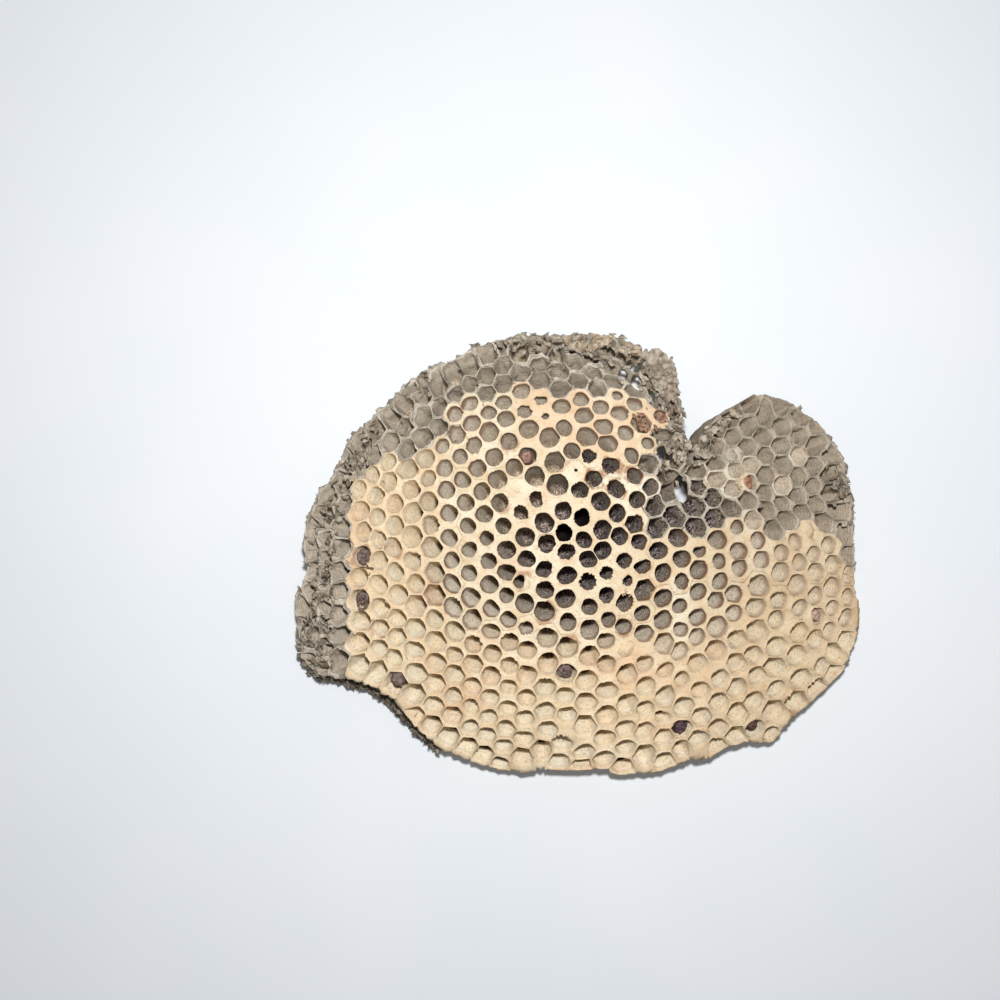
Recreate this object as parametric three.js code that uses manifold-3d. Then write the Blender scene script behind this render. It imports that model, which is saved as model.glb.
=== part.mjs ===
// One paper comb (tier) of a hornet nest, lying on its rim with the cell mouths up.
// Units are millimetres, +Z is up, the origin is the middle of the footprint on the resting plane.
import * as THREE from "three";
import Module from "manifold-3d";

// Driving dimensions
const DOME_HEIGHT = 29.0; // height of the highest cell mouths over the resting plane
const DOME_X = -5.78; // the dome's highest point in the footprint
const DOME_Y = 5.15;
const FLARE_DEPTH = 100.0; // the cell axes spread from a point this far below the dome's top
const CELL_DEPTH = 17.5; // mouth to the comb's back, along the cell axis
const FLOOR_THICKNESS = 1.5; // paper between a cell's end and the comb's back
const REST_THICKNESS = 0.9; // paper left under a cell that ends over the flat resting rim
const CELL_RADIUS = 4.02; // centre to corner of a plain hexagonal cell at its mouth
const CELL_END_SHARE = 0.46; // size of a cell's three-sided end against its mouth
const POINTED_BELOW = 22.5; // cells whose mouths lie under this height run down to a point
const CAP_RISE = 0.9; // bulge of a silk cap over the mouth
const SHALLOW_DEPTH = 6.0; // depth of the crumpled cells of the upper band
const REMAINS_GAP = 0.32; // gap between dried remains and the cell wall

// Corners of the cells at the mouth surface: x, y, z
const CORNERS = [
  [-86.79,-19.65,11.17], [-90.39,-20.23,9.03], [-90.53,-16.44,9.48], [-89.92,-12.13,10.22],
  [-89.33,-11.09,10.62], [-85.55,-15.78,12.33], [-89.12,-27.77,8.21], [-89.19,-27.48,8.24],
  [-89.91,-23.82,8.66], [-85.73,-23.22,11.11], [-83.12,4.99,13.44], [-87.46,5.02,11.01],
  [-87.15,8.34,10.67], [-85.88,11.82,10.72], [-85.42,12.80,10.77], [-81.77,8.45,13.66],
  [-83.05,-1.85,14.06], [-87.18,-2.07,11.85], [-87.38,1.27,11.49], [-81.78,1.60,14.48],
  [-83.04,-8.54,14.11], [-86.92,-7.73,12.10], [-86.29,-5.13,12.44], [-81.75,-5.15,14.79],
  [-83.10,-15.47,13.62], [-81.77,-11.84,14.57], [-83.26,-22.88,12.44], [-81.87,-18.99,13.77],
  [-83.71,-30.41,10.45], [-88.26,-31.46,7.68], [-82.08,-26.46,12.27], [-84.14,-37.62,7.85],
  [-85.47,-36.43,7.58], [-87.37,-34.43,7.23], [-82.66,-34.00,9.89], [-77.87,15.61,14.23],
  [-83.65,16.60,10.85], [-82.30,19.37,10.84], [-79.88,23.48,10.88], [-78.81,24.72,11.05],
  [-75.70,19.47,14.33], [-78.80,8.36,15.17], [-76.95,11.94,15.45], [-79.02,1.77,15.81],
  [-77.39,5.08,16.25], [-79.01,-5.04,16.08], [-77.55,-1.57,16.66], [-79.04,-11.72,15.85],
  [-77.58,-8.31,16.66], [-79.12,-18.65,15.09], [-77.63,-15.00,16.18], [-79.32,-26.08,13.65],
  [-77.75,-22.16,15.13], [-79.88,-33.77,11.32], [-78.17,-29.81,13.25], [-80.27,-39.21,9.21],
  [-82.33,-39.25,8.16], [-79.02,-39.18,9.82], [-71.97,27.34,13.71], [-76.77,27.76,11.06],
  [-75.51,30.07,10.84], [-74.60,34.14,9.59], [-74.04,36.12,8.98], [-70.24,31.18,13.15],
  [-72.74,20.06,15.58], [-70.81,24.09,15.32], [-73.24,12.62,17.01], [-71.21,16.88,17.03],
  [-73.12,5.81,18.02], [-70.83,9.77,18.46], [-73.55,-1.09,18.32], [-70.75,2.99,19.20],
  [-73.85,-7.79,18.21], [-71.29,-4.05,19.24], [-73.84,-14.57,17.77], [-71.53,-10.78,18.95],
  [-73.73,-21.52,16.89], [-71.33,-17.59,18.37], [-74.39,-28.92,15.08], [-71.53,-24.56,17.16],
  [-74.79,-39.12,11.74], [-72.03,-31.88,15.22], [-67.41,31.72,14.29], [-71.28,40.02,8.63],
  [-69.17,41.45,9.09], [-65.69,35.40,13.64], [-67.77,24.82,16.44], [-66.10,28.61,15.96],
  [-67.49,17.91,18.32], [-65.99,21.82,17.99], [-66.74,11.18,19.80], [-65.43,15.06,19.65],
  [-66.41,4.07,20.67], [-64.67,8.30,20.87], [-66.81,-2.88,20.80], [-64.71,1.16,21.38],
  [-67.04,-9.99,20.54], [-64.87,-5.84,21.39], [-66.54,-17.01,20.07], [-64.56,-13.21,21.08],
  [-66.89,-23.56,18.95], [-64.30,-19.95,20.36], [-67.37,-30.36,17.30], [-65.08,-26.41,18.95],
  [-69.04,-40.85,13.36], [-71.80,-40.01,12.63], [-65.58,-33.42,17.05], [-62.62,35.86,14.84],
  [-66.43,43.33,9.62], [-64.40,44.95,9.86], [-60.87,39.40,14.17], [-62.90,29.20,17.09],
  [-61.14,32.77,16.60], [-62.94,22.64,18.93], [-61.52,26.23,18.50], [-61.60,15.86,20.81],
  [-60.60,19.53,20.44], [-61.46,9.07,21.80], [-59.69,12.75,21.89], [-61.32,2.18,22.36],
  [-59.79,5.87,22.57], [-60.84,-5.15,22.57], [-59.38,-1.16,22.98], [-60.40,-12.64,22.30],
  [-58.85,-8.73,22.96], [-60.48,-19.43,21.51], [-58.56,-15.92,22.45], [-60.89,-25.75,20.31],
  [-58.88,-22.38,21.46], [-61.80,-32.56,18.45], [-59.39,-28.84,20.05], [-64.09,-42.94,14.27],
  [-67.03,-41.47,13.85], [-59.98,-36.13,17.93], [-57.61,39.75,15.41], [-61.68,47.11,10.14],
  [-60.52,48.22,10.14], [-55.92,43.21,14.67], [-57.67,33.17,17.79], [-55.89,36.62,17.27],
  [-57.74,26.65,19.71], [-55.65,30.03,19.47], [-56.77,20.13,21.51], [-55.32,23.67,21.20],
  [-55.89,13.19,22.89], [-53.97,16.91,22.86], [-56.17,6.22,23.51], [-54.04,9.86,23.74],
  [-55.84,-1.16,23.87], [-54.16,2.54,24.19], [-54.93,-8.43,23.92], [-53.39,-4.85,24.39],
  [-55.01,-15.57,23.33], [-52.94,-11.99,24.11], [-55.14,-22.39,22.36], [-53.20,-19.08,23.29],
  [-55.34,-29.01,21.01], [-53.11,-25.92,22.17], [-55.44,-36.18,19.10], [-53.21,-32.78,20.58],
  [-58.67,-46.38,14.52], [-60.80,-44.81,14.55], [-53.27,-40.08,18.37], [-52.70,50.04,12.87],
  [-57.79,51.91,9.49], [-57.10,52.51,9.50], [-54.51,54.75,9.49], [-52.50,56.24,9.57],
  [-51.11,53.42,11.80], [-52.59,43.49,15.88], [-51.00,46.89,15.05], [-52.36,36.92,18.42],
  [-50.76,40.34,17.77], [-51.84,30.32,20.58], [-50.33,33.76,20.07], [-50.98,23.89,22.36],
  [-49.59,27.16,22.01], [-50.25,17.22,23.74], [-48.71,20.67,23.54], [-50.09,9.96,24.64],
  [-48.23,13.60,24.66], [-50.09,2.44,25.07], [-48.16,6.22,25.30], [-49.55,-4.89,25.17],
  [-47.93,-1.29,25.53], [-49.14,-11.99,24.86], [-47.29,-8.46,25.43], [-49.21,-19.19,24.06],
  [-47.22,-15.67,24.85], [-49.11,-26.29,22.90], [-47.16,-22.86,23.88], [-48.84,-33.31,21.35],
  [-46.97,-29.91,22.53], [-49.02,-40.28,19.24], [-46.83,-36.92,20.74], [-49.70,-47.22,16.49],
  [-56.22,-49.40,13.86], [-47.34,-43.80,18.35], [-51.29,-55.30,12.24], [-53.19,-53.08,12.89],
  [-55.56,-50.21,13.66], [-48.01,-50.70,15.33], [-47.87,53.60,13.06], [-50.08,58.00,9.63],
  [-47.55,59.33,9.93], [-47.61,59.30,9.92], [-47.67,47.12,16.19], [-46.13,50.46,15.26],
  [-47.30,40.59,18.83], [-45.81,43.97,18.08], [-46.70,33.99,21.05], [-45.27,37.40,20.47],
  [-45.89,27.34,22.90], [-44.51,30.73,22.46], [-45.07,20.58,24.36], [-43.64,23.99,24.07],
  [-44.51,13.50,25.41], [-42.89,17.03,25.29], [-44.22,6.13,26.02], [-42.44,9.77,26.10],
  [-43.89,-1.29,26.22], [-42.12,2.36,26.48], [-43.50,-8.60,26.04], [-41.72,-5.01,26.47],
  [-43.27,-15.84,25.47], [-41.39,-12.29,26.08], [-43.12,-23.04,24.50], [-41.22,-19.54,25.31],
  [-42.95,-30.15,23.15], [-41.05,-26.71,24.15], [-42.95,-37.11,21.37], [-40.94,-33.75,22.60],
  [-43.32,-43.95,19.07], [-41.12,-40.63,20.58], [-43.99,-50.71,16.18], [-41.66,-47.38,18.05],
  [-46.50,-59.70,10.96], [-48.78,-57.61,11.60], [-42.41,-54.08,14.91], [-42.81,50.65,16.31],
  [-45.04,60.68,10.14], [-41.27,53.92,15.28], [-42.41,44.20,19.04], [-40.95,47.54,18.20],
  [-41.77,37.61,21.34], [-40.40,41.03,20.67], [-40.92,30.85,23.26], [-39.61,34.32,22.74],
  [-40.01,23.95,24.79], [-38.68,27.42,24.42], [-39.23,16.88,25.94], [-37.79,20.39,25.72],
  [-38.65,9.62,26.69], [-37.06,13.20,26.64], [-38.19,2.26,27.04], [-36.50,5.88,27.17],
  [-37.79,-5.10,26.99], [-36.04,-1.47,27.30], [-37.49,-12.40,26.57], [-35.67,-8.79,27.05],
  [-37.28,-19.67,25.79], [-35.43,-16.08,26.45], [-37.12,-26.87,24.64], [-35.25,-23.33,25.48],
  [-37.06,-33.93,23.09], [-35.13,-30.48,24.14], [-37.25,-40.80,21.12], [-35.19,-37.46,22.39],
  [-37.75,-47.48,18.66], [-35.55,-44.22,20.21], [-38.48,-54.07,15.66], [-36.15,-50.81,17.54],
  [-40.55,-63.73,9.86], [-44.08,-61.91,10.20], [-36.94,-57.35,14.28], [-37.92,54.05,16.24],
  [-42.48,62.05,10.27], [-39.37,63.50,10.44], [-36.34,57.24,15.09], [-37.57,47.75,19.06],
  [-36.07,50.99,18.13], [-36.96,41.27,21.44], [-35.58,44.65,20.67], [-36.10,34.48,23.45],
  [-34.82,38.01,22.83], [-35.10,27.44,25.06], [-33.83,31.02,24.61], [-34.17,20.29,26.29],
  [-32.82,23.86,25.99], [-33.38,13.06,27.14], [-31.93,16.63,26.99], [-32.69,5.78,27.62],
  [-31.15,9.38,27.63], [-32.15,-1.50,27.71], [-30.49,2.12,27.90], [-31.82,-8.79,27.44],
  [-30.05,-5.13,27.79], [-31.61,-16.08,26.83], [-29.82,-12.40,27.34], [-31.42,-23.34,25.87],
  [-29.63,-19.67,26.56], [-31.31,-30.53,24.54], [-29.46,-26.92,25.43], [-31.39,-37.56,22.81],
  [-29.43,-34.09,23.91], [-31.72,-44.33,20.67], [-29.63,-41.02,21.99], [-32.28,-50.89,18.08],
  [-30.06,-47.68,19.66], [-33.04,-57.33,14.95], [-30.70,-54.14,16.86], [-34.75,-66.22,9.44],
  [-38.18,-64.79,9.69], [-31.54,-60.54,13.47], [-32.91,57.30,15.94], [-36.91,64.44,10.62],
  [-33.88,65.63,10.71], [-31.25,60.42,14.63], [-32.64,51.13,18.89], [-31.07,54.26,17.85],
  [-32.14,44.89,21.33], [-30.68,48.13,20.48], [-31.33,38.26,23.43], [-30.03,41.76,22.70],
  [-30.26,31.13,25.18], [-29.04,34.83,24.61], [-29.18,23.84,26.49], [-27.89,27.52,26.13],
  [-28.27,16.58,27.41], [-26.87,20.21,27.20], [-27.41,9.35,27.99], [-25.98,12.97,27.91],
  [-26.69,2.18,28.22], [-25.15,5.80,28.30], [-26.16,-4.99,28.10], [-24.45,-1.31,28.34],
  [-26.17,-12.20,27.64], [-24.28,-8.45,28.04], [-25.87,-19.51,26.87], [-24.20,-15.72,27.42],
  [-25.74,-26.71,25.77], [-23.94,-22.97,26.51], [-25.63,-34.09,24.25], [-23.79,-30.33,25.21],
  [-25.89,-41.06,22.36], [-23.85,-37.61,23.51], [-26.21,-47.79,20.06], [-24.14,-44.48,21.43],
  [-26.79,-54.24,17.32], [-24.53,-51.10,18.93], [-27.63,-60.54,14.05], [-25.23,-57.44,15.99],
  [-29.03,-68.35,9.04], [-32.53,-67.04,9.31], [-26.15,-63.73,12.43], [-27.73,60.44,15.34],
  [-31.40,66.54,10.72], [-28.06,67.42,10.84], [-25.99,63.54,13.81], [-27.54,54.32,18.50],
  [-25.86,57.38,17.30], [-27.13,48.28,21.06], [-25.56,51.34,20.11], [-26.49,42.15,23.16],
  [-25.05,45.42,22.35], [-25.51,35.11,25.05], [-24.27,38.92,24.32], [-24.05,27.54,26.58],
  [-22.90,31.42,26.07], [-23.15,20.31,27.55], [-21.62,23.95,27.29], [-22.28,13.09,28.20],
  [-20.85,16.79,28.04], [-21.31,5.90,28.55], [-19.88,9.56,28.53], [-20.72,-0.94,28.56],
  [-19.13,2.65,28.69], [-20.99,-8.15,28.24], [-19.14,-4.32,28.52], [-20.62,-15.14,27.68],
  [-19.30,-11.33,28.09], [-20.39,-22.41,26.80], [-18.74,-18.38,27.41], [-20.09,-29.84,25.55],
  [-18.49,-25.67,26.39], [-20.29,-37.43,23.82], [-18.37,-33.42,24.90], [-20.30,-44.47,21.76],
  [-18.49,-40.87,22.99], [-20.58,-51.27,19.25], [-18.43,-47.95,20.70], [-21.24,-57.65,16.33],
  [-18.86,-54.62,17.98], [-22.27,-63.72,12.96], [-19.76,-60.74,14.91], [-23.14,-69.45,9.20],
  [-26.97,-68.88,9.02], [-21.24,-69.74,9.27], [-22.35,63.55,14.33], [-25.72,68.05,10.82],
  [-22.26,69.18,10.51], [-21.50,69.47,10.39], [-22.19,57.44,17.78], [-20.42,60.51,16.34],
  [-21.90,51.38,20.56], [-20.20,54.43,19.43], [-21.27,45.41,22.81], [-19.69,48.31,21.96],
  [-20.38,39.34,24.64], [-18.82,42.55,23.90], [-19.50,31.36,26.40], [-18.23,35.46,25.71],
  [-17.79,24.31,27.55], [-16.82,27.84,27.15], [-17.07,17.13,28.27], [-15.53,21.00,28.03],
  [-15.67,10.02,28.71], [-14.28,13.88,28.60], [-15.04,3.30,28.85], [-13.02,7.01,28.88],
  [-15.47,-3.96,28.67], [-12.97,0.08,28.86], [-15.48,-10.65,28.28], [-13.50,-7.11,28.57],
  [-15.07,-17.57,27.64], [-13.13,-13.65,28.09], [-14.46,-25.31,26.62], [-12.69,-21.24,27.27],
  [-14.42,-33.09,25.17], [-12.11,-29.14,26.04], [-14.75,-40.75,23.25], [-12.60,-36.97,24.35],
  [-14.51,-48.34,20.83], [-12.65,-44.74,22.16], [-14.69,-54.60,18.33], [-12.49,-51.65,19.70],
  [-15.68,-61.38,14.96], [-12.99,-58.27,16.76], [-14.85,-70.32,9.63], [-12.66,-68.59,10.98],
  [-16.61,60.58,16.60], [-16.96,70.32,10.15], [-14.81,63.61,14.91], [-16.34,54.60,19.64],
  [-14.52,57.69,18.24], [-15.91,48.55,22.14], [-14.25,51.80,20.95], [-14.77,42.93,24.04],
  [-13.44,46.03,23.12], [-14.08,35.85,25.86], [-12.18,40.11,24.90], [-12.76,28.42,27.26],
  [-11.30,32.33,26.64], [-11.36,21.56,28.15], [-9.56,25.46,27.74], [-10.06,14.14,28.73],
  [-8.67,17.95,28.51], [-8.97,7.52,28.96], [-7.39,10.79,28.90], [-8.73,0.70,28.94],
  [-6.76,4.43,29.00], [-8.83,-6.38,28.69], [-6.56,-2.60,28.87], [-8.97,-13.18,28.22],
  [-6.64,-9.45,28.53], [-8.37,-20.78,27.43], [-6.57,-16.64,27.93], [-8.03,-28.78,26.22],
  [-6.06,-24.49,26.96], [-8.44,-36.79,24.55], [-6.19,-32.54,25.55], [-8.64,-44.46,22.43],
  [-6.59,-40.29,23.71], [-8.24,-50.91,20.21], [-6.25,-47.33,21.58], [-9.10,-58.97,16.67],
  [-6.55,-54.55,18.81], [-10.62,-68.72,11.07], [-7.80,-62.80,14.77], [-10.96,63.61,14.98],
  [-15.17,70.38,10.20], [-11.22,70.17,10.45], [-8.90,69.99,10.56], [-10.54,57.83,18.26],
  [-8.78,60.72,16.69], [-10.07,52.19,20.88], [-8.18,55.13,19.57], [-9.62,46.50,23.03],
  [-7.91,49.40,21.98], [-8.46,40.06,24.96], [-7.23,43.35,24.03], [-6.65,32.82,26.58],
  [-5.70,36.29,25.85], [-5.46,25.98,27.67], [-4.01,29.43,27.14], [-4.28,18.82,28.43],
  [-2.87,22.96,28.01], [-3.52,11.22,28.88], [-1.79,15.44,28.65], [-2.81,4.68,28.99],
  [-1.15,8.19,28.94], [-2.15,-1.74,28.89], [-0.37,1.82,28.95], [-2.28,-8.84,28.58],
  [-0.05,-4.90,28.77], [-2.05,-16.20,28.00], [-0.08,-12.12,28.34], [-1.88,-23.50,27.14],
  [0.33,-19.35,27.66], [-2.01,-31.78,25.75], [0.31,-27.04,26.61], [-2.23,-39.52,24.00],
  [0.09,-35.26,25.04], [-2.07,-46.29,22.03], [-0.10,-42.65,23.17], [-2.42,-54.00,19.18],
  [0.08,-49.33,21.03], [-3.34,-62.75,15.02], [-0.52,-58.36,17.30], [-4.40,-69.12,11.23],
  [-9.50,-68.80,11.11], [-1.31,-64.98,13.86], [-4.86,60.69,16.60], [-4.87,70.17,10.27],
  [-3.21,63.47,14.85], [-4.14,55.17,19.44], [-2.59,57.84,18.05], [-3.73,49.34,21.91],
  [-1.85,52.17,20.69], [-3.24,43.36,23.94], [-1.45,46.45,22.87], [-1.82,36.25,25.77],
  [-0.60,40.03,24.80], [-0.49,29.94,26.98], [0.75,33.29,26.32], [0.73,23.41,27.89],
  [1.65,26.94,27.40], [2.22,16.47,28.52], [3.33,20.30,28.17], [2.68,8.52,28.87],
  [4.32,12.57,28.70], [3.31,1.95,28.88], [4.69,5.14,28.86], [4.01,-4.68,28.71],
  [5.59,-1.38,28.77], [4.08,-11.72,28.32], [5.94,-8.22,28.50], [4.57,-19.11,27.64],
  [6.35,-15.56,27.97], [4.46,-26.40,26.68], [6.50,-22.62,27.19], [4.34,-34.24,25.25],
  [6.39,-30.13,26.03], [4.10,-42.11,23.33], [6.22,-37.96,24.39], [4.14,-49.66,20.93],
  [6.19,-46.08,22.13], [4.10,-57.66,17.70], [6.26,-53.65,19.41], [3.57,-64.72,14.12],
  [6.15,-61.77,15.72], [2.50,-69.01,11.56], [-2.46,-69.24,11.25], [5.56,-68.66,11.82],
  [0.62,63.30,14.71], [-3.66,70.01,10.32], [-0.09,70.25,9.85], [2.26,66.06,12.74],
  [1.29,57.72,17.87], [2.85,60.40,16.28], [1.99,52.06,20.52], [3.58,54.95,19.10],
  [2.73,46.48,22.66], [4.29,49.27,21.53], [3.55,40.17,24.59], [5.08,43.53,23.52],
  [4.46,34.05,26.04], [6.03,37.15,25.26], [5.47,27.37,27.22], [7.03,31.13,26.52],
  [7.09,20.63,28.03], [8.30,24.17,27.58], [7.97,12.98,28.56], [9.62,17.21,28.23],
  [8.33,5.70,28.73], [9.96,9.49,28.60], [9.42,-1.35,28.65], [10.78,2.54,28.64],
  [10.14,-7.93,28.39], [12.04,-4.36,28.46], [10.12,-15.09,27.90], [12.05,-10.97,28.14],
  [10.26,-22.39,27.12], [12.10,-18.41,27.51], [10.22,-29.54,26.04], [12.05,-25.59,26.62],
  [10.39,-37.38,24.44], [12.35,-33.08,25.31], [10.67,-46.29,21.98], [12.75,-41.73,23.27],
  [10.53,-54.22,19.13], [12.89,-50.44,20.51], [10.63,-61.26,15.93], [12.85,-57.74,17.55],
  [9.81,-68.84,11.70], [12.78,-64.42,14.23], [6.07,65.78,12.56], [1.84,70.75,9.28],
  [5.63,71.02,8.65], [7.75,71.17,8.26], [6.67,60.14,16.10], [8.25,62.75,14.35],
  [7.41,54.84,18.86], [8.95,57.35,17.45], [8.20,49.66,21.11], [9.74,52.35,19.84],
  [8.80,43.87,23.20], [10.35,47.21,21.92], [10.01,37.66,24.94], [11.25,41.02,23.94],
  [11.44,31.29,26.29], [12.84,34.72,25.49], [12.50,24.64,27.32], [14.08,28.01,26.73],
  [13.28,17.50,28.03], [14.95,21.40,27.57], [13.52,10.08,28.41], [15.19,13.87,28.16],
  [14.58,3.47,28.46], [15.70,7.22,28.36], [15.53,-3.78,28.30], [16.71,0.17,28.32],
  [16.05,-10.40,27.98], [17.63,-6.78,28.07], [15.50,-17.74,27.43], [17.53,-13.85,27.66],
  [15.81,-24.93,26.56], [17.42,-21.06,26.97], [16.24,-32.87,25.19], [17.87,-28.66,25.87],
  [16.84,-41.36,23.20], [18.37,-36.79,24.25], [17.01,-49.76,20.59], [18.88,-45.24,21.98],
  [17.06,-56.73,17.84], [18.85,-52.53,19.47], [16.99,-64.00,14.30], [19.04,-59.83,16.32],
  [16.87,-70.67,10.35], [12.64,-71.17,10.16], [19.33,-70.41,10.40], [12.09,62.39,14.17],
  [12.28,69.94,8.67], [15.28,68.63,9.30], [12.82,56.97,17.28], [14.39,59.39,15.76],
  [13.65,52.15,19.60], [15.21,54.26,18.45], [13.84,47.50,21.55], [15.61,49.75,20.49],
  [14.99,41.50,23.54], [16.03,44.64,22.43], [16.83,34.77,25.23], [17.74,38.18,24.30],
  [17.79,28.29,26.45], [19.14,31.62,25.73], [18.46,21.40,27.34], [19.72,24.92,26.81],
  [19.12,14.74,27.84], [20.72,18.38,27.45], [19.55,8.07,28.09], [21.30,11.81,27.83],
  [20.13,1.06,28.10], [21.85,5.21,27.96], [21.21,-6.00,27.87], [22.53,-2.11,27.88],
  [21.38,-13.34,27.45], [23.49,-9.12,27.56], [21.46,-20.30,26.80], [23.40,-16.48,27.05],
  [21.96,-27.89,25.74], [23.94,-23.39,26.25], [22.27,-36.37,24.10], [24.22,-31.67,24.92],
  [22.69,-44.16,22.06], [24.55,-39.87,23.10], [22.75,-51.24,19.71], [24.71,-47.39,20.90],
  [22.87,-58.80,16.56], [24.79,-54.40,18.32], [23.39,-70.04,10.37], [24.90,-62.50,14.59],
  [18.37,58.98,15.55], [18.66,67.28,9.87], [21.19,64.33,11.70], [19.30,53.58,18.37],
  [20.89,55.88,17.00], [20.21,49.06,20.35], [22.35,50.78,19.36], [20.49,44.10,22.23],
  [22.90,46.27,21.19], [21.38,37.82,24.09], [23.08,40.60,23.13], [23.23,31.76,25.35],
  [24.56,34.55,24.61], [22.84,25.20,26.51], [25.00,28.70,25.75], [24.03,19.10,27.10],
  [24.88,22.39,26.67], [25.28,12.16,27.47], [26.40,15.81,27.14], [26.01,5.59,27.61],
  [27.69,8.80,27.37], [26.76,-1.29,27.54], [28.52,2.26,27.39], [27.28,-8.44,27.27],
  [29.24,-4.50,27.23], [27.45,-15.73,26.77], [29.22,-11.93,26.88], [27.90,-22.89,25.97],
  [29.47,-19.06,26.26], [27.99,-30.54,24.81], [29.69,-26.26,25.34], [28.43,-39.00,22.97],
  [29.91,-34.36,23.88], [28.73,-47.09,20.64], [30.58,-42.99,21.70], [28.66,-54.41,17.97],
  [30.63,-50.94,19.11], [28.90,-61.83,14.55], [30.75,-58.16,16.13], [28.79,-68.65,10.74],
  [25.08,-69.85,10.35], [31.86,-67.33,11.20], [24.75,55.63,16.66], [22.25,65.04,11.03],
  [26.35,58.51,14.78], [26.12,50.27,19.14], [26.92,52.82,17.83], [27.08,45.33,21.07],
  [28.15,47.60,20.03], [26.56,39.84,22.98], [28.13,42.39,21.98], [32.71,34.54,23.62],
  [31.88,39.32,22.45], [31.81,25.58,25.46], [33.54,32.27,24.02], [29.20,23.18,26.12],
  [33.57,24.58,25.38], [30.23,16.82,26.65], [29.17,21.05,26.37], [31.63,8.76,26.95],
  [33.16,12.09,26.62], [32.98,2.22,26.91], [34.41,5.51,26.70], [33.07,-4.33,26.82],
  [35.05,-1.16,26.65], [32.92,-11.30,26.53], [34.82,-7.64,26.50], [32.99,-18.85,25.91],
  [34.67,-14.89,26.08], [33.02,-25.70,25.06], [34.75,-22.13,25.34], [33.35,-33.71,23.64],
  [34.75,-29.32,24.29], [34.41,-42.56,21.38], [35.69,-37.91,22.43], [34.68,-50.93,18.64],
  [36.61,-46.64,19.86], [34.35,-58.04,15.74], [36.31,-54.29,17.11], [35.14,-65.73,11.70],
  [35.87,-65.37,11.80], [31.11,58.98,13.74], [27.15,65.09,10.21], [29.24,62.90,11.44],
  [30.60,60.28,12.99], [31.47,52.89,17.12], [31.48,55.75,15.59], [32.41,47.67,19.39],
  [31.85,50.01,18.45], [32.19,41.11,21.85], [32.68,44.30,20.68], [32.39,38.40,22.65],
  [31.88,39.32,22.45], [38.58,28.83,23.93], [34.76,28.74,24.54], [35.11,30.92,24.07],
  [36.45,32.88,23.44], [39.07,34.13,22.71], [40.67,31.34,23.07], [38.50,24.13,24.71],
  [40.33,26.60,24.03], [37.60,18.59,25.52], [32.99,19.05,26.11], [33.36,21.63,25.79],
  [40.09,21.45,24.82], [37.46,12.13,26.05], [39.31,15.22,25.56], [38.38,5.36,26.18],
  [39.89,8.64,25.86], [39.01,-1.39,26.13], [40.91,1.83,25.87], [38.83,-7.60,25.99],
  [41.04,-4.52,25.78], [38.47,-14.39,25.63], [40.73,-10.75,25.56], [38.47,-21.89,24.89],
  [40.50,-18.11,25.02], [38.50,-29.29,23.81], [40.48,-25.43,24.14], [39.82,-37.97,21.84],
  [41.22,-33.74,22.58], [40.30,-46.25,19.45], [42.23,-42.24,20.35], [40.22,-54.30,16.52],
  [42.28,-50.55,17.65], [41.26,-65.40,10.93], [41.84,-57.88,14.69], [44.97,36.84,20.86],
  [41.11,36.66,21.69], [41.49,38.46,21.10], [41.60,40.69,20.37], [44.44,44.37,18.46],
  [46.56,39.83,19.60], [44.32,31.58,22.33], [46.37,34.43,21.22], [44.51,26.74,23.25],
  [46.40,29.21,22.40], [43.70,21.31,24.21], [46.30,24.13,23.32], [43.01,14.93,24.99],
  [44.91,18.16,24.36], [44.24,8.66,25.17], [45.50,11.86,24.78], [45.01,1.86,25.22],
  [46.82,5.40,24.84], [45.37,-4.27,25.11], [47.44,-1.11,24.80], [44.52,-11.28,24.95],
  [46.95,-7.87,24.72], [44.37,-17.78,24.46], [46.13,-14.58,24.45], [44.73,-25.74,23.43],
  [46.58,-21.85,23.64], [45.48,-33.87,21.85], [47.01,-29.73,22.38], [45.95,-41.96,19.79],
  [47.80,-37.83,20.53], [46.02,-50.38,17.04], [47.75,-45.80,18.29], [46.25,-57.86,13.88],
  [48.37,-54.11,15.10], [44.60,-63.48,11.38], [41.29,-65.38,10.93], [48.40,-61.16,11.83],
  [49.89,40.34,18.63], [45.05,44.53,18.26], [50.27,47.06,15.91], [51.91,44.00,16.76],
  [49.73,34.42,20.46], [51.66,37.34,19.15], [50.31,28.90,21.61], [51.59,31.26,20.80],
  [49.79,23.68,22.67], [51.92,25.98,21.80], [48.67,17.92,23.66], [50.96,20.62,22.85],
  [49.60,11.88,24.01], [50.87,14.70,23.52], [51.23,5.25,24.01], [52.75,8.53,23.56],
  [51.86,-0.95,23.96], [53.84,1.86,23.54], [51.00,-8.54,23.94], [53.85,-4.78,23.50],
  [50.35,-15.20,23.64], [52.80,-12.57,23.35], [50.90,-22.23,22.79], [52.92,-18.77,22.79],
  [50.99,-30.45,21.49], [53.03,-26.83,21.70], [51.75,-37.72,19.77], [53.41,-34.48,20.16],
  [51.61,-45.74,17.51], [53.76,-41.79,18.24], [52.45,-54.20,14.17], [53.96,-50.40,15.33],
  [53.46,-60.08,11.20], [55.24,-60.16,10.71], [55.97,44.35,15.44], [53.34,49.83,13.73],
  [57.32,51.00,11.87], [59.47,51.02,11.12], [55.06,37.24,18.28], [57.34,40.58,16.49],
  [55.05,31.20,19.93], [56.59,34.26,18.72], [55.03,25.33,21.16], [56.89,28.18,20.12],
  [54.53,20.22,22.09], [56.48,22.63,21.25], [54.97,14.72,22.61], [56.34,17.53,21.99],
  [56.82,8.29,22.65], [57.77,11.64,22.20], [58.31,1.67,22.52], [59.77,4.81,22.09],
  [58.24,-5.26,22.50], [60.73,-1.63,21.95], [57.66,-13.12,22.25], [60.26,-9.58,21.85],
  [57.44,-19.61,21.70], [59.73,-16.59,21.47], [57.36,-27.51,20.62], [59.76,-23.75,20.62],
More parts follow.
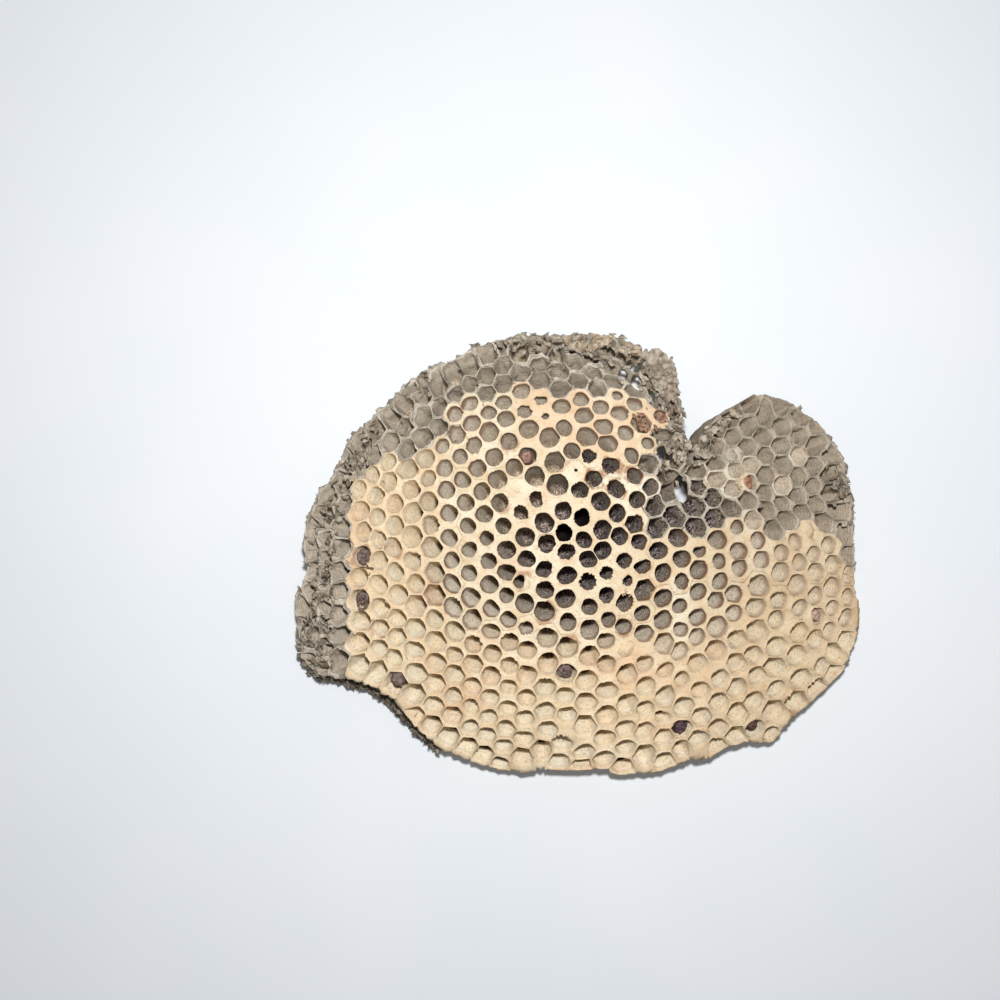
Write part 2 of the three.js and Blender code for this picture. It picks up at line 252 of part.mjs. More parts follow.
  [57.55,-34.87,19.12], [59.46,-31.52,19.36], [58.09,-42.07,17.11], [60.23,-38.39,17.58],
  [57.99,-50.29,14.36], [59.97,-45.92,15.40], [58.47,-60.33,9.74], [60.06,-54.12,12.23],
  [60.80,40.56,15.40], [62.16,50.26,10.56], [62.83,44.03,13.31], [60.29,34.49,17.56],
  [62.22,37.45,16.03], [60.38,28.45,19.08], [62.24,31.70,17.72], [60.19,22.35,20.30],
  [62.23,25.32,19.18], [60.09,17.18,21.06], [62.00,19.59,20.21], [61.48,11.64,21.24],
  [62.44,14.37,20.73], [63.97,4.53,20.98], [64.72,8.01,20.60], [65.06,-2.01,20.79],
  [66.84,1.00,20.25], [64.71,-9.35,20.69], [67.03,-5.42,20.18], [64.50,-16.84,20.20],
  [66.88,-13.14,19.84], [64.46,-24.21,19.31], [66.92,-20.32,19.13], [64.27,-31.65,18.04],
  [66.88,-28.11,17.97], [64.89,-38.82,16.15], [67.03,-35.43,16.37], [64.69,-46.05,13.99],
  [67.48,-42.64,14.23], [65.97,-55.61,9.74], [69.32,-52.48,9.98], [63.10,-60.23,8.40],
  [59.41,-60.38,9.44], [65.10,-56.81,9.46], [66.97,44.01,11.77], [61.79,50.36,10.64],
  [65.78,49.48,9.57], [69.67,47.75,8.86], [66.33,37.79,14.48], [69.05,40.87,12.27],
  [66.09,31.67,16.46], [68.25,34.79,14.76], [65.94,25.35,18.00], [67.92,28.45,16.64],
  [65.54,19.04,19.23], [67.42,21.83,18.18], [66.44,13.92,19.59], [67.63,16.18,18.96],
  [68.68,7.63,19.43], [69.43,10.82,18.94], [70.62,0.80,19.09], [71.71,3.94,18.63],
  [71.11,-5.43,18.92], [72.93,-2.24,18.35], [70.99,-12.80,18.60], [72.90,-9.03,18.20],
  [71.71,-20.11,17.66], [73.40,-16.29,17.52], [71.54,-27.82,16.54], [73.92,-23.71,16.42],
  [72.41,-35.58,14.57], [74.30,-31.50,14.85], [72.05,-42.96,12.58], [74.85,-39.28,12.68],
  [71.70,-50.27,10.05], [74.62,-47.59,9.99], [73.16,40.93,10.53], [73.31,45.13,8.56],
  [75.64,43.52,8.25], [71.88,34.64,13.40], [74.05,37.69,11.42], [71.45,28.27,15.39],
  [73.24,31.34,13.86], [70.79,21.71,17.04], [72.82,25.05,15.62], [71.49,16.02,17.68],
  [72.76,18.76,16.82], [73.45,10.63,17.59], [74.32,13.57,16.96], [75.55,3.65,17.30],
  [76.54,7.14,16.73], [76.86,-2.56,16.95], [78.40,0.18,16.34], [76.93,-9.35,16.77],
  [79.06,-6.08,16.07], [77.13,-16.59,16.16], [78.75,-13.44,15.83], [77.37,-23.64,15.17],
  [78.90,-20.35,15.05], [78.48,-31.21,13.34], [79.16,-27.46,13.83], [78.75,-38.77,11.30],
  [80.49,-34.78,11.68], [76.51,-45.84,9.90], [80.25,-42.20,9.61], [80.10,39.51,7.86],
  [77.97,41.91,7.86], [79.76,39.90,7.87], [77.04,31.56,12.19], [82.41,36.67,7.85],
  [76.50,25.25,14.10], [78.93,28.69,12.18], [76.54,19.13,15.31], [78.23,22.29,14.02],
  [78.37,13.61,15.39], [79.31,16.43,14.61], [81.14,6.88,14.92], [82.10,10.40,14.19],
  [82.56,0.03,14.66], [84.32,3.23,13.77], [82.92,-6.65,14.50], [84.88,-3.27,13.69],
  [82.57,-13.64,14.28], [84.60,-10.13,13.64], [82.04,-20.48,13.78], [84.09,-16.93,13.33],
  [82.35,-27.58,12.50], [83.71,-23.89,12.57], [86.31,-35.42,8.92], [87.51,-32.53,9.09],
  [82.81,-39.99,9.21], [85.67,-37.01,8.79], [86.20,30.51,8.07], [83.42,35.11,7.92],
  [85.33,32.22,7.96], [81.94,22.60,12.31], [87.67,27.50,8.21], [88.38,16.52,10.38],
  [88.51,19.90,9.67], [87.95,10.28,11.50], [88.19,13.88,10.91], [88.44,2.97,11.88],
  [88.15,5.88,11.83], [88.52,-3.34,12.02], [88.54,-0.04,11.96], [88.30,-10.10,11.96],
  [88.53,-6.77,11.97], [89.94,-16.49,10.67], [89.29,-13.52,11.26], [90.53,-24.68,9.25],
  [90.41,-19.44,10.10], [88.02,-31.34,9.13], [89.63,-27.74,9.13],
];

// Cells: mouth centre x, y, z, kind, share of the mouth that is open, six corner numbers counter-clockwise.
// kind 0 bare paper, 1 silk collar, 2 silk cap, 3 filled level, 4 holds dried remains, 5 crumpled and shallow
const CELLS = [
  [-87.87,-16.10,11.04,0,0.86,5,4,3,2,1,0], [-88.08,-23.57,9.76,0,0.89,9,0,1,8,7,6],
  [-84.48,8.40,12.20,0,0.88,15,14,13,12,11,10], [-84.39,1.45,13.14,0,0.85,19,10,11,18,17,16],
  [-84.33,-5.23,13.49,0,0.85,23,16,17,22,21,20], [-84.35,-11.95,13.29,0,0.85,25,20,21,4,5,24],
  [-84.46,-19.32,12.44,0,0.87,27,24,5,0,9,26], [-84.70,-26.82,10.87,0,0.86,30,26,9,6,29,28],
  [-85.55,-34.41,8.24,0,0.87,34,28,29,33,32,31], [-78.35,19.13,13.08,0,0.82,40,39,38,37,36,35],
  [-80.33,11.82,13.80,0,0.89,42,35,36,14,15,41], [-80.53,5.12,14.76,0,0.86,44,41,15,10,19,43],
  [-80.47,-1.78,15.33,0,0.87,46,43,19,16,23,45], [-80.47,-8.44,15.36,0,0.86,48,45,23,20,25,47],
  [-80.52,-15.16,14.88,0,0.85,50,47,25,24,27,49], [-80.66,-22.53,13.76,0,0.87,52,49,27,26,30,51],
  [-80.93,-30.06,11.92,0,0.88,54,51,30,28,34,53], [-81.55,-37.58,9.20,0,0.86,57,53,34,31,56,55],
  [-72.95,30.67,11.97,0,0.86,63,62,61,60,59,58], [-73.82,23.41,14.11,0,0.87,65,58,59,39,40,64],
  [-74.97,15.87,15.57,0,0.84,67,64,40,35,42,66], [-75.59,8.13,16.69,0,0.83,69,66,42,41,44,68],
  [-76.09,1.98,17.11,0,0.87,71,68,44,43,46,70], [-76.12,-4.92,17.34,0,0.85,73,70,46,45,48,72],
  [-76.17,-11.57,17.09,0,0.82,75,72,48,47,50,74], [-76.23,-18.30,16.38,0,0.84,77,74,50,49,52,76],
  [-76.41,-25.68,15.01,0,0.85,79,76,52,51,54,78], [-77.22,-33.74,12.54,0,0.84,81,78,54,53,57,80],
  [-68.62,34.93,12.43,0,0.83,85,84,83,62,63,82], [-69.17,27.96,14.82,0,0.86,87,82,63,58,65,86],
  [-69.48,20.91,16.80,1,0.78,89,86,65,64,67,88], [-69.22,13.86,18.44,1,0.72,91,88,67,66,69,90],
  [-67.74,7.31,19.92,1,0.70,93,90,69,68,71,92], [-68.51,-0.34,20.18,4,0.75,95,92,71,70,73,94],
  [-69.30,-6.91,19.92,1,0.75,97,94,73,72,75,96], [-69.19,-13.87,19.54,4,0.70,99,96,75,74,77,98],
  [-68.64,-20.62,18.88,1,0.70,101,98,77,76,79,100], [-69.62,-27.42,17.23,1,0.79,103,100,79,78,81,102],
  [-69.33,-34.55,15.44,1,0.72,106,102,81,80,105,104], [-64.03,39.02,12.89,0,0.84,110,109,108,84,85,107],
  [-64.46,32.29,15.39,0,0.87,112,107,85,82,87,111], [-64.70,25.60,17.47,1,0.75,114,111,87,86,89,113],
  [-63.82,18.97,19.46,1,0.79,116,113,89,88,91,115], [-63.30,12.36,20.81,1,0.67,118,115,91,90,93,117],
  [-63.01,5.22,21.68,1,0.70,120,117,93,92,95,119], [-62.66,-1.41,22.07,1,0.69,122,119,95,94,97,121],
  [-62.69,-9.21,21.90,1,0.65,124,121,97,96,99,123], [-61.84,-16.56,21.51,1,0.74,126,123,99,98,101,125],
  [-62.47,-22.69,20.45,1,0.76,128,125,101,100,103,127], [-63.21,-29.15,18.90,1,0.70,130,127,103,102,106,129],
  [-64.25,-36.62,16.50,1,0.80,133,129,106,104,132,131], [-59.21,42.91,13.38,0,0.88,137,136,135,109,110,134],
  [-59.40,36.29,16.03,0,0.87,139,134,110,107,112,138], [-59.58,29.74,18.18,1,0.76,141,138,112,111,114,140],
  [-60.31,23.36,19.68,1,0.78,143,140,114,113,116,142], [-57.70,16.26,21.94,1,0.67,145,142,116,115,118,144],
  [-58.09,9.65,22.71,1,0.77,147,144,118,117,120,146], [-58.31,2.75,23.16,1,0.77,149,146,120,119,122,148],
  [-57.18,-4.82,23.52,1,0.65,151,148,122,121,124,150], [-56.70,-12.16,23.26,1,0.75,153,150,124,123,126,152],
  [-57.16,-19.05,22.40,1,0.72,155,152,126,125,128,154], [-57.03,-25.43,21.37,1,0.77,157,154,128,127,130,156],
  [-57.97,-31.96,19.65,1,0.71,159,156,130,129,133,158], [-57.76,-39.87,17.31,4,0.75,162,158,133,131,161,160],
  [-54.33,53.24,10.44,0,0.87,168,167,166,165,164,163], [-54.32,46.66,13.80,0,0.84,170,163,164,136,137,169],
  [-54.25,40.08,16.61,0,0.87,172,169,137,134,139,171], [-54.04,33.51,18.96,0,0.86,174,171,139,138,141,173],
  [-53.35,26.86,21.03,1,0.76,176,173,141,140,143,175], [-52.34,20.79,22.62,1,0.71,178,175,143,142,145,177],
  [-51.91,13.68,23.83,1,0.79,180,177,145,144,147,179], [-52.14,6.27,24.47,1,0.77,182,179,147,146,149,181],
  [-52.07,-1.41,24.72,1,0.73,184,181,149,148,151,183], [-50.94,-8.33,24.76,1,0.77,186,183,151,150,153,185],
  [-51.20,-15.51,24.13,1,0.80,188,185,153,152,155,187], [-51.26,-22.70,23.14,1,0.82,190,187,155,154,157,189],
  [-51.06,-29.67,21.80,1,0.66,192,189,157,156,159,191], [-50.64,-36.75,20.02,1,0.78,194,191,159,158,162,193],
  [-51.44,-43.67,17.51,1,0.76,197,193,162,160,196,195], [-52.09,-50.74,14.34,1,0.73,201,195,196,200,199,198],
  [-49.56,56.79,10.59,5,0.84,205,204,203,167,168,202], [-49.46,50.28,14.09,0,0.89,207,202,168,163,170,206],
  [-49.24,43.76,17.01,0,0.83,209,206,170,169,172,208], [-48.82,37.20,19.48,0,0.87,211,208,172,171,174,210],
  [-48.15,30.60,21.56,1,0.80,213,210,174,173,176,212], [-47.28,24.02,23.25,1,0.66,215,212,176,175,178,214],
  [-46.54,17.19,24.56,1,0.72,217,214,178,177,180,216], [-46.26,9.93,25.41,1,0.67,219,216,180,179,182,218],
  [-46.10,2.46,25.82,1,0.75,221,218,182,181,184,220], [-45.66,-4.92,25.86,1,0.81,223,220,184,183,186,222],
  [-45.29,-12.15,25.51,1,0.84,225,222,186,185,188,224], [-45.20,-19.38,24.73,1,0.65,227,224,188,187,190,226],
  [-45.03,-26.52,23.58,1,0.71,229,226,190,189,192,228], [-44.85,-33.56,22.02,1,0.77,231,228,192,191,194,230],
  [-45.01,-40.48,19.96,1,0.81,233,230,194,193,197,232], [-45.60,-47.30,17.33,1,0.76,235,232,197,195,201,234],
  [-46.37,-54.13,14.05,1,0.70,238,234,201,198,237,236], [-44.62,53.79,14.20,0,0.87,241,240,205,202,207,239],
  [-44.35,47.36,17.23,0,0.86,243,239,207,206,209,242], [-43.87,40.84,19.78,0,0.86,245,242,209,208,211,244],
  [-43.15,34.19,21.93,1,0.70,247,244,211,210,213,246], [-42.25,27.42,23.70,1,0.75,249,246,213,212,215,248],
  [-41.39,20.53,25.08,1,0.75,251,248,215,214,217,250], [-40.75,13.38,26.07,1,0.73,253,250,217,216,219,252],
  [-40.33,6.01,26.64,1,0.72,255,252,219,218,221,254], [-39.94,-1.40,26.80,1,0.67,257,254,221,220,223,256],
  [-39.56,-8.73,26.59,1,0.71,259,256,223,222,225,258], [-39.32,-16.01,25.99,1,0.80,261,258,225,224,227,260],
  [-39.14,-23.26,25.02,1,0.73,263,260,227,226,229,262], [-38.98,-30.39,23.67,1,0.66,265,262,229,228,231,264],
  [-39.00,-37.35,21.91,1,0.80,267,264,231,230,233,266], [-39.37,-44.12,19.67,1,0.76,269,266,233,232,235,268],
  [-40.03,-50.77,16.91,1,0.84,271,268,235,234,238,270], [-40.85,-57.41,13.51,1,0.74,274,270,238,236,273,272],
  [-39.73,57.16,14.10,5,0.85,278,277,276,240,241,275], [-39.49,50.85,17.25,0,0.83,280,275,241,239,243,279],
  [-39.03,44.45,19.89,1,0.80,282,279,243,242,245,281], [-38.32,37.83,22.12,1,0.86,284,281,245,244,247,283],
  [-37.39,30.95,23.97,1,0.69,286,283,247,246,249,285], [-36.42,23.91,25.43,1,0.70,288,285,249,248,251,287],
  [-35.57,16.75,26.51,1,0.76,290,287,251,250,253,289], [-34.88,9.47,27.20,1,0.69,292,289,253,252,255,291],
  [-34.30,2.15,27.51,1,0.72,294,291,255,254,257,293], [-33.87,-5.17,27.43,1,0.72,296,293,257,256,259,295],
  [-33.60,-12.48,26.99,1,0.74,298,295,259,258,261,297], [-33.39,-19.77,26.20,1,0.79,300,297,261,260,263,299],
  [-33.23,-27.00,25.05,1,0.74,302,299,263,262,265,301], [-33.19,-34.10,23.52,1,0.78,304,301,265,264,267,303],
  [-33.40,-40.97,21.57,1,0.71,306,303,267,266,269,305], [-33.87,-47.61,19.19,1,0.75,308,305,269,268,271,307],
  [-34.57,-54.10,16.30,1,0.63,310,307,271,270,274,309], [-35.43,-60.59,12.78,1,0.66,313,309,274,272,312,311],
  [-34.73,60.41,13.77,5,0.88,317,316,315,277,278,314], [-34.56,54.19,17.08,0,0.85,319,314,278,275,280,318],
  [-34.19,47.98,19.80,1,0.76,321,318,280,279,282,320], [-33.55,41.54,22.10,1,0.76,323,320,282,281,284,322],
  [-32.61,34.67,24.06,1,0.80,325,322,284,283,286,324], [-31.52,27.47,25.63,1,0.78,327,324,286,285,288,326],
  [-30.54,20.21,26.78,1,0.79,329,326,288,287,290,328], [-29.69,12.95,27.56,1,0.73,331,328,290,289,292,330],
  [-28.90,5.71,27.99,1,0.70,333,330,292,291,294,332], [-28.28,-1.49,28.06,1,0.70,335,332,294,293,296,334],
  [-28.01,-8.73,27.77,1,0.71,337,334,296,295,298,336], [-27.85,-16.00,27.15,1,0.68,339,336,298,297,300,338],
  [-27.64,-23.27,26.20,1,0.71,341,338,300,299,302,340], [-27.52,-30.53,24.88,1,0.73,343,340,302,301,304,342],
  [-27.60,-37.66,23.17,1,0.75,345,342,304,303,306,344], [-27.90,-44.46,21.06,1,0.72,347,344,306,305,308,346],
  [-28.40,-51.01,18.54,1,0.64,349,346,308,307,310,348], [-29.14,-57.36,15.52,1,0.73,351,348,310,309,313,350],
  [-30.06,-63.73,11.85,1,0.75,354,350,313,311,353,352], [-29.57,63.55,13.12,5,0.88,358,357,356,316,317,355],
  [-29.46,57.36,16.67,5,0.87,360,355,317,314,319,359], [-29.19,51.28,19.53,0,0.85,362,359,319,318,321,361],
  [-28.68,45.18,21.88,1,0.70,364,361,321,320,323,363], [-27.86,38.59,23.91,1,0.84,366,363,323,322,325,365],
  [-26.67,31.26,25.66,1,0.77,368,365,325,324,327,367], [-25.49,23.85,26.92,1,0.83,370,367,327,326,329,369],
  [-24.59,16.59,27.76,1,0.84,372,369,329,328,331,371], [-23.67,9.38,28.29,1,0.69,374,371,331,330,333,373],
  [-22.89,2.32,28.48,1,0.75,376,373,333,332,335,375], [-22.19,-4.75,28.36,1,0.76,378,375,335,334,337,377],
  [-22.64,-11.88,27.88,1,0.76,380,377,337,336,339,379], [-22.12,-19.28,27.13,1,0.76,382,379,339,338,341,381],
  [-22.07,-26.37,26.07,1,0.75,384,381,341,340,343,383], [-21.79,-34.12,24.53,1,0.74,386,383,343,342,345,385],
  [-22.16,-41.08,22.67,1,0.66,388,385,345,344,347,387], [-22.35,-47.94,20.38,1,0.73,390,387,347,346,349,389],
  [-22.84,-54.41,17.69,1,0.70,392,389,349,348,351,391], [-23.71,-60.61,14.53,1,0.74,394,391,351,350,354,393],
  [-24.70,-66.94,10.66,1,0.71,397,393,354,352,396,395], [-24.24,66.66,12.04,5,0.87,401,400,399,357,358,398],
  [-24.15,60.47,15.91,5,0.88,403,398,358,355,360,402], [-23.96,54.37,19.03,0,0.87,405,402,360,359,362,404],
  [-23.53,48.40,21.52,1,0.75,407,404,362,361,364,406], [-22.95,42.71,23.46,1,0.74,409,406,364,363,366,408],
  [-22.02,35.50,25.37,1,0.71,411,408,366,365,368,410], [-20.01,27.51,26.97,1,0.73,413,410,368,367,370,412],
  [-19.38,20.50,27.84,2,0.30,415,412,370,369,372,414], [-18.59,13.30,28.42,1,0.62,417,414,372,371,374,416],
  [-17.39,6.00,28.75,1,0.74,419,416,374,373,376,418], [-17.10,-0.38,28.73,1,0.76,421,418,376,375,378,420],
  [-18.14,-7.84,28.38,1,0.55,423,420,378,377,380,422], [-17.10,-14.28,27.91,1,0.78,425,422,380,379,382,424],
  [-16.99,-21.60,27.07,1,0.70,427,424,382,381,384,426], [-16.41,-29.06,25.89,1,0.70,429,426,384,383,386,428],
  [-16.91,-37.13,24.10,1,0.73,431,428,386,385,388,430], [-16.39,-44.45,22.04,1,0.71,433,430,388,387,390,432],
  [-16.56,-51.51,19.48,1,0.75,435,432,390,389,392,434], [-17.18,-57.98,16.56,1,0.71,437,434,392,391,394,436],
  [-18.40,-63.67,13.43,1,0.68,439,436,394,393,397,438], [-18.64,63.58,14.69,5,0.84,442,441,401,398,403,440],
  [-18.45,57.53,18.10,5,0.89,444,440,403,402,405,443], [-18.21,51.42,20.89,1,0.74,446,443,405,404,407,445],
  [-17.34,45.14,23.22,1,0.68,448,445,407,406,409,447], [-16.17,39.83,24.82,1,0.74,450,447,409,408,411,449],
  [-16.48,31.09,26.66,4,0.72,452,449,411,410,413,451], [-13.97,24.93,27.69,1,0.82,454,451,413,412,415,453],
  [-13.25,17.58,28.42,1,0.55,456,453,415,414,417,455], [-11.02,10.76,28.84,1,0.76,458,455,417,416,419,457],
  [-10.64,4.26,28.96,1,0.76,460,457,419,418,421,459], [-11.16,-3.66,28.78,1,0.66,462,459,421,420,423,461],
  [-11.19,-9.84,28.44,1,0.75,464,461,423,422,425,463], [-11.11,-16.84,27.83,1,0.78,466,463,425,424,427,465],
  [-9.98,-25.29,26.76,1,0.76,468,465,427,426,429,467], [-9.94,-33.11,25.33,1,0.75,470,467,429,428,431,469],
  [-10.95,-40.71,23.44,1,0.78,472,469,431,430,433,471], [-10.59,-49.11,20.77,1,0.74,474,471,433,432,435,473],
  [-10.33,-54.36,18.71,1,0.75,476,473,435,434,437,475], [-11.45,-62.56,14.66,1,0.73,478,475,437,436,439,477],
  [-13.05,66.61,13.00,5,0.87,482,481,480,441,442,479], [-12.73,60.69,16.69,5,0.84,484,479,442,440,444,483],
  [-12.37,54.90,19.66,0,0.88,486,483,444,443,446,485], [-12.18,49.12,22.07,1,0.45,488,485,446,445,448,487],
  [-10.79,43.86,23.87,1,0.30,490,487,448,447,450,489], [-9.58,36.68,25.78,1,0.75,492,489,450,449,452,491],
  [-7.83,29.26,27.20,1,0.82,494,491,452,451,454,493], [-6.85,22.19,28.13,1,0.78,496,493,454,453,456,495],
  [-5.90,14.08,28.77,1,0.71,498,495,456,455,458,497], [-5.24,7.52,28.98,1,0.80,500,497,458,457,460,499],
  [-4.39,1.50,28.97,1,0.71,502,499,460,459,462,501], [-4.12,-5.65,28.75,1,0.73,504,501,462,461,464,503],
  [-4.60,-12.88,28.29,1,0.74,506,503,464,463,466,505], [-4.01,-20.22,27.55,1,0.62,508,505,466,465,468,507],
  [-4.19,-27.97,26.43,1,0.74,510,507,468,467,470,509], [-4.43,-36.59,24.69,4,0.70,512,509,470,469,472,511],
  [-4.38,-43.61,22.82,1,0.70,514,511,472,471,474,513], [-3.79,-49.32,20.95,1,0.66,516,513,474,473,476,515],
  [-5.52,-60.10,16.30,1,0.66,518,515,476,475,478,517], [-6.41,-65.80,13.16,1,0.69,521,517,478,477,520,519],
  [-7.08,63.59,14.94,5,0.88,524,523,482,479,484,522], [-6.52,57.93,18.15,5,0.89,526,522,484,483,486,525],
  [-5.65,52.59,20.65,0,0.86,528,525,486,485,488,527], [-5.89,46.54,22.98,1,0.79,530,527,488,487,490,529],
  [-5.00,39.67,25.02,1,0.72,532,529,490,489,492,531], [-2.51,32.55,26.56,1,0.72,534,531,492,491,494,533],
  [-1.68,26.50,27.54,2,0.12,536,533,494,493,496,535], [-0.06,20.20,28.25,1,0.76,538,535,496,495,498,537],
  [0.60,12.06,28.80,1,0.70,540,537,498,497,500,539], [1.21,5.00,28.94,1,0.75,542,539,500,499,502,541],
  [2.08,-1.06,28.86,1,0.76,544,541,502,501,504,543], [1.90,-7.99,28.59,1,0.69,546,543,504,503,506,545],
  [2.47,-15.51,28.04,1,0.66,548,545,506,505,508,547], [2.54,-22.34,27.28,1,0.72,550,547,508,507,510,549],
  [2.58,-30.84,25.94,1,0.72,552,549,510,509,512,551], [2.12,-38.40,24.31,1,0.72,554,551,512,511,514,553],
  [1.97,-45.98,22.17,1,0.78,556,553,514,513,516,555], [2.06,-52.72,19.78,1,0.82,558,555,516,515,518,557],
  [1.92,-62.42,15.34,1,0.71,560,557,518,517,521,559], [0.56,-66.78,12.88,1,0.77,563,559,521,519,562,561],
  [-1.57,66.29,12.89,5,0.88,567,566,565,523,524,564], [-0.98,60.59,16.45,5,0.87,569,564,524,522,526,568],
  [-0.26,55.03,19.32,0,0.88,571,568,526,525,528,570], [0.37,48.92,21.89,1,0.72,573,570,528,527,530,572],
  [1.18,43.89,23.60,1,0.77,575,572,530,529,532,574], [2.05,36.55,25.57,1,0.84,577,574,532,531,534,576],
  [2.72,30.79,26.74,1,0.62,579,576,534,533,536,578], [3.93,23.54,27.80,1,0.70,581,578,536,535,538,580],
  [6.14,17.16,28.37,1,0.77,583,580,538,537,540,582], [6.24,8.50,28.77,1,0.80,585,582,540,539,542,584],
  [6.63,1.91,28.79,1,0.75,587,584,542,541,544,586], [8.05,-4.99,28.59,1,0.60,589,586,544,543,546,588],
  [7.89,-11.68,28.24,1,0.65,591,588,546,545,548,590], [8.70,-19.49,27.51,1,0.67,593,590,548,547,550,592],
  [8.25,-26.05,26.66,1,0.76,595,592,550,549,552,594], [8.33,-33.52,25.34,1,0.73,597,594,552,551,554,596],
  [8.22,-41.99,23.31,1,0.68,599,596,554,553,556,598], [8.40,-50.34,20.66,1,0.80,601,598,556,555,558,600],
  [8.33,-57.96,17.55,1,0.75,603,600,558,557,560,602], [8.22,-65.01,13.98,1,0.68,605,602,560,559,563,604],
  [3.93,68.89,10.51,5,0.87,609,608,607,566,567,606], [4.42,63.06,14.54,5,0.85,611,606,567,564,569,610],
  [5.13,57.59,17.65,5,0.82,613,610,569,568,571,612], [5.87,52.27,20.17,0,0.85,615,612,571,570,573,614],
  [6.63,46.63,22.38,1,0.75,617,614,573,572,575,616], [7.44,40.09,24.42,1,0.77,619,616,575,574,577,618],
  [8.62,34.81,25.69,1,0.74,621,618,577,576,579,620], [9.77,27.80,26.99,1,0.70,623,620,579,578,581,622],
  [11.20,21.18,27.80,1,0.76,625,622,581,580,583,624], [11.53,13.29,28.39,1,0.72,627,624,583,582,585,626],
  [12.12,6.67,28.56,1,0.79,629,626,585,584,587,628], [13.58,-0.96,28.47,1,0.74,631,628,587,586,589,630],
  [14.50,-7.14,28.23,1,0.60,633,630,589,588,591,632], [13.78,-14.10,27.84,1,0.76,635,632,591,590,593,634],
  [13.82,-21.66,27.08,1,0.68,637,634,593,592,595,636], [14.10,-29.08,25.99,2,0.00,639,636,595,594,597,638],
  [14.64,-36.67,24.46,1,0.80,641,638,597,596,599,640], [15.42,-46.61,21.72,1,0.75,643,640,599,598,601,642],
  [14.88,-54.42,18.91,1,0.72,645,642,601,600,603,644], [15.35,-60.90,15.97,1,0.75,647,644,603,602,605,646],
  [14.79,-67.42,12.45,1,0.71,650,646,605,604,649,648], [9.86,65.44,12.38,5,0.87,653,652,609,606,611,651],
  [10.48,59.80,15.93,5,0.85,655,651,611,610,613,654], [11.25,54.70,18.60,0,0.87,657,654,613,612,615,656],
  [12.10,50.11,20.63,1,0.50,659,656,615,614,617,658], [12.34,44.91,22.61,1,0.80,661,658,617,616,619,660],
  [13.99,38.08,24.59,1,0.71,663,660,619,618,621,662], [15.93,31.28,26.03,1,0.66,665,662,621,620,623,664],
  [16.54,24.97,27.04,1,0.72,667,664,623,622,625,666], [17.12,18.05,27.75,1,0.72,669,666,625,624,627,668],
  [16.93,10.28,28.20,1,0.74,671,668,627,626,629,670], [18.06,4.71,28.24,1,0.68,673,670,629,628,631,672],
  [18.51,-3.23,28.14,1,0.75,675,672,631,630,633,674], [19.89,-9.98,27.77,1,0.90,677,674,633,632,635,676],
  [18.92,-17.49,27.26,1,0.67,679,676,635,634,637,678], [19.54,-24.06,26.47,1,0.75,681,678,637,636,639,680],
  [20.00,-32.89,24.98,1,0.55,683,680,639,638,641,682], [20.50,-40.86,23.13,1,0.74,685,682,641,640,643,684],
  [20.73,-48.30,20.89,1,0.64,687,684,643,642,645,686], [20.95,-54.93,18.39,1,0.68,689,686,645,644,647,688],
  [20.83,-63.76,14.22,1,0.76,691,688,647,646,650,690], [15.96,61.97,13.99,5,0.86,694,693,653,651,655,692],
  [16.75,56.45,17.16,5,0.89,696,692,655,654,657,695], [17.63,51.66,19.46,0,0.85,698,695,657,656,659,697],
  [17.11,47.49,21.28,1,0.66,700,697,659,658,661,699], [18.66,41.53,23.25,1,0.88,702,699,661,660,663,701],
  [20.59,34.96,24.89,1,0.55,704,701,663,662,665,703], [20.93,28.64,26.14,5,0.84,706,703,665,664,667,705],
  [21.72,21.18,27.10,1,0.75,708,705,667,666,669,707], [23.32,15.91,27.42,0,0.86,710,707,669,668,671,709],
  [23.68,9.23,27.73,0,0.88,712,709,671,670,673,711], [23.83,1.69,27.82,1,0.74,714,711,673,672,675,713],
  [25.25,-4.80,27.59,1,0.70,716,713,675,674,677,715], [25.35,-12.58,27.20,1,0.75,718,715,677,676,679,717],
  [25.95,-19.37,26.56,1,0.87,720,717,679,678,681,719], [26.36,-26.76,25.57,1,0.80,722,719,681,680,683,721],
  [26.32,-35.40,24.00,1,0.60,724,721,683,682,685,723], [26.85,-43.38,21.95,1,0.73,726,723,685,684,687,725],
  [26.58,-50.53,19.66,1,0.69,728,725,687,686,689,727], [26.88,-57.82,16.68,1,0.77,730,727,689,688,691,729],
  [27.03,-66.02,12.48,1,0.73,733,729,691,690,732,731], [22.41,58.57,15.29,5,0.90,736,735,694,692,696,734],
  [23.52,52.64,18.35,5,0.88,738,734,696,695,698,737], [25.90,48.06,20.13,5,0.88,740,737,698,697,700,739],
  [25.72,43.29,21.97,4,0.70,742,739,700,699,702,741], [24.90,37.01,23.96,5,0.86,744,741,702,701,704,743],
  [28.21,31.70,24.83,5,0.87,746,743,704,703,706,745], [25.89,25.78,26.13,5,0.89,748,745,706,705,708,747],
  [27.06,20.22,26.69,0,0.87,750,747,708,707,710,749], [28.85,11.32,27.15,0,0.85,752,749,710,709,712,751],
  [30.55,5.84,27.15,1,0.80,754,751,712,711,714,753], [31.21,-0.76,27.10,1,0.74,756,753,714,713,716,755],
  [31.26,-7.96,26.89,1,0.73,758,755,716,715,718,757], [31.06,-15.25,26.45,1,0.70,760,757,718,717,720,759],
  [31.42,-22.56,25.66,1,0.71,762,759,720,719,722,761], [31.31,-29.48,24.66,1,0.70,764,761,722,721,724,763],
  [32.14,-38.24,22.77,1,0.60,766,763,724,723,726,765], [32.79,-47.41,20.10,1,0.79,768,765,726,725,728,767],
  [32.57,-54.95,17.32,4,0.72,770,767,728,727,730,769], [32.86,-61.77,14.13,1,0.72,772,769,730,729,733,771],
  [28.35,61.30,12.70,5,0.88,776,775,774,735,736,773], [28.33,55.71,16.11,5,0.87,778,773,736,734,738,777],
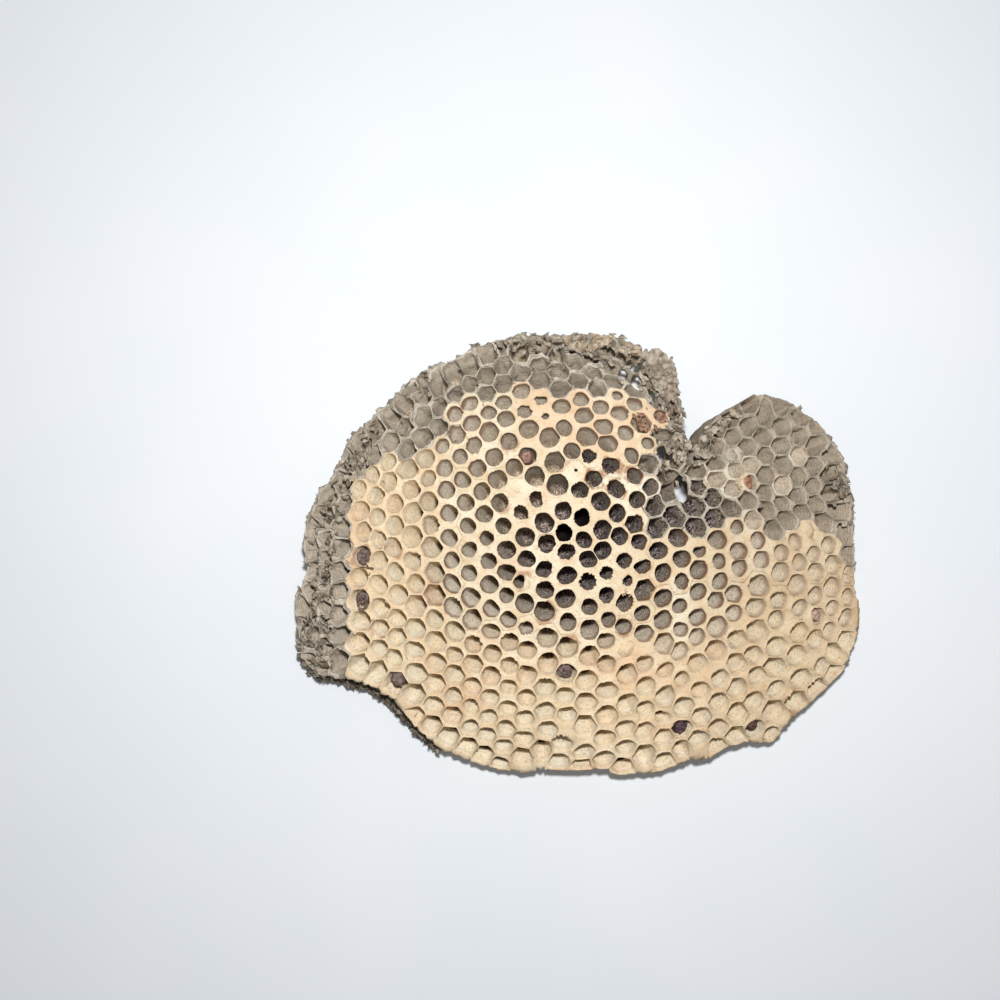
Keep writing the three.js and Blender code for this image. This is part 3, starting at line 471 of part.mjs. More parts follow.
  [28.94,50.13,18.83,5,0.87,780,777,738,737,740,779], [29.62,44.65,20.99,5,0.81,782,779,740,739,742,781],
  [29.07,39.24,22.85,5,0.86,784,781,742,741,744,783], [37.37,31.12,23.68,0,0.87,790,789,788,787,786,785],
  [36.29,26.43,24.71,0,0.89,792,785,786,745,748,791], [36.60,21.53,25.35,1,0.80,796,791,748,795,794,793],
  [35.17,15.83,26.11,0,0.89,798,793,794,749,752,797], [35.50,9.12,26.46,0,0.84,800,797,752,751,754,799],
  [37.21,1.57,26.39,1,0.50,802,799,754,753,756,801], [36.75,-4.28,26.38,1,0.76,804,801,756,755,758,803],
  [36.46,-10.68,26.15,1,0.74,806,803,758,757,760,805], [36.51,-18.75,25.50,1,0.78,808,805,760,759,762,807],
  [36.34,-25.08,24.75,1,0.73,810,807,762,761,764,809], [36.63,-33.44,23.29,1,0.75,812,809,764,763,766,811],
  [38.36,-42.08,20.99,1,0.66,814,811,766,765,768,813], [38.72,-50.50,18.23,1,0.76,816,813,768,767,770,815],
  [37.67,-57.48,15.54,1,0.71,818,815,770,769,772,817], [44.10,39.05,20.39,0,0.87,824,823,822,821,820,819],
  [42.59,33.97,22.11,0,0.87,826,819,820,789,790,825], [42.09,28.95,23.30,0,0.86,828,825,790,785,792,827],
  [42.64,24.42,23.97,1,0.75,830,827,792,791,796,829], [41.05,18.41,25.00,0,0.86,832,829,796,793,798,831],
  [41.75,11.43,25.44,0,0.88,834,831,798,797,800,833], [42.46,5.38,25.58,1,0.76,836,833,800,799,802,835],
  [43.09,-1.46,25.52,1,0.71,838,835,802,801,804,837], [43.30,-7.83,25.32,1,0.71,840,837,804,803,806,839],
  [42.46,-13.75,25.11,1,0.82,842,839,806,805,808,841], [42.58,-21.86,24.30,1,0.73,844,841,808,807,810,843],
  [42.55,-29.38,23.20,1,0.78,846,843,810,809,812,845], [44.53,-38.44,20.97,1,0.66,848,845,812,811,814,847],
  [43.86,-46.25,18.87,1,0.71,850,847,814,813,816,849], [44.30,-54.99,15.53,1,0.70,852,849,816,815,818,851],
  [43.58,-61.22,12.76,1,0.74,855,851,818,817,854,853], [47.36,42.95,18.33,0,0.87,859,858,857,823,824,856],
  [48.25,37.50,19.94,0,0.87,861,856,824,819,826,860], [48.30,31.83,21.43,3,0.00,863,860,826,825,828,862],
  [48.83,26.87,22.34,1,0.60,865,862,828,827,830,864], [47.45,21.12,23.52,1,0.75,867,864,830,829,832,866],
  [46.25,14.96,24.42,0,0.89,869,866,832,831,834,868], [48.53,9.19,24.38,1,0.62,871,868,834,833,836,870],
  [49.51,1.64,24.41,1,0.76,873,870,836,835,838,872], [49.76,-3.52,24.34,1,0.71,875,872,838,837,840,874],
  [47.83,-12.26,24.32,1,0.76,877,874,840,839,842,876], [48.11,-17.73,23.82,1,0.71,879,876,842,841,844,878],
  [49.10,-26.00,22.61,1,0.75,881,878,844,843,846,880], [49.42,-33.85,21.13,1,0.81,883,880,846,845,848,882],
  [49.50,-41.25,19.31,1,0.75,885,882,848,847,850,884], [49.96,-49.97,16.40,1,0.76,887,884,850,849,852,886],
  [50.92,-57.43,13.09,1,0.75,889,886,852,851,855,888], [54.36,48.50,14.08,0,0.84,893,892,891,858,859,890],
  [54.12,40.60,17.42,0,0.87,895,890,859,856,861,894], [52.67,33.95,19.86,0,0.86,897,894,861,860,863,896],
  [53.82,28.01,20.95,1,0.72,899,896,863,862,865,898], [53.12,23.07,22.01,4,0.72,901,898,865,864,867,900],
  [52.35,17.67,22.91,0,0.86,903,900,867,866,869,902], [54.06,11.48,23.09,1,0.80,905,902,869,868,871,904],
  [55.70,4.92,23.06,1,0.73,907,904,871,870,873,906], [56.35,-0.98,23.00,1,0.71,909,906,873,872,875,908],
  [55.48,-9.85,22.95,1,0.81,911,908,875,874,877,910], [55.15,-15.62,22.62,1,0.78,913,910,877,876,879,912],
  [55.54,-22.99,21.72,1,0.80,915,912,879,878,881,914], [54.48,-31.54,20.54,1,0.77,917,914,881,880,883,916],
  [56.38,-38.10,18.63,1,0.73,919,916,883,882,885,918], [55.45,-46.07,16.52,1,0.71,921,918,885,884,887,920],
  [56.57,-55.27,12.68,4,0.62,923,920,887,886,889,922], [59.52,43.99,14.47,0,0.88,926,925,893,890,895,924],
  [58.45,37.20,17.31,0,0.86,928,924,895,894,897,927], [58.70,31.64,18.81,0,0.83,930,927,897,896,899,929],
  [58.19,24.90,20.41,0,0.86,932,929,899,898,901,931], [58.15,19.91,21.22,0,0.83,934,931,901,900,903,933],
  [58.55,14.99,21.71,0,0.86,936,933,903,902,905,935], [60.74,8.46,21.67,0,0.84,938,935,905,904,907,937],
  [62.92,1.04,21.36,1,0.67,940,937,907,906,909,939], [62.97,-4.98,21.32,1,0.74,942,939,909,908,911,941],
  [62.41,-13.92,21.02,1,0.73,944,941,911,910,913,943], [61.68,-20.25,20.59,1,0.65,946,943,913,912,915,945],
  [62.11,-28.03,19.33,1,0.77,948,945,915,914,917,947], [61.86,-35.02,17.97,1,0.84,950,947,917,916,919,949],
  [62.50,-42.11,15.91,1,0.66,952,949,919,918,921,951], [62.04,-49.63,13.48,1,0.83,954,951,921,920,923,953],
  [61.64,-57.55,10.20,1,0.70,957,953,923,922,956,955], [64.56,47.62,11.01,0,0.85,961,960,959,925,926,958],
  [64.50,40.53,14.14,0,0.86,963,958,926,924,928,962], [63.78,34.65,16.39,0,0.83,965,962,928,927,930,964],
  [64.30,28.83,17.77,0,0.89,967,964,930,929,932,966], [64.27,22.23,19.12,1,0.72,969,966,932,931,934,968],
  [63.61,16.63,20.14,0,0.84,971,968,934,933,936,970], [65.19,11.48,20.20,0,0.85,973,970,936,935,938,972],
  [68.29,4.07,19.73,1,0.66,975,972,938,937,940,974], [69.34,-2.12,19.52,1,0.72,977,974,940,939,942,976],
  [68.82,-9.17,19.50,1,0.78,979,976,942,941,944,978], [69.47,-16.36,18.79,1,0.65,981,978,944,943,946,980],
  [69.69,-24.38,17.72,1,0.71,983,980,946,945,948,982], [68.91,-31.94,16.58,1,0.74,985,982,948,947,950,984],
  [70.42,-39.39,14.23,1,0.79,987,984,950,949,952,986], [69.62,-46.49,12.23,1,0.80,989,986,952,951,954,988],
  [71.97,43.93,9.73,0,0.85,992,991,961,958,963,990], [70.80,38.20,12.60,0,0.85,994,990,963,962,965,993],
  [70.25,31.54,14.98,1,0.72,996,993,965,964,967,995], [69.28,25.01,16.93,0,0.85,998,995,967,966,969,997],
  [68.77,18.26,18.30,0,0.85,1000,997,969,968,971,999], [70.55,13.65,18.29,0,0.88,1002,999,971,970,973,1001],
  [72.60,7.33,18.15,2,0.00,1004,1001,973,972,975,1003], [74.27,0.42,17.86,1,0.75,1006,1003,975,974,977,1005],
  [75.21,-5.03,17.53,1,0.73,1008,1005,977,976,979,1007], [74.74,-12.91,17.34,1,0.76,1010,1007,979,978,981,1009],
  [76.04,-19.62,16.22,4,0.70,1012,1009,981,980,983,1011], [76.09,-27.16,15.06,1,0.73,1014,1011,983,982,985,1013],
  [78.03,-35.46,12.50,1,0.68,1016,1013,985,984,987,1015], [76.20,-43.04,10.99,1,0.85,1018,1015,987,986,989,1017],
  [76.79,40.68,8.98,0,0.87,1021,1020,992,990,994,1019], [74.65,34.22,12.39,0,0.86,1023,1019,994,993,996,1022],
  [74.87,28.28,14.03,0,0.86,1025,1022,996,995,998,1024], [74.38,21.87,15.67,0,0.81,1027,1024,998,997,1000,1026],
  [75.21,16.15,16.29,0,0.87,1029,1026,1000,999,1002,1028], [77.25,10.91,16.14,0,0.89,1031,1028,1002,1001,1004,1030],
  [79.84,3.19,15.67,1,0.70,1033,1030,1004,1003,1006,1032], [81.15,-3.08,15.28,1,0.77,1035,1032,1006,1005,1008,1034],
  [80.90,-10.14,15.19,1,0.77,1037,1034,1008,1007,1010,1036], [80.68,-17.28,14.71,1,0.66,1039,1036,1010,1009,1012,1038],
  [80.04,-24.18,14.05,1,0.78,1041,1038,1012,1011,1014,1040], [81.40,-31.06,12.18,1,0.80,1043,1040,1014,1013,1016,1042],
  [82.10,-37.85,10.16,1,0.75,1045,1042,1016,1015,1018,1044], [81.70,32.21,9.81,0,0.86,1048,1047,1023,1022,1025,1046],
  [80.32,25.62,12.35,0,0.88,1050,1046,1025,1024,1027,1049], [80.08,19.38,13.79,0,0.83,1052,1049,1027,1026,1029,1051],
  [82.73,13.76,13.51,0,0.86,1054,1051,1029,1028,1031,1053], [86.44,6.53,12.59,0,0.88,1056,1053,1031,1030,1033,1055],
  [86.78,-0.02,12.79,0,0.84,1058,1055,1033,1032,1035,1057], [86.78,-6.73,12.80,1,0.78,1060,1057,1035,1034,1037,1059],
  [86.20,-13.52,12.71,1,0.71,1062,1059,1037,1036,1039,1061], [85.47,-20.00,12.36,1,0.63,1064,1061,1039,1038,1041,1063],
  [85.69,-27.53,11.04,1,0.73,1066,1063,1041,1040,1043,1065],
];

// Torn openings through the paper: point, radius, direction
const TEARS = [[[18.29, 53.62, 18.46], 1.9, [-0.097, -0.081, 0.992]], [[14.12, 56.21, 17.56], 1.1, [-0.088, -0.086, 0.992]], [[22.5, 48.77, 20.23], 1.2, [-0.107, -0.07, 0.992]], [[25.05, 31.07, 25.31], 1.0, [-0.114, -0.031, 0.993]]];

// Dried brood remains: name, cell number, size across, length, depth of its middle under the mouth, turn, colour
const REMAINS = [
  ["pupa_dark_lower", 225, 4.2, 5.0, 2.2, 0, 0x5a4646],
  ["pupa_dark_edge", 348, 4.6, 4.6, 1.9, 1, 0x4e3438],
  ["pupa_brown_corner", 416, 3.6, 4.2, 2.2, 0, 0x6a4c42],
  ["larva_pink_upper", 196, 3.6, 5.2, 2.4, 1, 0xa88472],
  ["cocoon_reddish", 334, 4.2, 4.4, 1.7, 0, 0x9a6a58],
  ["larva_orange_lobe", 405, 4.2, 4.4, 2.0, 1, 0xa8754f],
  ["larva_dried_left_1", 33, 4.0, 4.6, 2.2, 0, 0x6c5852],
  ["larva_dried_left_2", 35, 3.6, 4.4, 2.3, 1, 0x6c5650],
  ["larva_dried_left_3", 63, 4.2, 4.6, 1.9, 0, 0x8c8478],
  ["larva_pale_right", 458, 4.0, 4.4, 2.2, 1, 0xb79c88],
];

const CENTRE = new THREE.Vector3(DOME_X, DOME_Y, DOME_HEIGHT - FLARE_DEPTH);
const corner = (i) => new THREE.Vector3(...CORNERS[i]);
const axisAt = (p) => p.clone().sub(CENTRE).normalize();

// A point this deep along its cell's axis, stopped at height `lowest`.
function below(p, depth, lowest) {
  const a = axisAt(p);
  const t = Math.min(depth, Math.max(0, (p.z - lowest) / a.z));
  return p.clone().addScaledVector(a, -t);
}

const points = [];
const faces = [];
const put = (v) => points.push([v.x, v.y, v.z]) - 1;
const tri = (a, b, c) => faces.push([a, b, c]);

// Which cells share each edge and each corner
const edgeCells = new Map();
const cornerCells = new Map();
const edgeKey = (a, b) => (a < b ? a + "_" + b : b + "_" + a);
CELLS.forEach((row, c) => {
  const ids = row.slice(5);
  ids.forEach((id, k) => {
    const key = edgeKey(id, ids[(k + 1) % 6]);
    if (!edgeCells.has(key)) edgeCells.set(key, []);
    edgeCells.get(key).push([c, k]);
    if (!cornerCells.has(id)) cornerCells.set(id, []);
    cornerCells.get(id).push([c, k]);
  });
});

const atEdge = new Set();
for (const [key, owners] of edgeCells)
  if (owners.length === 1) key.split("_").forEach((id) => atEdge.add(Number(id)));

// Mouth rings, cell insides and the back's centre points
const ring = [];
const back = [];
const seats = [];
CELLS.forEach((row) => {
  const [x, y, z, kind, open] = row;
  const ids = row.slice(5);
  const c = new THREE.Vector3(x, y, z);
  const share = kind === 2 || kind === 3 ? 0.7 : open;
  const mouth = ids.map((id) => {
    const d = corner(id).sub(c);
    const reach = Math.min(d.length(), CELL_RADIUS * 1.12);
    return c.clone().addScaledVector(d.normalize(), reach * share);
  });
  const inner = mouth.map(put);
  ring.push(inner);
  back.push(put(below(c, CELL_DEPTH, 0)));
  if (kind === 2 || kind === 3) {
    const top = put(c.clone().addScaledVector(axisAt(c), kind === 2 ? CAP_RISE : -0.4));
    for (let k = 0; k < 6; k++) tri(inner[k], inner[(k + 1) % 6], top);
    seats.push(null);
    return;
  }
  const depth = kind === 5 ? SHALLOW_DEPTH : CELL_DEPTH - FLOOR_THICKNESS;
  // crumpled cells, bare paper cells and the cells on the rim run down to a point
  if (kind !== 4 && (kind !== 1 || z < POINTED_BELOW || ids.some((id) => atEdge.has(id)))) {
    const end = put(below(c, depth, REST_THICKNESS));
    for (let k = 0; k < 6; k++) tri(inner[k], inner[(k + 1) % 6], end);
    seats.push(null);
    return;
  }
  const end = [0, 2, 4].map((k) => {
    const p = c.clone().lerp(mouth[k], CELL_END_SHARE);
    return put(below(p, depth, REST_THICKNESS));
  });
  for (let k = 0; k < 6; k++) {
    const e = end[k % 2 ? ((k + 1) / 2) % 3 : k / 2];
    tri(inner[k], inner[(k + 1) % 6], e);
    if (k % 2) tri(inner[k], end[((k + 1) / 2) % 3], end[(k - 1) / 2]);
  }
  tri(end[0], end[1], end[2]);
  seats.push({ c, mouth });
});

// Outer corners exist only where the comb ends
const outerTop = new Map();
const outerLow = new Map();
function outer(id) {
  if (!outerTop.has(id)) {
    outerTop.set(id, put(corner(id)));
    outerLow.set(id, put(below(corner(id), CELL_DEPTH, 0)));
  }
  return [outerTop.get(id), outerLow.get(id)];
}

// Paper between two mouths, and the comb's outer side
for (const owners of edgeCells.values()) {
  const [a, ka] = owners[0];
  const a1 = ring[a][ka];
  const a2 = ring[a][(ka + 1) % 6];
  if (owners.length === 2) {
    const [b, kb] = owners[1];
    const b1 = ring[b][kb];
    const b2 = ring[b][(kb + 1) % 6];
    tri(a2, a1, b2);
    tri(a2, b2, b1);
  } else {
    const ids = CELLS[a].slice(5);
    const [t1, l1] = outer(ids[ka]);
    const [t2, l2] = outer(ids[(ka + 1) % 6]);
    tri(a2, a1, t1);
    tri(a2, t1, t2);
    tri(t2, t1, l1);
    tri(t2, l1, l2);
    tri(back[a], l2, l1);
  }
}

// Where cells meet at a corner
for (const [id, owners] of cornerCells) {
  const next = new Map();
  const first = new Map(owners.map(([c]) => [c, true]));
  for (const [c, k] of owners) {
    // going counter-clockwise round the corner, the next cell lies across the edge that leads to the previous corner
    const ids = CELLS[c].slice(5);
    const share = edgeCells.get(edgeKey(id, ids[(k + 5) % 6]));
    const other = share.find(([o]) => o !== c);
    if (other) {
      next.set(c, other[0]);
      first.set(other[0], false);
    }
  }
  const at = new Map(owners);
  const starts = owners.map(([c]) => c).filter((c) => first.get(c));
  const fan = [];
  let c = starts.length ? starts[0] : owners[0][0];
  while (c !== undefined && fan.length < owners.length) {
    fan.push(c);
    c = next.get(c);
  }
  const tops = fan.map((f) => ring[f][at.get(f)]);
  const lows = fan.map((f) => back[f]);
  if (!starts.length) {
    if (fan.length === 3) {
      tri(tops[0], tops[1], tops[2]);
      tri(lows[0], lows[2], lows[1]);
    }
    continue;
  }
  const [t, l] = outer(id);
  for (let k = 0; k + 1 < fan.length; k++) {
    tri(tops[k], tops[k + 1], t);
    tri(lows[k + 1], lows[k], l);
  }
}

const wasm = await Module();
wasm.setup();

function solid(pts, tris) {
  return new wasm.Manifold(
    new wasm.Mesh({
      numProp: 3,
      vertProperties: new Float32Array(pts.flat()),
      triVerts: new Uint32Array(tris.flat()),
    }),
  );
}

// A six-sided tube along a direction, for the torn openings
function punch([p, radius, dir]) {
  const d = new THREE.Vector3(...dir).normalize();
  const u = new THREE.Vector3(1, 0, 0).cross(d).normalize();
  const v = d.clone().cross(u);
  const pts = [];
  const tris = [];
  for (const s of [-60, 8])
    for (let k = 0; k < 6; k++) {
      const w = (k * Math.PI) / 3 + 0.3;
      const q = new THREE.Vector3(...p)
        .addScaledVector(d, s)
        .addScaledVector(u, Math.cos(w) * radius)
        .addScaledVector(v, Math.sin(w) * radius);
      pts.push([q.x, q.y, q.z]);
    }
  for (let k = 0; k < 6; k++) {
    const n = (k + 1) % 6;
    tris.push([k, n, 6 + n], [k, 6 + n, 6 + k]);
    if (k > 1) tris.push([0, k, k - 1], [6, 5 + k, 6 + k]);
  }
  return solid(pts, tris);
}

let comb = solid(points, faces);
for (const t of TEARS) comb = comb.subtract(punch(t));

function meshOf(name, made, colour) {
  const m = made.getMesh();
  const n = m.numProp;
  const xyz = new Float32Array(m.numVert * 3);
  for (let i = 0; i < m.numVert; i++)
    xyz.set(m.vertProperties.subarray(i * n, i * n + 3), i * 3);
  const g = new THREE.BufferGeometry();
  g.setAttribute("position", new THREE.BufferAttribute(xyz, 3));
  g.setIndex(new THREE.BufferAttribute(new Uint32Array(m.triVerts), 1));
  g.computeVertexNormals();
  const mesh = new THREE.Mesh(
    g,
    new THREE.MeshStandardMaterial({ color: colour, roughness: 0.9, flatShading: true }),
  );
  mesh.name = name;
  return mesh;
}

// Dried remains: a shrivelled lump that follows its cell's section, a gap away from the wall
function lump([, cell, across, length, depth, turn]) {
  const { c, mouth } = seats[cell];
  const a = axisAt(c);
  const pts = [];
  const tris = [];
  const levels = [-0.5, 0.05, 0.5];
  const widths = [0.5, 1.0, 0.45];
  levels.forEach((level, i) => {
    for (let k = 0; k < 6; k++) {
      const down = depth - level * length;
      // the wall of the cell at this depth, drawn in from the mouth towards the three-sided end
      const wall = mouth[k].clone().sub(c);
      const taper = 1 - (0.62 * Math.max(0, down)) / (CELL_DEPTH - FLOOR_THICKNESS);
      const room = wall.length() * 0.866 * taper - REMAINS_GAP;
      const r = Math.min(across / 2, room) * widths[i] * (1 - 0.12 * ((k + turn) % 2));
      const q = c.clone().addScaledVector(a, -down).addScaledVector(wall.normalize(), r);
      pts.push([q.x, q.y, q.z]);
    }
  });
  for (let i = 0; i + 1 < levels.length; i++)
    for (let k = 0; k < 6; k++) {
      const n = (k + 1) % 6;
      tris.push([6 * i + k, 6 * i + n, 6 * i + 6 + n], [6 * i + k, 6 * i + 6 + n, 6 * i + 6 + k]);
    }
  const e = 6 * (levels.length - 1);
  for (let k = 2; k < 6; k++) tris.push([0, k, k - 1], [e, e + k - 1, e + k]);
  return solid(pts, tris);
}

const nest = new THREE.Group();
nest.name = "hornet_comb";
nest.add(meshOf("comb", comb, 0xd8c6a2));
for (const row of REMAINS) nest.add(meshOf(row[0], lump(row), row[6]));

export default nest;
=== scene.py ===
"""Looks of a hornet nest comb that lies on its rim: paper cells, silk collars, torn edges and dried brood."""
import math

import bpy
import numpy as np
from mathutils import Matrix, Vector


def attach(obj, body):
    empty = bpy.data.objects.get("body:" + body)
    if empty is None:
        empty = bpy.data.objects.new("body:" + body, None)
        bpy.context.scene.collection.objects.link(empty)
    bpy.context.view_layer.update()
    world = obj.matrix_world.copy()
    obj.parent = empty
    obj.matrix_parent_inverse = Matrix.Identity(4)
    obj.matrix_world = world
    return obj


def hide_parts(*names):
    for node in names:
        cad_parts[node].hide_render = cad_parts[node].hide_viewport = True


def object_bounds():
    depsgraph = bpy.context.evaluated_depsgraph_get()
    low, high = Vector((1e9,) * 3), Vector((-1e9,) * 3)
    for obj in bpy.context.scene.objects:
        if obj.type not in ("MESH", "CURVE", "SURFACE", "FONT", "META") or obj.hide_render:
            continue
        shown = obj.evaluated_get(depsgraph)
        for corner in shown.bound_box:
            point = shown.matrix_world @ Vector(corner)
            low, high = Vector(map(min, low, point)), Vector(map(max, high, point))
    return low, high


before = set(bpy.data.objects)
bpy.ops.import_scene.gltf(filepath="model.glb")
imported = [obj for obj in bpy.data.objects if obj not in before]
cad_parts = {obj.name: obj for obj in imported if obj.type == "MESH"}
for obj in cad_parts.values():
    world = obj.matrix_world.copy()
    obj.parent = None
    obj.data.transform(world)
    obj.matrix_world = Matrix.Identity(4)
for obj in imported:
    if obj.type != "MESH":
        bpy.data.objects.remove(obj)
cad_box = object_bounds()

MM = 0.001
LOW = np.array([float(v) for v in cad_box[0]]) / MM
HIGH = np.array([float(v) for v in cad_box[1]]) / MM

# ---------------------------------------------------------------- camera and lights
cam_data = bpy.data.cameras.new("camera")
cam_data.sensor_width = 36.0
cam_data.lens = 50.4
cam_data.shift_y = -0.001
cam_data.clip_start = 0.01
cam = bpy.data.objects.new("camera", cam_data)
cam.location = (-0.02482, 0.01777, 0.459)
bpy.context.scene.collection.objects.link(cam)
bpy.context.scene.camera = cam


def area_light(name, where, target, size, watts, colour=(1, 1, 1)):
    data = bpy.data.lights.new(name, "AREA")
    data.shape = "DISK"
    data.size = size
    data.energy = watts
    data.color = colour
    o = bpy.data.objects.new(name, data)
    o.location = where
    d = np.array(target, float) - np.array(where, float)
    from mathutils import Vector

    o.rotation_euler = Vector(d).to_track_quat("-Z", "Y").to_euler()
    bpy.context.scene.collection.objects.link(o)
    return o


area_light("key", (-0.016, 0.096, 0.462), (0, 0, 0.01), 0.036, 2.02)
area_light("front_fill", (-0.02, 0.05, 0.75), (0, 0, 0), 0.5, 0.10)
world = bpy.data.worlds.new("soft_room")
world.use_nodes = True
world.node_tree.nodes["Background"].inputs[0].default_value = (0.93, 0.965, 1.0, 1)
world.node_tree.nodes["Background"].inputs[1].default_value = 0.18
bpy.context.scene.world = world
bpy.context.scene.view_settings.view_transform = "Standard"

# ---------------------------------------------------------------- the comb's shape, in millimetres
DOME_X, DOME_Y = -5.78, 5.15
DOME_HEIGHT = 29.0
FLARE_DEPTH = 100.0
CENTRE = np.array([DOME_X, DOME_Y, DOME_HEIGHT - FLARE_DEPTH])
TUBE = 16.4  # depth of a cell
BACK = 17.3  # mouth to the comb's back
SUB = 6  # steps along one edge of a cell
NA = 6 * SUB

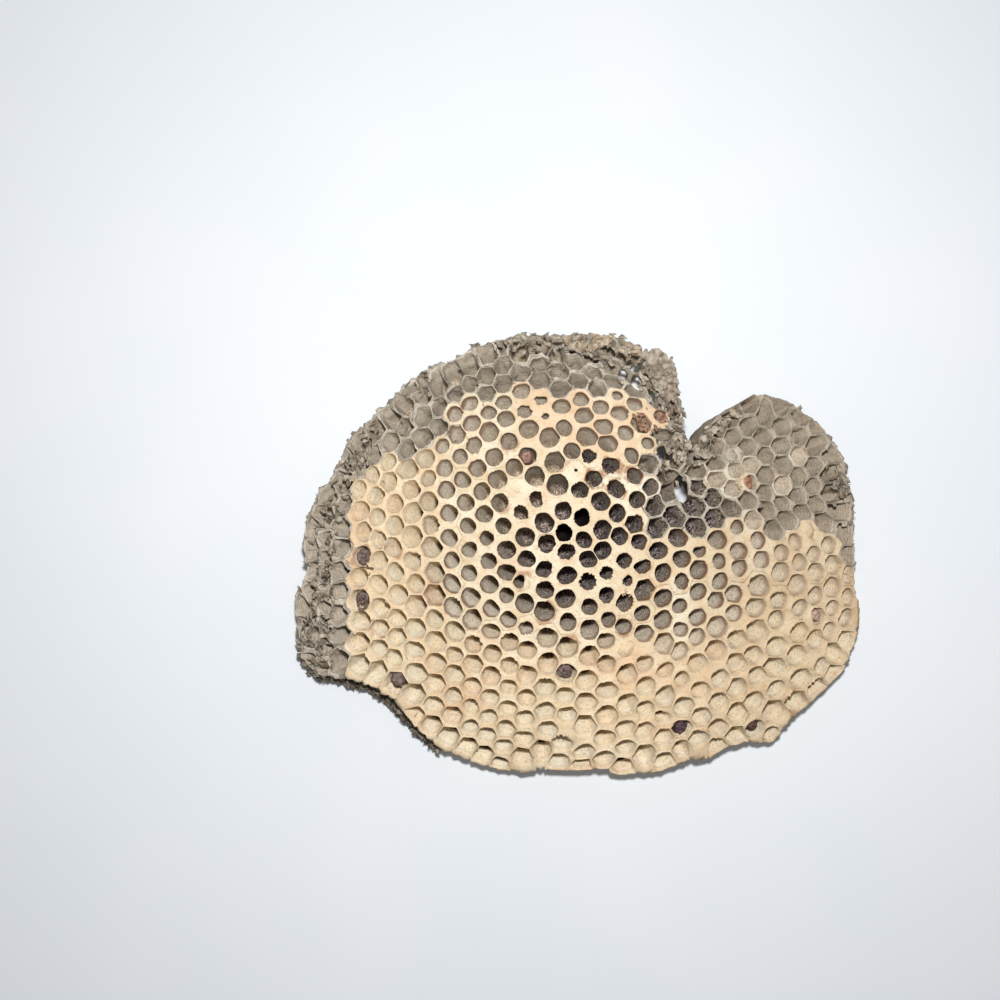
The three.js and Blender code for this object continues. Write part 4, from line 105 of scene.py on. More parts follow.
CORNERS = np.array([
    [-86.79,-19.65,11.17], [-90.39,-20.23,9.03], [-90.53,-16.44,9.48], [-89.92,-12.13,10.22],
    [-89.33,-11.09,10.62], [-85.55,-15.78,12.33], [-89.12,-27.77,8.21], [-89.19,-27.48,8.24],
    [-89.91,-23.82,8.66], [-85.73,-23.22,11.11], [-83.12,4.99,13.44], [-87.46,5.02,11.01],
    [-87.15,8.34,10.67], [-85.88,11.82,10.72], [-85.42,12.80,10.77], [-81.77,8.45,13.66],
    [-83.05,-1.85,14.06], [-87.18,-2.07,11.85], [-87.38,1.27,11.49], [-81.78,1.60,14.48],
    [-83.04,-8.54,14.11], [-86.92,-7.73,12.10], [-86.29,-5.13,12.44], [-81.75,-5.15,14.79],
    [-83.10,-15.47,13.62], [-81.77,-11.84,14.57], [-83.26,-22.88,12.44], [-81.87,-18.99,13.77],
    [-83.71,-30.41,10.45], [-88.26,-31.46,7.68], [-82.08,-26.46,12.27], [-84.14,-37.62,7.85],
    [-85.47,-36.43,7.58], [-87.37,-34.43,7.23], [-82.66,-34.00,9.89], [-77.87,15.61,14.23],
    [-83.65,16.60,10.85], [-82.30,19.37,10.84], [-79.88,23.48,10.88], [-78.81,24.72,11.05],
    [-75.70,19.47,14.33], [-78.80,8.36,15.17], [-76.95,11.94,15.45], [-79.02,1.77,15.81],
    [-77.39,5.08,16.25], [-79.01,-5.04,16.08], [-77.55,-1.57,16.66], [-79.04,-11.72,15.85],
    [-77.58,-8.31,16.66], [-79.12,-18.65,15.09], [-77.63,-15.00,16.18], [-79.32,-26.08,13.65],
    [-77.75,-22.16,15.13], [-79.88,-33.77,11.32], [-78.17,-29.81,13.25], [-80.27,-39.21,9.21],
    [-82.33,-39.25,8.16], [-79.02,-39.18,9.82], [-71.97,27.34,13.71], [-76.77,27.76,11.06],
    [-75.51,30.07,10.84], [-74.60,34.14,9.59], [-74.04,36.12,8.98], [-70.24,31.18,13.15],
    [-72.74,20.06,15.58], [-70.81,24.09,15.32], [-73.24,12.62,17.01], [-71.21,16.88,17.03],
    [-73.12,5.81,18.02], [-70.83,9.77,18.46], [-73.55,-1.09,18.32], [-70.75,2.99,19.20],
    [-73.85,-7.79,18.21], [-71.29,-4.05,19.24], [-73.84,-14.57,17.77], [-71.53,-10.78,18.95],
    [-73.73,-21.52,16.89], [-71.33,-17.59,18.37], [-74.39,-28.92,15.08], [-71.53,-24.56,17.16],
    [-74.79,-39.12,11.74], [-72.03,-31.88,15.22], [-67.41,31.72,14.29], [-71.28,40.02,8.63],
    [-69.17,41.45,9.09], [-65.69,35.40,13.64], [-67.77,24.82,16.44], [-66.10,28.61,15.96],
    [-67.49,17.91,18.32], [-65.99,21.82,17.99], [-66.74,11.18,19.80], [-65.43,15.06,19.65],
    [-66.41,4.07,20.67], [-64.67,8.30,20.87], [-66.81,-2.88,20.80], [-64.71,1.16,21.38],
    [-67.04,-9.99,20.54], [-64.87,-5.84,21.39], [-66.54,-17.01,20.07], [-64.56,-13.21,21.08],
    [-66.89,-23.56,18.95], [-64.30,-19.95,20.36], [-67.37,-30.36,17.30], [-65.08,-26.41,18.95],
    [-69.04,-40.85,13.36], [-71.80,-40.01,12.63], [-65.58,-33.42,17.05], [-62.62,35.86,14.84],
    [-66.43,43.33,9.62], [-64.40,44.95,9.86], [-60.87,39.40,14.17], [-62.90,29.20,17.09],
    [-61.14,32.77,16.60], [-62.94,22.64,18.93], [-61.52,26.23,18.50], [-61.60,15.86,20.81],
    [-60.60,19.53,20.44], [-61.46,9.07,21.80], [-59.69,12.75,21.89], [-61.32,2.18,22.36],
    [-59.79,5.87,22.57], [-60.84,-5.15,22.57], [-59.38,-1.16,22.98], [-60.40,-12.64,22.30],
    [-58.85,-8.73,22.96], [-60.48,-19.43,21.51], [-58.56,-15.92,22.45], [-60.89,-25.75,20.31],
    [-58.88,-22.38,21.46], [-61.80,-32.56,18.45], [-59.39,-28.84,20.05], [-64.09,-42.94,14.27],
    [-67.03,-41.47,13.85], [-59.98,-36.13,17.93], [-57.61,39.75,15.41], [-61.68,47.11,10.14],
    [-60.52,48.22,10.14], [-55.92,43.21,14.67], [-57.67,33.17,17.79], [-55.89,36.62,17.27],
    [-57.74,26.65,19.71], [-55.65,30.03,19.47], [-56.77,20.13,21.51], [-55.32,23.67,21.20],
    [-55.89,13.19,22.89], [-53.97,16.91,22.86], [-56.17,6.22,23.51], [-54.04,9.86,23.74],
    [-55.84,-1.16,23.87], [-54.16,2.54,24.19], [-54.93,-8.43,23.92], [-53.39,-4.85,24.39],
    [-55.01,-15.57,23.33], [-52.94,-11.99,24.11], [-55.14,-22.39,22.36], [-53.20,-19.08,23.29],
    [-55.34,-29.01,21.01], [-53.11,-25.92,22.17], [-55.44,-36.18,19.10], [-53.21,-32.78,20.58],
    [-58.67,-46.38,14.52], [-60.80,-44.81,14.55], [-53.27,-40.08,18.37], [-52.70,50.04,12.87],
    [-57.79,51.91,9.49], [-57.10,52.51,9.50], [-54.51,54.75,9.49], [-52.50,56.24,9.57],
    [-51.11,53.42,11.80], [-52.59,43.49,15.88], [-51.00,46.89,15.05], [-52.36,36.92,18.42],
    [-50.76,40.34,17.77], [-51.84,30.32,20.58], [-50.33,33.76,20.07], [-50.98,23.89,22.36],
    [-49.59,27.16,22.01], [-50.25,17.22,23.74], [-48.71,20.67,23.54], [-50.09,9.96,24.64],
    [-48.23,13.60,24.66], [-50.09,2.44,25.07], [-48.16,6.22,25.30], [-49.55,-4.89,25.17],
    [-47.93,-1.29,25.53], [-49.14,-11.99,24.86], [-47.29,-8.46,25.43], [-49.21,-19.19,24.06],
    [-47.22,-15.67,24.85], [-49.11,-26.29,22.90], [-47.16,-22.86,23.88], [-48.84,-33.31,21.35],
    [-46.97,-29.91,22.53], [-49.02,-40.28,19.24], [-46.83,-36.92,20.74], [-49.70,-47.22,16.49],
    [-56.22,-49.40,13.86], [-47.34,-43.80,18.35], [-51.29,-55.30,12.24], [-53.19,-53.08,12.89],
    [-55.56,-50.21,13.66], [-48.01,-50.70,15.33], [-47.87,53.60,13.06], [-50.08,58.00,9.63],
    [-47.55,59.33,9.93], [-47.61,59.30,9.92], [-47.67,47.12,16.19], [-46.13,50.46,15.26],
    [-47.30,40.59,18.83], [-45.81,43.97,18.08], [-46.70,33.99,21.05], [-45.27,37.40,20.47],
    [-45.89,27.34,22.90], [-44.51,30.73,22.46], [-45.07,20.58,24.36], [-43.64,23.99,24.07],
    [-44.51,13.50,25.41], [-42.89,17.03,25.29], [-44.22,6.13,26.02], [-42.44,9.77,26.10],
    [-43.89,-1.29,26.22], [-42.12,2.36,26.48], [-43.50,-8.60,26.04], [-41.72,-5.01,26.47],
    [-43.27,-15.84,25.47], [-41.39,-12.29,26.08], [-43.12,-23.04,24.50], [-41.22,-19.54,25.31],
    [-42.95,-30.15,23.15], [-41.05,-26.71,24.15], [-42.95,-37.11,21.37], [-40.94,-33.75,22.60],
    [-43.32,-43.95,19.07], [-41.12,-40.63,20.58], [-43.99,-50.71,16.18], [-41.66,-47.38,18.05],
    [-46.50,-59.70,10.96], [-48.78,-57.61,11.60], [-42.41,-54.08,14.91], [-42.81,50.65,16.31],
    [-45.04,60.68,10.14], [-41.27,53.92,15.28], [-42.41,44.20,19.04], [-40.95,47.54,18.20],
    [-41.77,37.61,21.34], [-40.40,41.03,20.67], [-40.92,30.85,23.26], [-39.61,34.32,22.74],
    [-40.01,23.95,24.79], [-38.68,27.42,24.42], [-39.23,16.88,25.94], [-37.79,20.39,25.72],
    [-38.65,9.62,26.69], [-37.06,13.20,26.64], [-38.19,2.26,27.04], [-36.50,5.88,27.17],
    [-37.79,-5.10,26.99], [-36.04,-1.47,27.30], [-37.49,-12.40,26.57], [-35.67,-8.79,27.05],
    [-37.28,-19.67,25.79], [-35.43,-16.08,26.45], [-37.12,-26.87,24.64], [-35.25,-23.33,25.48],
    [-37.06,-33.93,23.09], [-35.13,-30.48,24.14], [-37.25,-40.80,21.12], [-35.19,-37.46,22.39],
    [-37.75,-47.48,18.66], [-35.55,-44.22,20.21], [-38.48,-54.07,15.66], [-36.15,-50.81,17.54],
    [-40.55,-63.73,9.86], [-44.08,-61.91,10.20], [-36.94,-57.35,14.28], [-37.92,54.05,16.24],
    [-42.48,62.05,10.27], [-39.37,63.50,10.44], [-36.34,57.24,15.09], [-37.57,47.75,19.06],
    [-36.07,50.99,18.13], [-36.96,41.27,21.44], [-35.58,44.65,20.67], [-36.10,34.48,23.45],
    [-34.82,38.01,22.83], [-35.10,27.44,25.06], [-33.83,31.02,24.61], [-34.17,20.29,26.29],
    [-32.82,23.86,25.99], [-33.38,13.06,27.14], [-31.93,16.63,26.99], [-32.69,5.78,27.62],
    [-31.15,9.38,27.63], [-32.15,-1.50,27.71], [-30.49,2.12,27.90], [-31.82,-8.79,27.44],
    [-30.05,-5.13,27.79], [-31.61,-16.08,26.83], [-29.82,-12.40,27.34], [-31.42,-23.34,25.87],
    [-29.63,-19.67,26.56], [-31.31,-30.53,24.54], [-29.46,-26.92,25.43], [-31.39,-37.56,22.81],
    [-29.43,-34.09,23.91], [-31.72,-44.33,20.67], [-29.63,-41.02,21.99], [-32.28,-50.89,18.08],
    [-30.06,-47.68,19.66], [-33.04,-57.33,14.95], [-30.70,-54.14,16.86], [-34.75,-66.22,9.44],
    [-38.18,-64.79,9.69], [-31.54,-60.54,13.47], [-32.91,57.30,15.94], [-36.91,64.44,10.62],
    [-33.88,65.63,10.71], [-31.25,60.42,14.63], [-32.64,51.13,18.89], [-31.07,54.26,17.85],
    [-32.14,44.89,21.33], [-30.68,48.13,20.48], [-31.33,38.26,23.43], [-30.03,41.76,22.70],
    [-30.26,31.13,25.18], [-29.04,34.83,24.61], [-29.18,23.84,26.49], [-27.89,27.52,26.13],
    [-28.27,16.58,27.41], [-26.87,20.21,27.20], [-27.41,9.35,27.99], [-25.98,12.97,27.91],
    [-26.69,2.18,28.22], [-25.15,5.80,28.30], [-26.16,-4.99,28.10], [-24.45,-1.31,28.34],
    [-26.17,-12.20,27.64], [-24.28,-8.45,28.04], [-25.87,-19.51,26.87], [-24.20,-15.72,27.42],
    [-25.74,-26.71,25.77], [-23.94,-22.97,26.51], [-25.63,-34.09,24.25], [-23.79,-30.33,25.21],
    [-25.89,-41.06,22.36], [-23.85,-37.61,23.51], [-26.21,-47.79,20.06], [-24.14,-44.48,21.43],
    [-26.79,-54.24,17.32], [-24.53,-51.10,18.93], [-27.63,-60.54,14.05], [-25.23,-57.44,15.99],
    [-29.03,-68.35,9.04], [-32.53,-67.04,9.31], [-26.15,-63.73,12.43], [-27.73,60.44,15.34],
    [-31.40,66.54,10.72], [-28.06,67.42,10.84], [-25.99,63.54,13.81], [-27.54,54.32,18.50],
    [-25.86,57.38,17.30], [-27.13,48.28,21.06], [-25.56,51.34,20.11], [-26.49,42.15,23.16],
    [-25.05,45.42,22.35], [-25.51,35.11,25.05], [-24.27,38.92,24.32], [-24.05,27.54,26.58],
    [-22.90,31.42,26.07], [-23.15,20.31,27.55], [-21.62,23.95,27.29], [-22.28,13.09,28.20],
    [-20.85,16.79,28.04], [-21.31,5.90,28.55], [-19.88,9.56,28.53], [-20.72,-0.94,28.56],
    [-19.13,2.65,28.69], [-20.99,-8.15,28.24], [-19.14,-4.32,28.52], [-20.62,-15.14,27.68],
    [-19.30,-11.33,28.09], [-20.39,-22.41,26.80], [-18.74,-18.38,27.41], [-20.09,-29.84,25.55],
    [-18.49,-25.67,26.39], [-20.29,-37.43,23.82], [-18.37,-33.42,24.90], [-20.30,-44.47,21.76],
    [-18.49,-40.87,22.99], [-20.58,-51.27,19.25], [-18.43,-47.95,20.70], [-21.24,-57.65,16.33],
    [-18.86,-54.62,17.98], [-22.27,-63.72,12.96], [-19.76,-60.74,14.91], [-23.14,-69.45,9.20],
    [-26.97,-68.88,9.02], [-21.24,-69.74,9.27], [-22.35,63.55,14.33], [-25.72,68.05,10.82],
    [-22.26,69.18,10.51], [-21.50,69.47,10.39], [-22.19,57.44,17.78], [-20.42,60.51,16.34],
    [-21.90,51.38,20.56], [-20.20,54.43,19.43], [-21.27,45.41,22.81], [-19.69,48.31,21.96],
    [-20.38,39.34,24.64], [-18.82,42.55,23.90], [-19.50,31.36,26.40], [-18.23,35.46,25.71],
    [-17.79,24.31,27.55], [-16.82,27.84,27.15], [-17.07,17.13,28.27], [-15.53,21.00,28.03],
    [-15.67,10.02,28.71], [-14.28,13.88,28.60], [-15.04,3.30,28.85], [-13.02,7.01,28.88],
    [-15.47,-3.96,28.67], [-12.97,0.08,28.86], [-15.48,-10.65,28.28], [-13.50,-7.11,28.57],
    [-15.07,-17.57,27.64], [-13.13,-13.65,28.09], [-14.46,-25.31,26.62], [-12.69,-21.24,27.27],
    [-14.42,-33.09,25.17], [-12.11,-29.14,26.04], [-14.75,-40.75,23.25], [-12.60,-36.97,24.35],
    [-14.51,-48.34,20.83], [-12.65,-44.74,22.16], [-14.69,-54.60,18.33], [-12.49,-51.65,19.70],
    [-15.68,-61.38,14.96], [-12.99,-58.27,16.76], [-14.85,-70.32,9.63], [-12.66,-68.59,10.98],
    [-16.61,60.58,16.60], [-16.96,70.32,10.15], [-14.81,63.61,14.91], [-16.34,54.60,19.64],
    [-14.52,57.69,18.24], [-15.91,48.55,22.14], [-14.25,51.80,20.95], [-14.77,42.93,24.04],
    [-13.44,46.03,23.12], [-14.08,35.85,25.86], [-12.18,40.11,24.90], [-12.76,28.42,27.26],
    [-11.30,32.33,26.64], [-11.36,21.56,28.15], [-9.56,25.46,27.74], [-10.06,14.14,28.73],
    [-8.67,17.95,28.51], [-8.97,7.52,28.96], [-7.39,10.79,28.90], [-8.73,0.70,28.94],
    [-6.76,4.43,29.00], [-8.83,-6.38,28.69], [-6.56,-2.60,28.87], [-8.97,-13.18,28.22],
    [-6.64,-9.45,28.53], [-8.37,-20.78,27.43], [-6.57,-16.64,27.93], [-8.03,-28.78,26.22],
    [-6.06,-24.49,26.96], [-8.44,-36.79,24.55], [-6.19,-32.54,25.55], [-8.64,-44.46,22.43],
    [-6.59,-40.29,23.71], [-8.24,-50.91,20.21], [-6.25,-47.33,21.58], [-9.10,-58.97,16.67],
    [-6.55,-54.55,18.81], [-10.62,-68.72,11.07], [-7.80,-62.80,14.77], [-10.96,63.61,14.98],
    [-15.17,70.38,10.20], [-11.22,70.17,10.45], [-8.90,69.99,10.56], [-10.54,57.83,18.26],
    [-8.78,60.72,16.69], [-10.07,52.19,20.88], [-8.18,55.13,19.57], [-9.62,46.50,23.03],
    [-7.91,49.40,21.98], [-8.46,40.06,24.96], [-7.23,43.35,24.03], [-6.65,32.82,26.58],
    [-5.70,36.29,25.85], [-5.46,25.98,27.67], [-4.01,29.43,27.14], [-4.28,18.82,28.43],
    [-2.87,22.96,28.01], [-3.52,11.22,28.88], [-1.79,15.44,28.65], [-2.81,4.68,28.99],
    [-1.15,8.19,28.94], [-2.15,-1.74,28.89], [-0.37,1.82,28.95], [-2.28,-8.84,28.58],
    [-0.05,-4.90,28.77], [-2.05,-16.20,28.00], [-0.08,-12.12,28.34], [-1.88,-23.50,27.14],
    [0.33,-19.35,27.66], [-2.01,-31.78,25.75], [0.31,-27.04,26.61], [-2.23,-39.52,24.00],
    [0.09,-35.26,25.04], [-2.07,-46.29,22.03], [-0.10,-42.65,23.17], [-2.42,-54.00,19.18],
    [0.08,-49.33,21.03], [-3.34,-62.75,15.02], [-0.52,-58.36,17.30], [-4.40,-69.12,11.23],
    [-9.50,-68.80,11.11], [-1.31,-64.98,13.86], [-4.86,60.69,16.60], [-4.87,70.17,10.27],
    [-3.21,63.47,14.85], [-4.14,55.17,19.44], [-2.59,57.84,18.05], [-3.73,49.34,21.91],
    [-1.85,52.17,20.69], [-3.24,43.36,23.94], [-1.45,46.45,22.87], [-1.82,36.25,25.77],
    [-0.60,40.03,24.80], [-0.49,29.94,26.98], [0.75,33.29,26.32], [0.73,23.41,27.89],
    [1.65,26.94,27.40], [2.22,16.47,28.52], [3.33,20.30,28.17], [2.68,8.52,28.87],
    [4.32,12.57,28.70], [3.31,1.95,28.88], [4.69,5.14,28.86], [4.01,-4.68,28.71],
    [5.59,-1.38,28.77], [4.08,-11.72,28.32], [5.94,-8.22,28.50], [4.57,-19.11,27.64],
    [6.35,-15.56,27.97], [4.46,-26.40,26.68], [6.50,-22.62,27.19], [4.34,-34.24,25.25],
    [6.39,-30.13,26.03], [4.10,-42.11,23.33], [6.22,-37.96,24.39], [4.14,-49.66,20.93],
    [6.19,-46.08,22.13], [4.10,-57.66,17.70], [6.26,-53.65,19.41], [3.57,-64.72,14.12],
    [6.15,-61.77,15.72], [2.50,-69.01,11.56], [-2.46,-69.24,11.25], [5.56,-68.66,11.82],
    [0.62,63.30,14.71], [-3.66,70.01,10.32], [-0.09,70.25,9.85], [2.26,66.06,12.74],
    [1.29,57.72,17.87], [2.85,60.40,16.28], [1.99,52.06,20.52], [3.58,54.95,19.10],
    [2.73,46.48,22.66], [4.29,49.27,21.53], [3.55,40.17,24.59], [5.08,43.53,23.52],
    [4.46,34.05,26.04], [6.03,37.15,25.26], [5.47,27.37,27.22], [7.03,31.13,26.52],
    [7.09,20.63,28.03], [8.30,24.17,27.58], [7.97,12.98,28.56], [9.62,17.21,28.23],
    [8.33,5.70,28.73], [9.96,9.49,28.60], [9.42,-1.35,28.65], [10.78,2.54,28.64],
    [10.14,-7.93,28.39], [12.04,-4.36,28.46], [10.12,-15.09,27.90], [12.05,-10.97,28.14],
    [10.26,-22.39,27.12], [12.10,-18.41,27.51], [10.22,-29.54,26.04], [12.05,-25.59,26.62],
    [10.39,-37.38,24.44], [12.35,-33.08,25.31], [10.67,-46.29,21.98], [12.75,-41.73,23.27],
    [10.53,-54.22,19.13], [12.89,-50.44,20.51], [10.63,-61.26,15.93], [12.85,-57.74,17.55],
    [9.81,-68.84,11.70], [12.78,-64.42,14.23], [6.07,65.78,12.56], [1.84,70.75,9.28],
    [5.63,71.02,8.65], [7.75,71.17,8.26], [6.67,60.14,16.10], [8.25,62.75,14.35],
    [7.41,54.84,18.86], [8.95,57.35,17.45], [8.20,49.66,21.11], [9.74,52.35,19.84],
    [8.80,43.87,23.20], [10.35,47.21,21.92], [10.01,37.66,24.94], [11.25,41.02,23.94],
    [11.44,31.29,26.29], [12.84,34.72,25.49], [12.50,24.64,27.32], [14.08,28.01,26.73],
    [13.28,17.50,28.03], [14.95,21.40,27.57], [13.52,10.08,28.41], [15.19,13.87,28.16],
    [14.58,3.47,28.46], [15.70,7.22,28.36], [15.53,-3.78,28.30], [16.71,0.17,28.32],
    [16.05,-10.40,27.98], [17.63,-6.78,28.07], [15.50,-17.74,27.43], [17.53,-13.85,27.66],
    [15.81,-24.93,26.56], [17.42,-21.06,26.97], [16.24,-32.87,25.19], [17.87,-28.66,25.87],
    [16.84,-41.36,23.20], [18.37,-36.79,24.25], [17.01,-49.76,20.59], [18.88,-45.24,21.98],
    [17.06,-56.73,17.84], [18.85,-52.53,19.47], [16.99,-64.00,14.30], [19.04,-59.83,16.32],
    [16.87,-70.67,10.35], [12.64,-71.17,10.16], [19.33,-70.41,10.40], [12.09,62.39,14.17],
    [12.28,69.94,8.67], [15.28,68.63,9.30], [12.82,56.97,17.28], [14.39,59.39,15.76],
    [13.65,52.15,19.60], [15.21,54.26,18.45], [13.84,47.50,21.55], [15.61,49.75,20.49],
    [14.99,41.50,23.54], [16.03,44.64,22.43], [16.83,34.77,25.23], [17.74,38.18,24.30],
    [17.79,28.29,26.45], [19.14,31.62,25.73], [18.46,21.40,27.34], [19.72,24.92,26.81],
    [19.12,14.74,27.84], [20.72,18.38,27.45], [19.55,8.07,28.09], [21.30,11.81,27.83],
    [20.13,1.06,28.10], [21.85,5.21,27.96], [21.21,-6.00,27.87], [22.53,-2.11,27.88],
    [21.38,-13.34,27.45], [23.49,-9.12,27.56], [21.46,-20.30,26.80], [23.40,-16.48,27.05],
    [21.96,-27.89,25.74], [23.94,-23.39,26.25], [22.27,-36.37,24.10], [24.22,-31.67,24.92],
    [22.69,-44.16,22.06], [24.55,-39.87,23.10], [22.75,-51.24,19.71], [24.71,-47.39,20.90],
    [22.87,-58.80,16.56], [24.79,-54.40,18.32], [23.39,-70.04,10.37], [24.90,-62.50,14.59],
    [18.37,58.98,15.55], [18.66,67.28,9.87], [21.19,64.33,11.70], [19.30,53.58,18.37],
    [20.89,55.88,17.00], [20.21,49.06,20.35], [22.35,50.78,19.36], [20.49,44.10,22.23],
    [22.90,46.27,21.19], [21.38,37.82,24.09], [23.08,40.60,23.13], [23.23,31.76,25.35],
    [24.56,34.55,24.61], [22.84,25.20,26.51], [25.00,28.70,25.75], [24.03,19.10,27.10],
    [24.88,22.39,26.67], [25.28,12.16,27.47], [26.40,15.81,27.14], [26.01,5.59,27.61],
    [27.69,8.80,27.37], [26.76,-1.29,27.54], [28.52,2.26,27.39], [27.28,-8.44,27.27],
    [29.24,-4.50,27.23], [27.45,-15.73,26.77], [29.22,-11.93,26.88], [27.90,-22.89,25.97],
    [29.47,-19.06,26.26], [27.99,-30.54,24.81], [29.69,-26.26,25.34], [28.43,-39.00,22.97],
    [29.91,-34.36,23.88], [28.73,-47.09,20.64], [30.58,-42.99,21.70], [28.66,-54.41,17.97],
    [30.63,-50.94,19.11], [28.90,-61.83,14.55], [30.75,-58.16,16.13], [28.79,-68.65,10.74],
    [25.08,-69.85,10.35], [31.86,-67.33,11.20], [24.75,55.63,16.66], [22.25,65.04,11.03],
    [26.35,58.51,14.78], [26.12,50.27,19.14], [26.92,52.82,17.83], [27.08,45.33,21.07],
    [28.15,47.60,20.03], [26.56,39.84,22.98], [28.13,42.39,21.98], [32.71,34.54,23.62],
    [31.88,39.32,22.45], [31.81,25.58,25.46], [33.54,32.27,24.02], [29.20,23.18,26.12],
    [33.57,24.58,25.38], [30.23,16.82,26.65], [29.17,21.05,26.37], [31.63,8.76,26.95],
    [33.16,12.09,26.62], [32.98,2.22,26.91], [34.41,5.51,26.70], [33.07,-4.33,26.82],
    [35.05,-1.16,26.65], [32.92,-11.30,26.53], [34.82,-7.64,26.50], [32.99,-18.85,25.91],
    [34.67,-14.89,26.08], [33.02,-25.70,25.06], [34.75,-22.13,25.34], [33.35,-33.71,23.64],
    [34.75,-29.32,24.29], [34.41,-42.56,21.38], [35.69,-37.91,22.43], [34.68,-50.93,18.64],
    [36.61,-46.64,19.86], [34.35,-58.04,15.74], [36.31,-54.29,17.11], [35.14,-65.73,11.70],
    [35.87,-65.37,11.80], [31.11,58.98,13.74], [27.15,65.09,10.21], [29.24,62.90,11.44],
    [30.60,60.28,12.99], [31.47,52.89,17.12], [31.48,55.75,15.59], [32.41,47.67,19.39],
    [31.85,50.01,18.45], [32.19,41.11,21.85], [32.68,44.30,20.68], [32.39,38.40,22.65],
    [31.88,39.32,22.45], [38.58,28.83,23.93], [34.76,28.74,24.54], [35.11,30.92,24.07],
    [36.45,32.88,23.44], [39.07,34.13,22.71], [40.67,31.34,23.07], [38.50,24.13,24.71],
    [40.33,26.60,24.03], [37.60,18.59,25.52], [32.99,19.05,26.11], [33.36,21.63,25.79],
    [40.09,21.45,24.82], [37.46,12.13,26.05], [39.31,15.22,25.56], [38.38,5.36,26.18],
    [39.89,8.64,25.86], [39.01,-1.39,26.13], [40.91,1.83,25.87], [38.83,-7.60,25.99],
    [41.04,-4.52,25.78], [38.47,-14.39,25.63], [40.73,-10.75,25.56], [38.47,-21.89,24.89],
    [40.50,-18.11,25.02], [38.50,-29.29,23.81], [40.48,-25.43,24.14], [39.82,-37.97,21.84],
    [41.22,-33.74,22.58], [40.30,-46.25,19.45], [42.23,-42.24,20.35], [40.22,-54.30,16.52],
    [42.28,-50.55,17.65], [41.26,-65.40,10.93], [41.84,-57.88,14.69], [44.97,36.84,20.86],
    [41.11,36.66,21.69], [41.49,38.46,21.10], [41.60,40.69,20.37], [44.44,44.37,18.46],
    [46.56,39.83,19.60], [44.32,31.58,22.33], [46.37,34.43,21.22], [44.51,26.74,23.25],
    [46.40,29.21,22.40], [43.70,21.31,24.21], [46.30,24.13,23.32], [43.01,14.93,24.99],
    [44.91,18.16,24.36], [44.24,8.66,25.17], [45.50,11.86,24.78], [45.01,1.86,25.22],
    [46.82,5.40,24.84], [45.37,-4.27,25.11], [47.44,-1.11,24.80], [44.52,-11.28,24.95],
    [46.95,-7.87,24.72], [44.37,-17.78,24.46], [46.13,-14.58,24.45], [44.73,-25.74,23.43],
    [46.58,-21.85,23.64], [45.48,-33.87,21.85], [47.01,-29.73,22.38], [45.95,-41.96,19.79],
    [47.80,-37.83,20.53], [46.02,-50.38,17.04], [47.75,-45.80,18.29], [46.25,-57.86,13.88],
    [48.37,-54.11,15.10], [44.60,-63.48,11.38], [41.29,-65.38,10.93], [48.40,-61.16,11.83],
    [49.89,40.34,18.63], [45.05,44.53,18.26], [50.27,47.06,15.91], [51.91,44.00,16.76],
    [49.73,34.42,20.46], [51.66,37.34,19.15], [50.31,28.90,21.61], [51.59,31.26,20.80],
    [49.79,23.68,22.67], [51.92,25.98,21.80], [48.67,17.92,23.66], [50.96,20.62,22.85],
    [49.60,11.88,24.01], [50.87,14.70,23.52], [51.23,5.25,24.01], [52.75,8.53,23.56],
    [51.86,-0.95,23.96], [53.84,1.86,23.54], [51.00,-8.54,23.94], [53.85,-4.78,23.50],
    [50.35,-15.20,23.64], [52.80,-12.57,23.35], [50.90,-22.23,22.79], [52.92,-18.77,22.79],
    [50.99,-30.45,21.49], [53.03,-26.83,21.70], [51.75,-37.72,19.77], [53.41,-34.48,20.16],
    [51.61,-45.74,17.51], [53.76,-41.79,18.24], [52.45,-54.20,14.17], [53.96,-50.40,15.33],
    [53.46,-60.08,11.20], [55.24,-60.16,10.71], [55.97,44.35,15.44], [53.34,49.83,13.73],
    [57.32,51.00,11.87], [59.47,51.02,11.12], [55.06,37.24,18.28], [57.34,40.58,16.49],
    [55.05,31.20,19.93], [56.59,34.26,18.72], [55.03,25.33,21.16], [56.89,28.18,20.12],
    [54.53,20.22,22.09], [56.48,22.63,21.25], [54.97,14.72,22.61], [56.34,17.53,21.99],
    [56.82,8.29,22.65], [57.77,11.64,22.20], [58.31,1.67,22.52], [59.77,4.81,22.09],
    [58.24,-5.26,22.50], [60.73,-1.63,21.95], [57.66,-13.12,22.25], [60.26,-9.58,21.85],
    [57.44,-19.61,21.70], [59.73,-16.59,21.47], [57.36,-27.51,20.62], [59.76,-23.75,20.62],
    [57.55,-34.87,19.12], [59.46,-31.52,19.36], [58.09,-42.07,17.11], [60.23,-38.39,17.58],
    [57.99,-50.29,14.36], [59.97,-45.92,15.40], [58.47,-60.33,9.74], [60.06,-54.12,12.23],
    [60.80,40.56,15.40], [62.16,50.26,10.56], [62.83,44.03,13.31], [60.29,34.49,17.56],
    [62.22,37.45,16.03], [60.38,28.45,19.08], [62.24,31.70,17.72], [60.19,22.35,20.30],
    [62.23,25.32,19.18], [60.09,17.18,21.06], [62.00,19.59,20.21], [61.48,11.64,21.24],
    [62.44,14.37,20.73], [63.97,4.53,20.98], [64.72,8.01,20.60], [65.06,-2.01,20.79],
    [66.84,1.00,20.25], [64.71,-9.35,20.69], [67.03,-5.42,20.18], [64.50,-16.84,20.20],
    [66.88,-13.14,19.84], [64.46,-24.21,19.31], [66.92,-20.32,19.13], [64.27,-31.65,18.04],
    [66.88,-28.11,17.97], [64.89,-38.82,16.15], [67.03,-35.43,16.37], [64.69,-46.05,13.99],
    [67.48,-42.64,14.23], [65.97,-55.61,9.74], [69.32,-52.48,9.98], [63.10,-60.23,8.40],
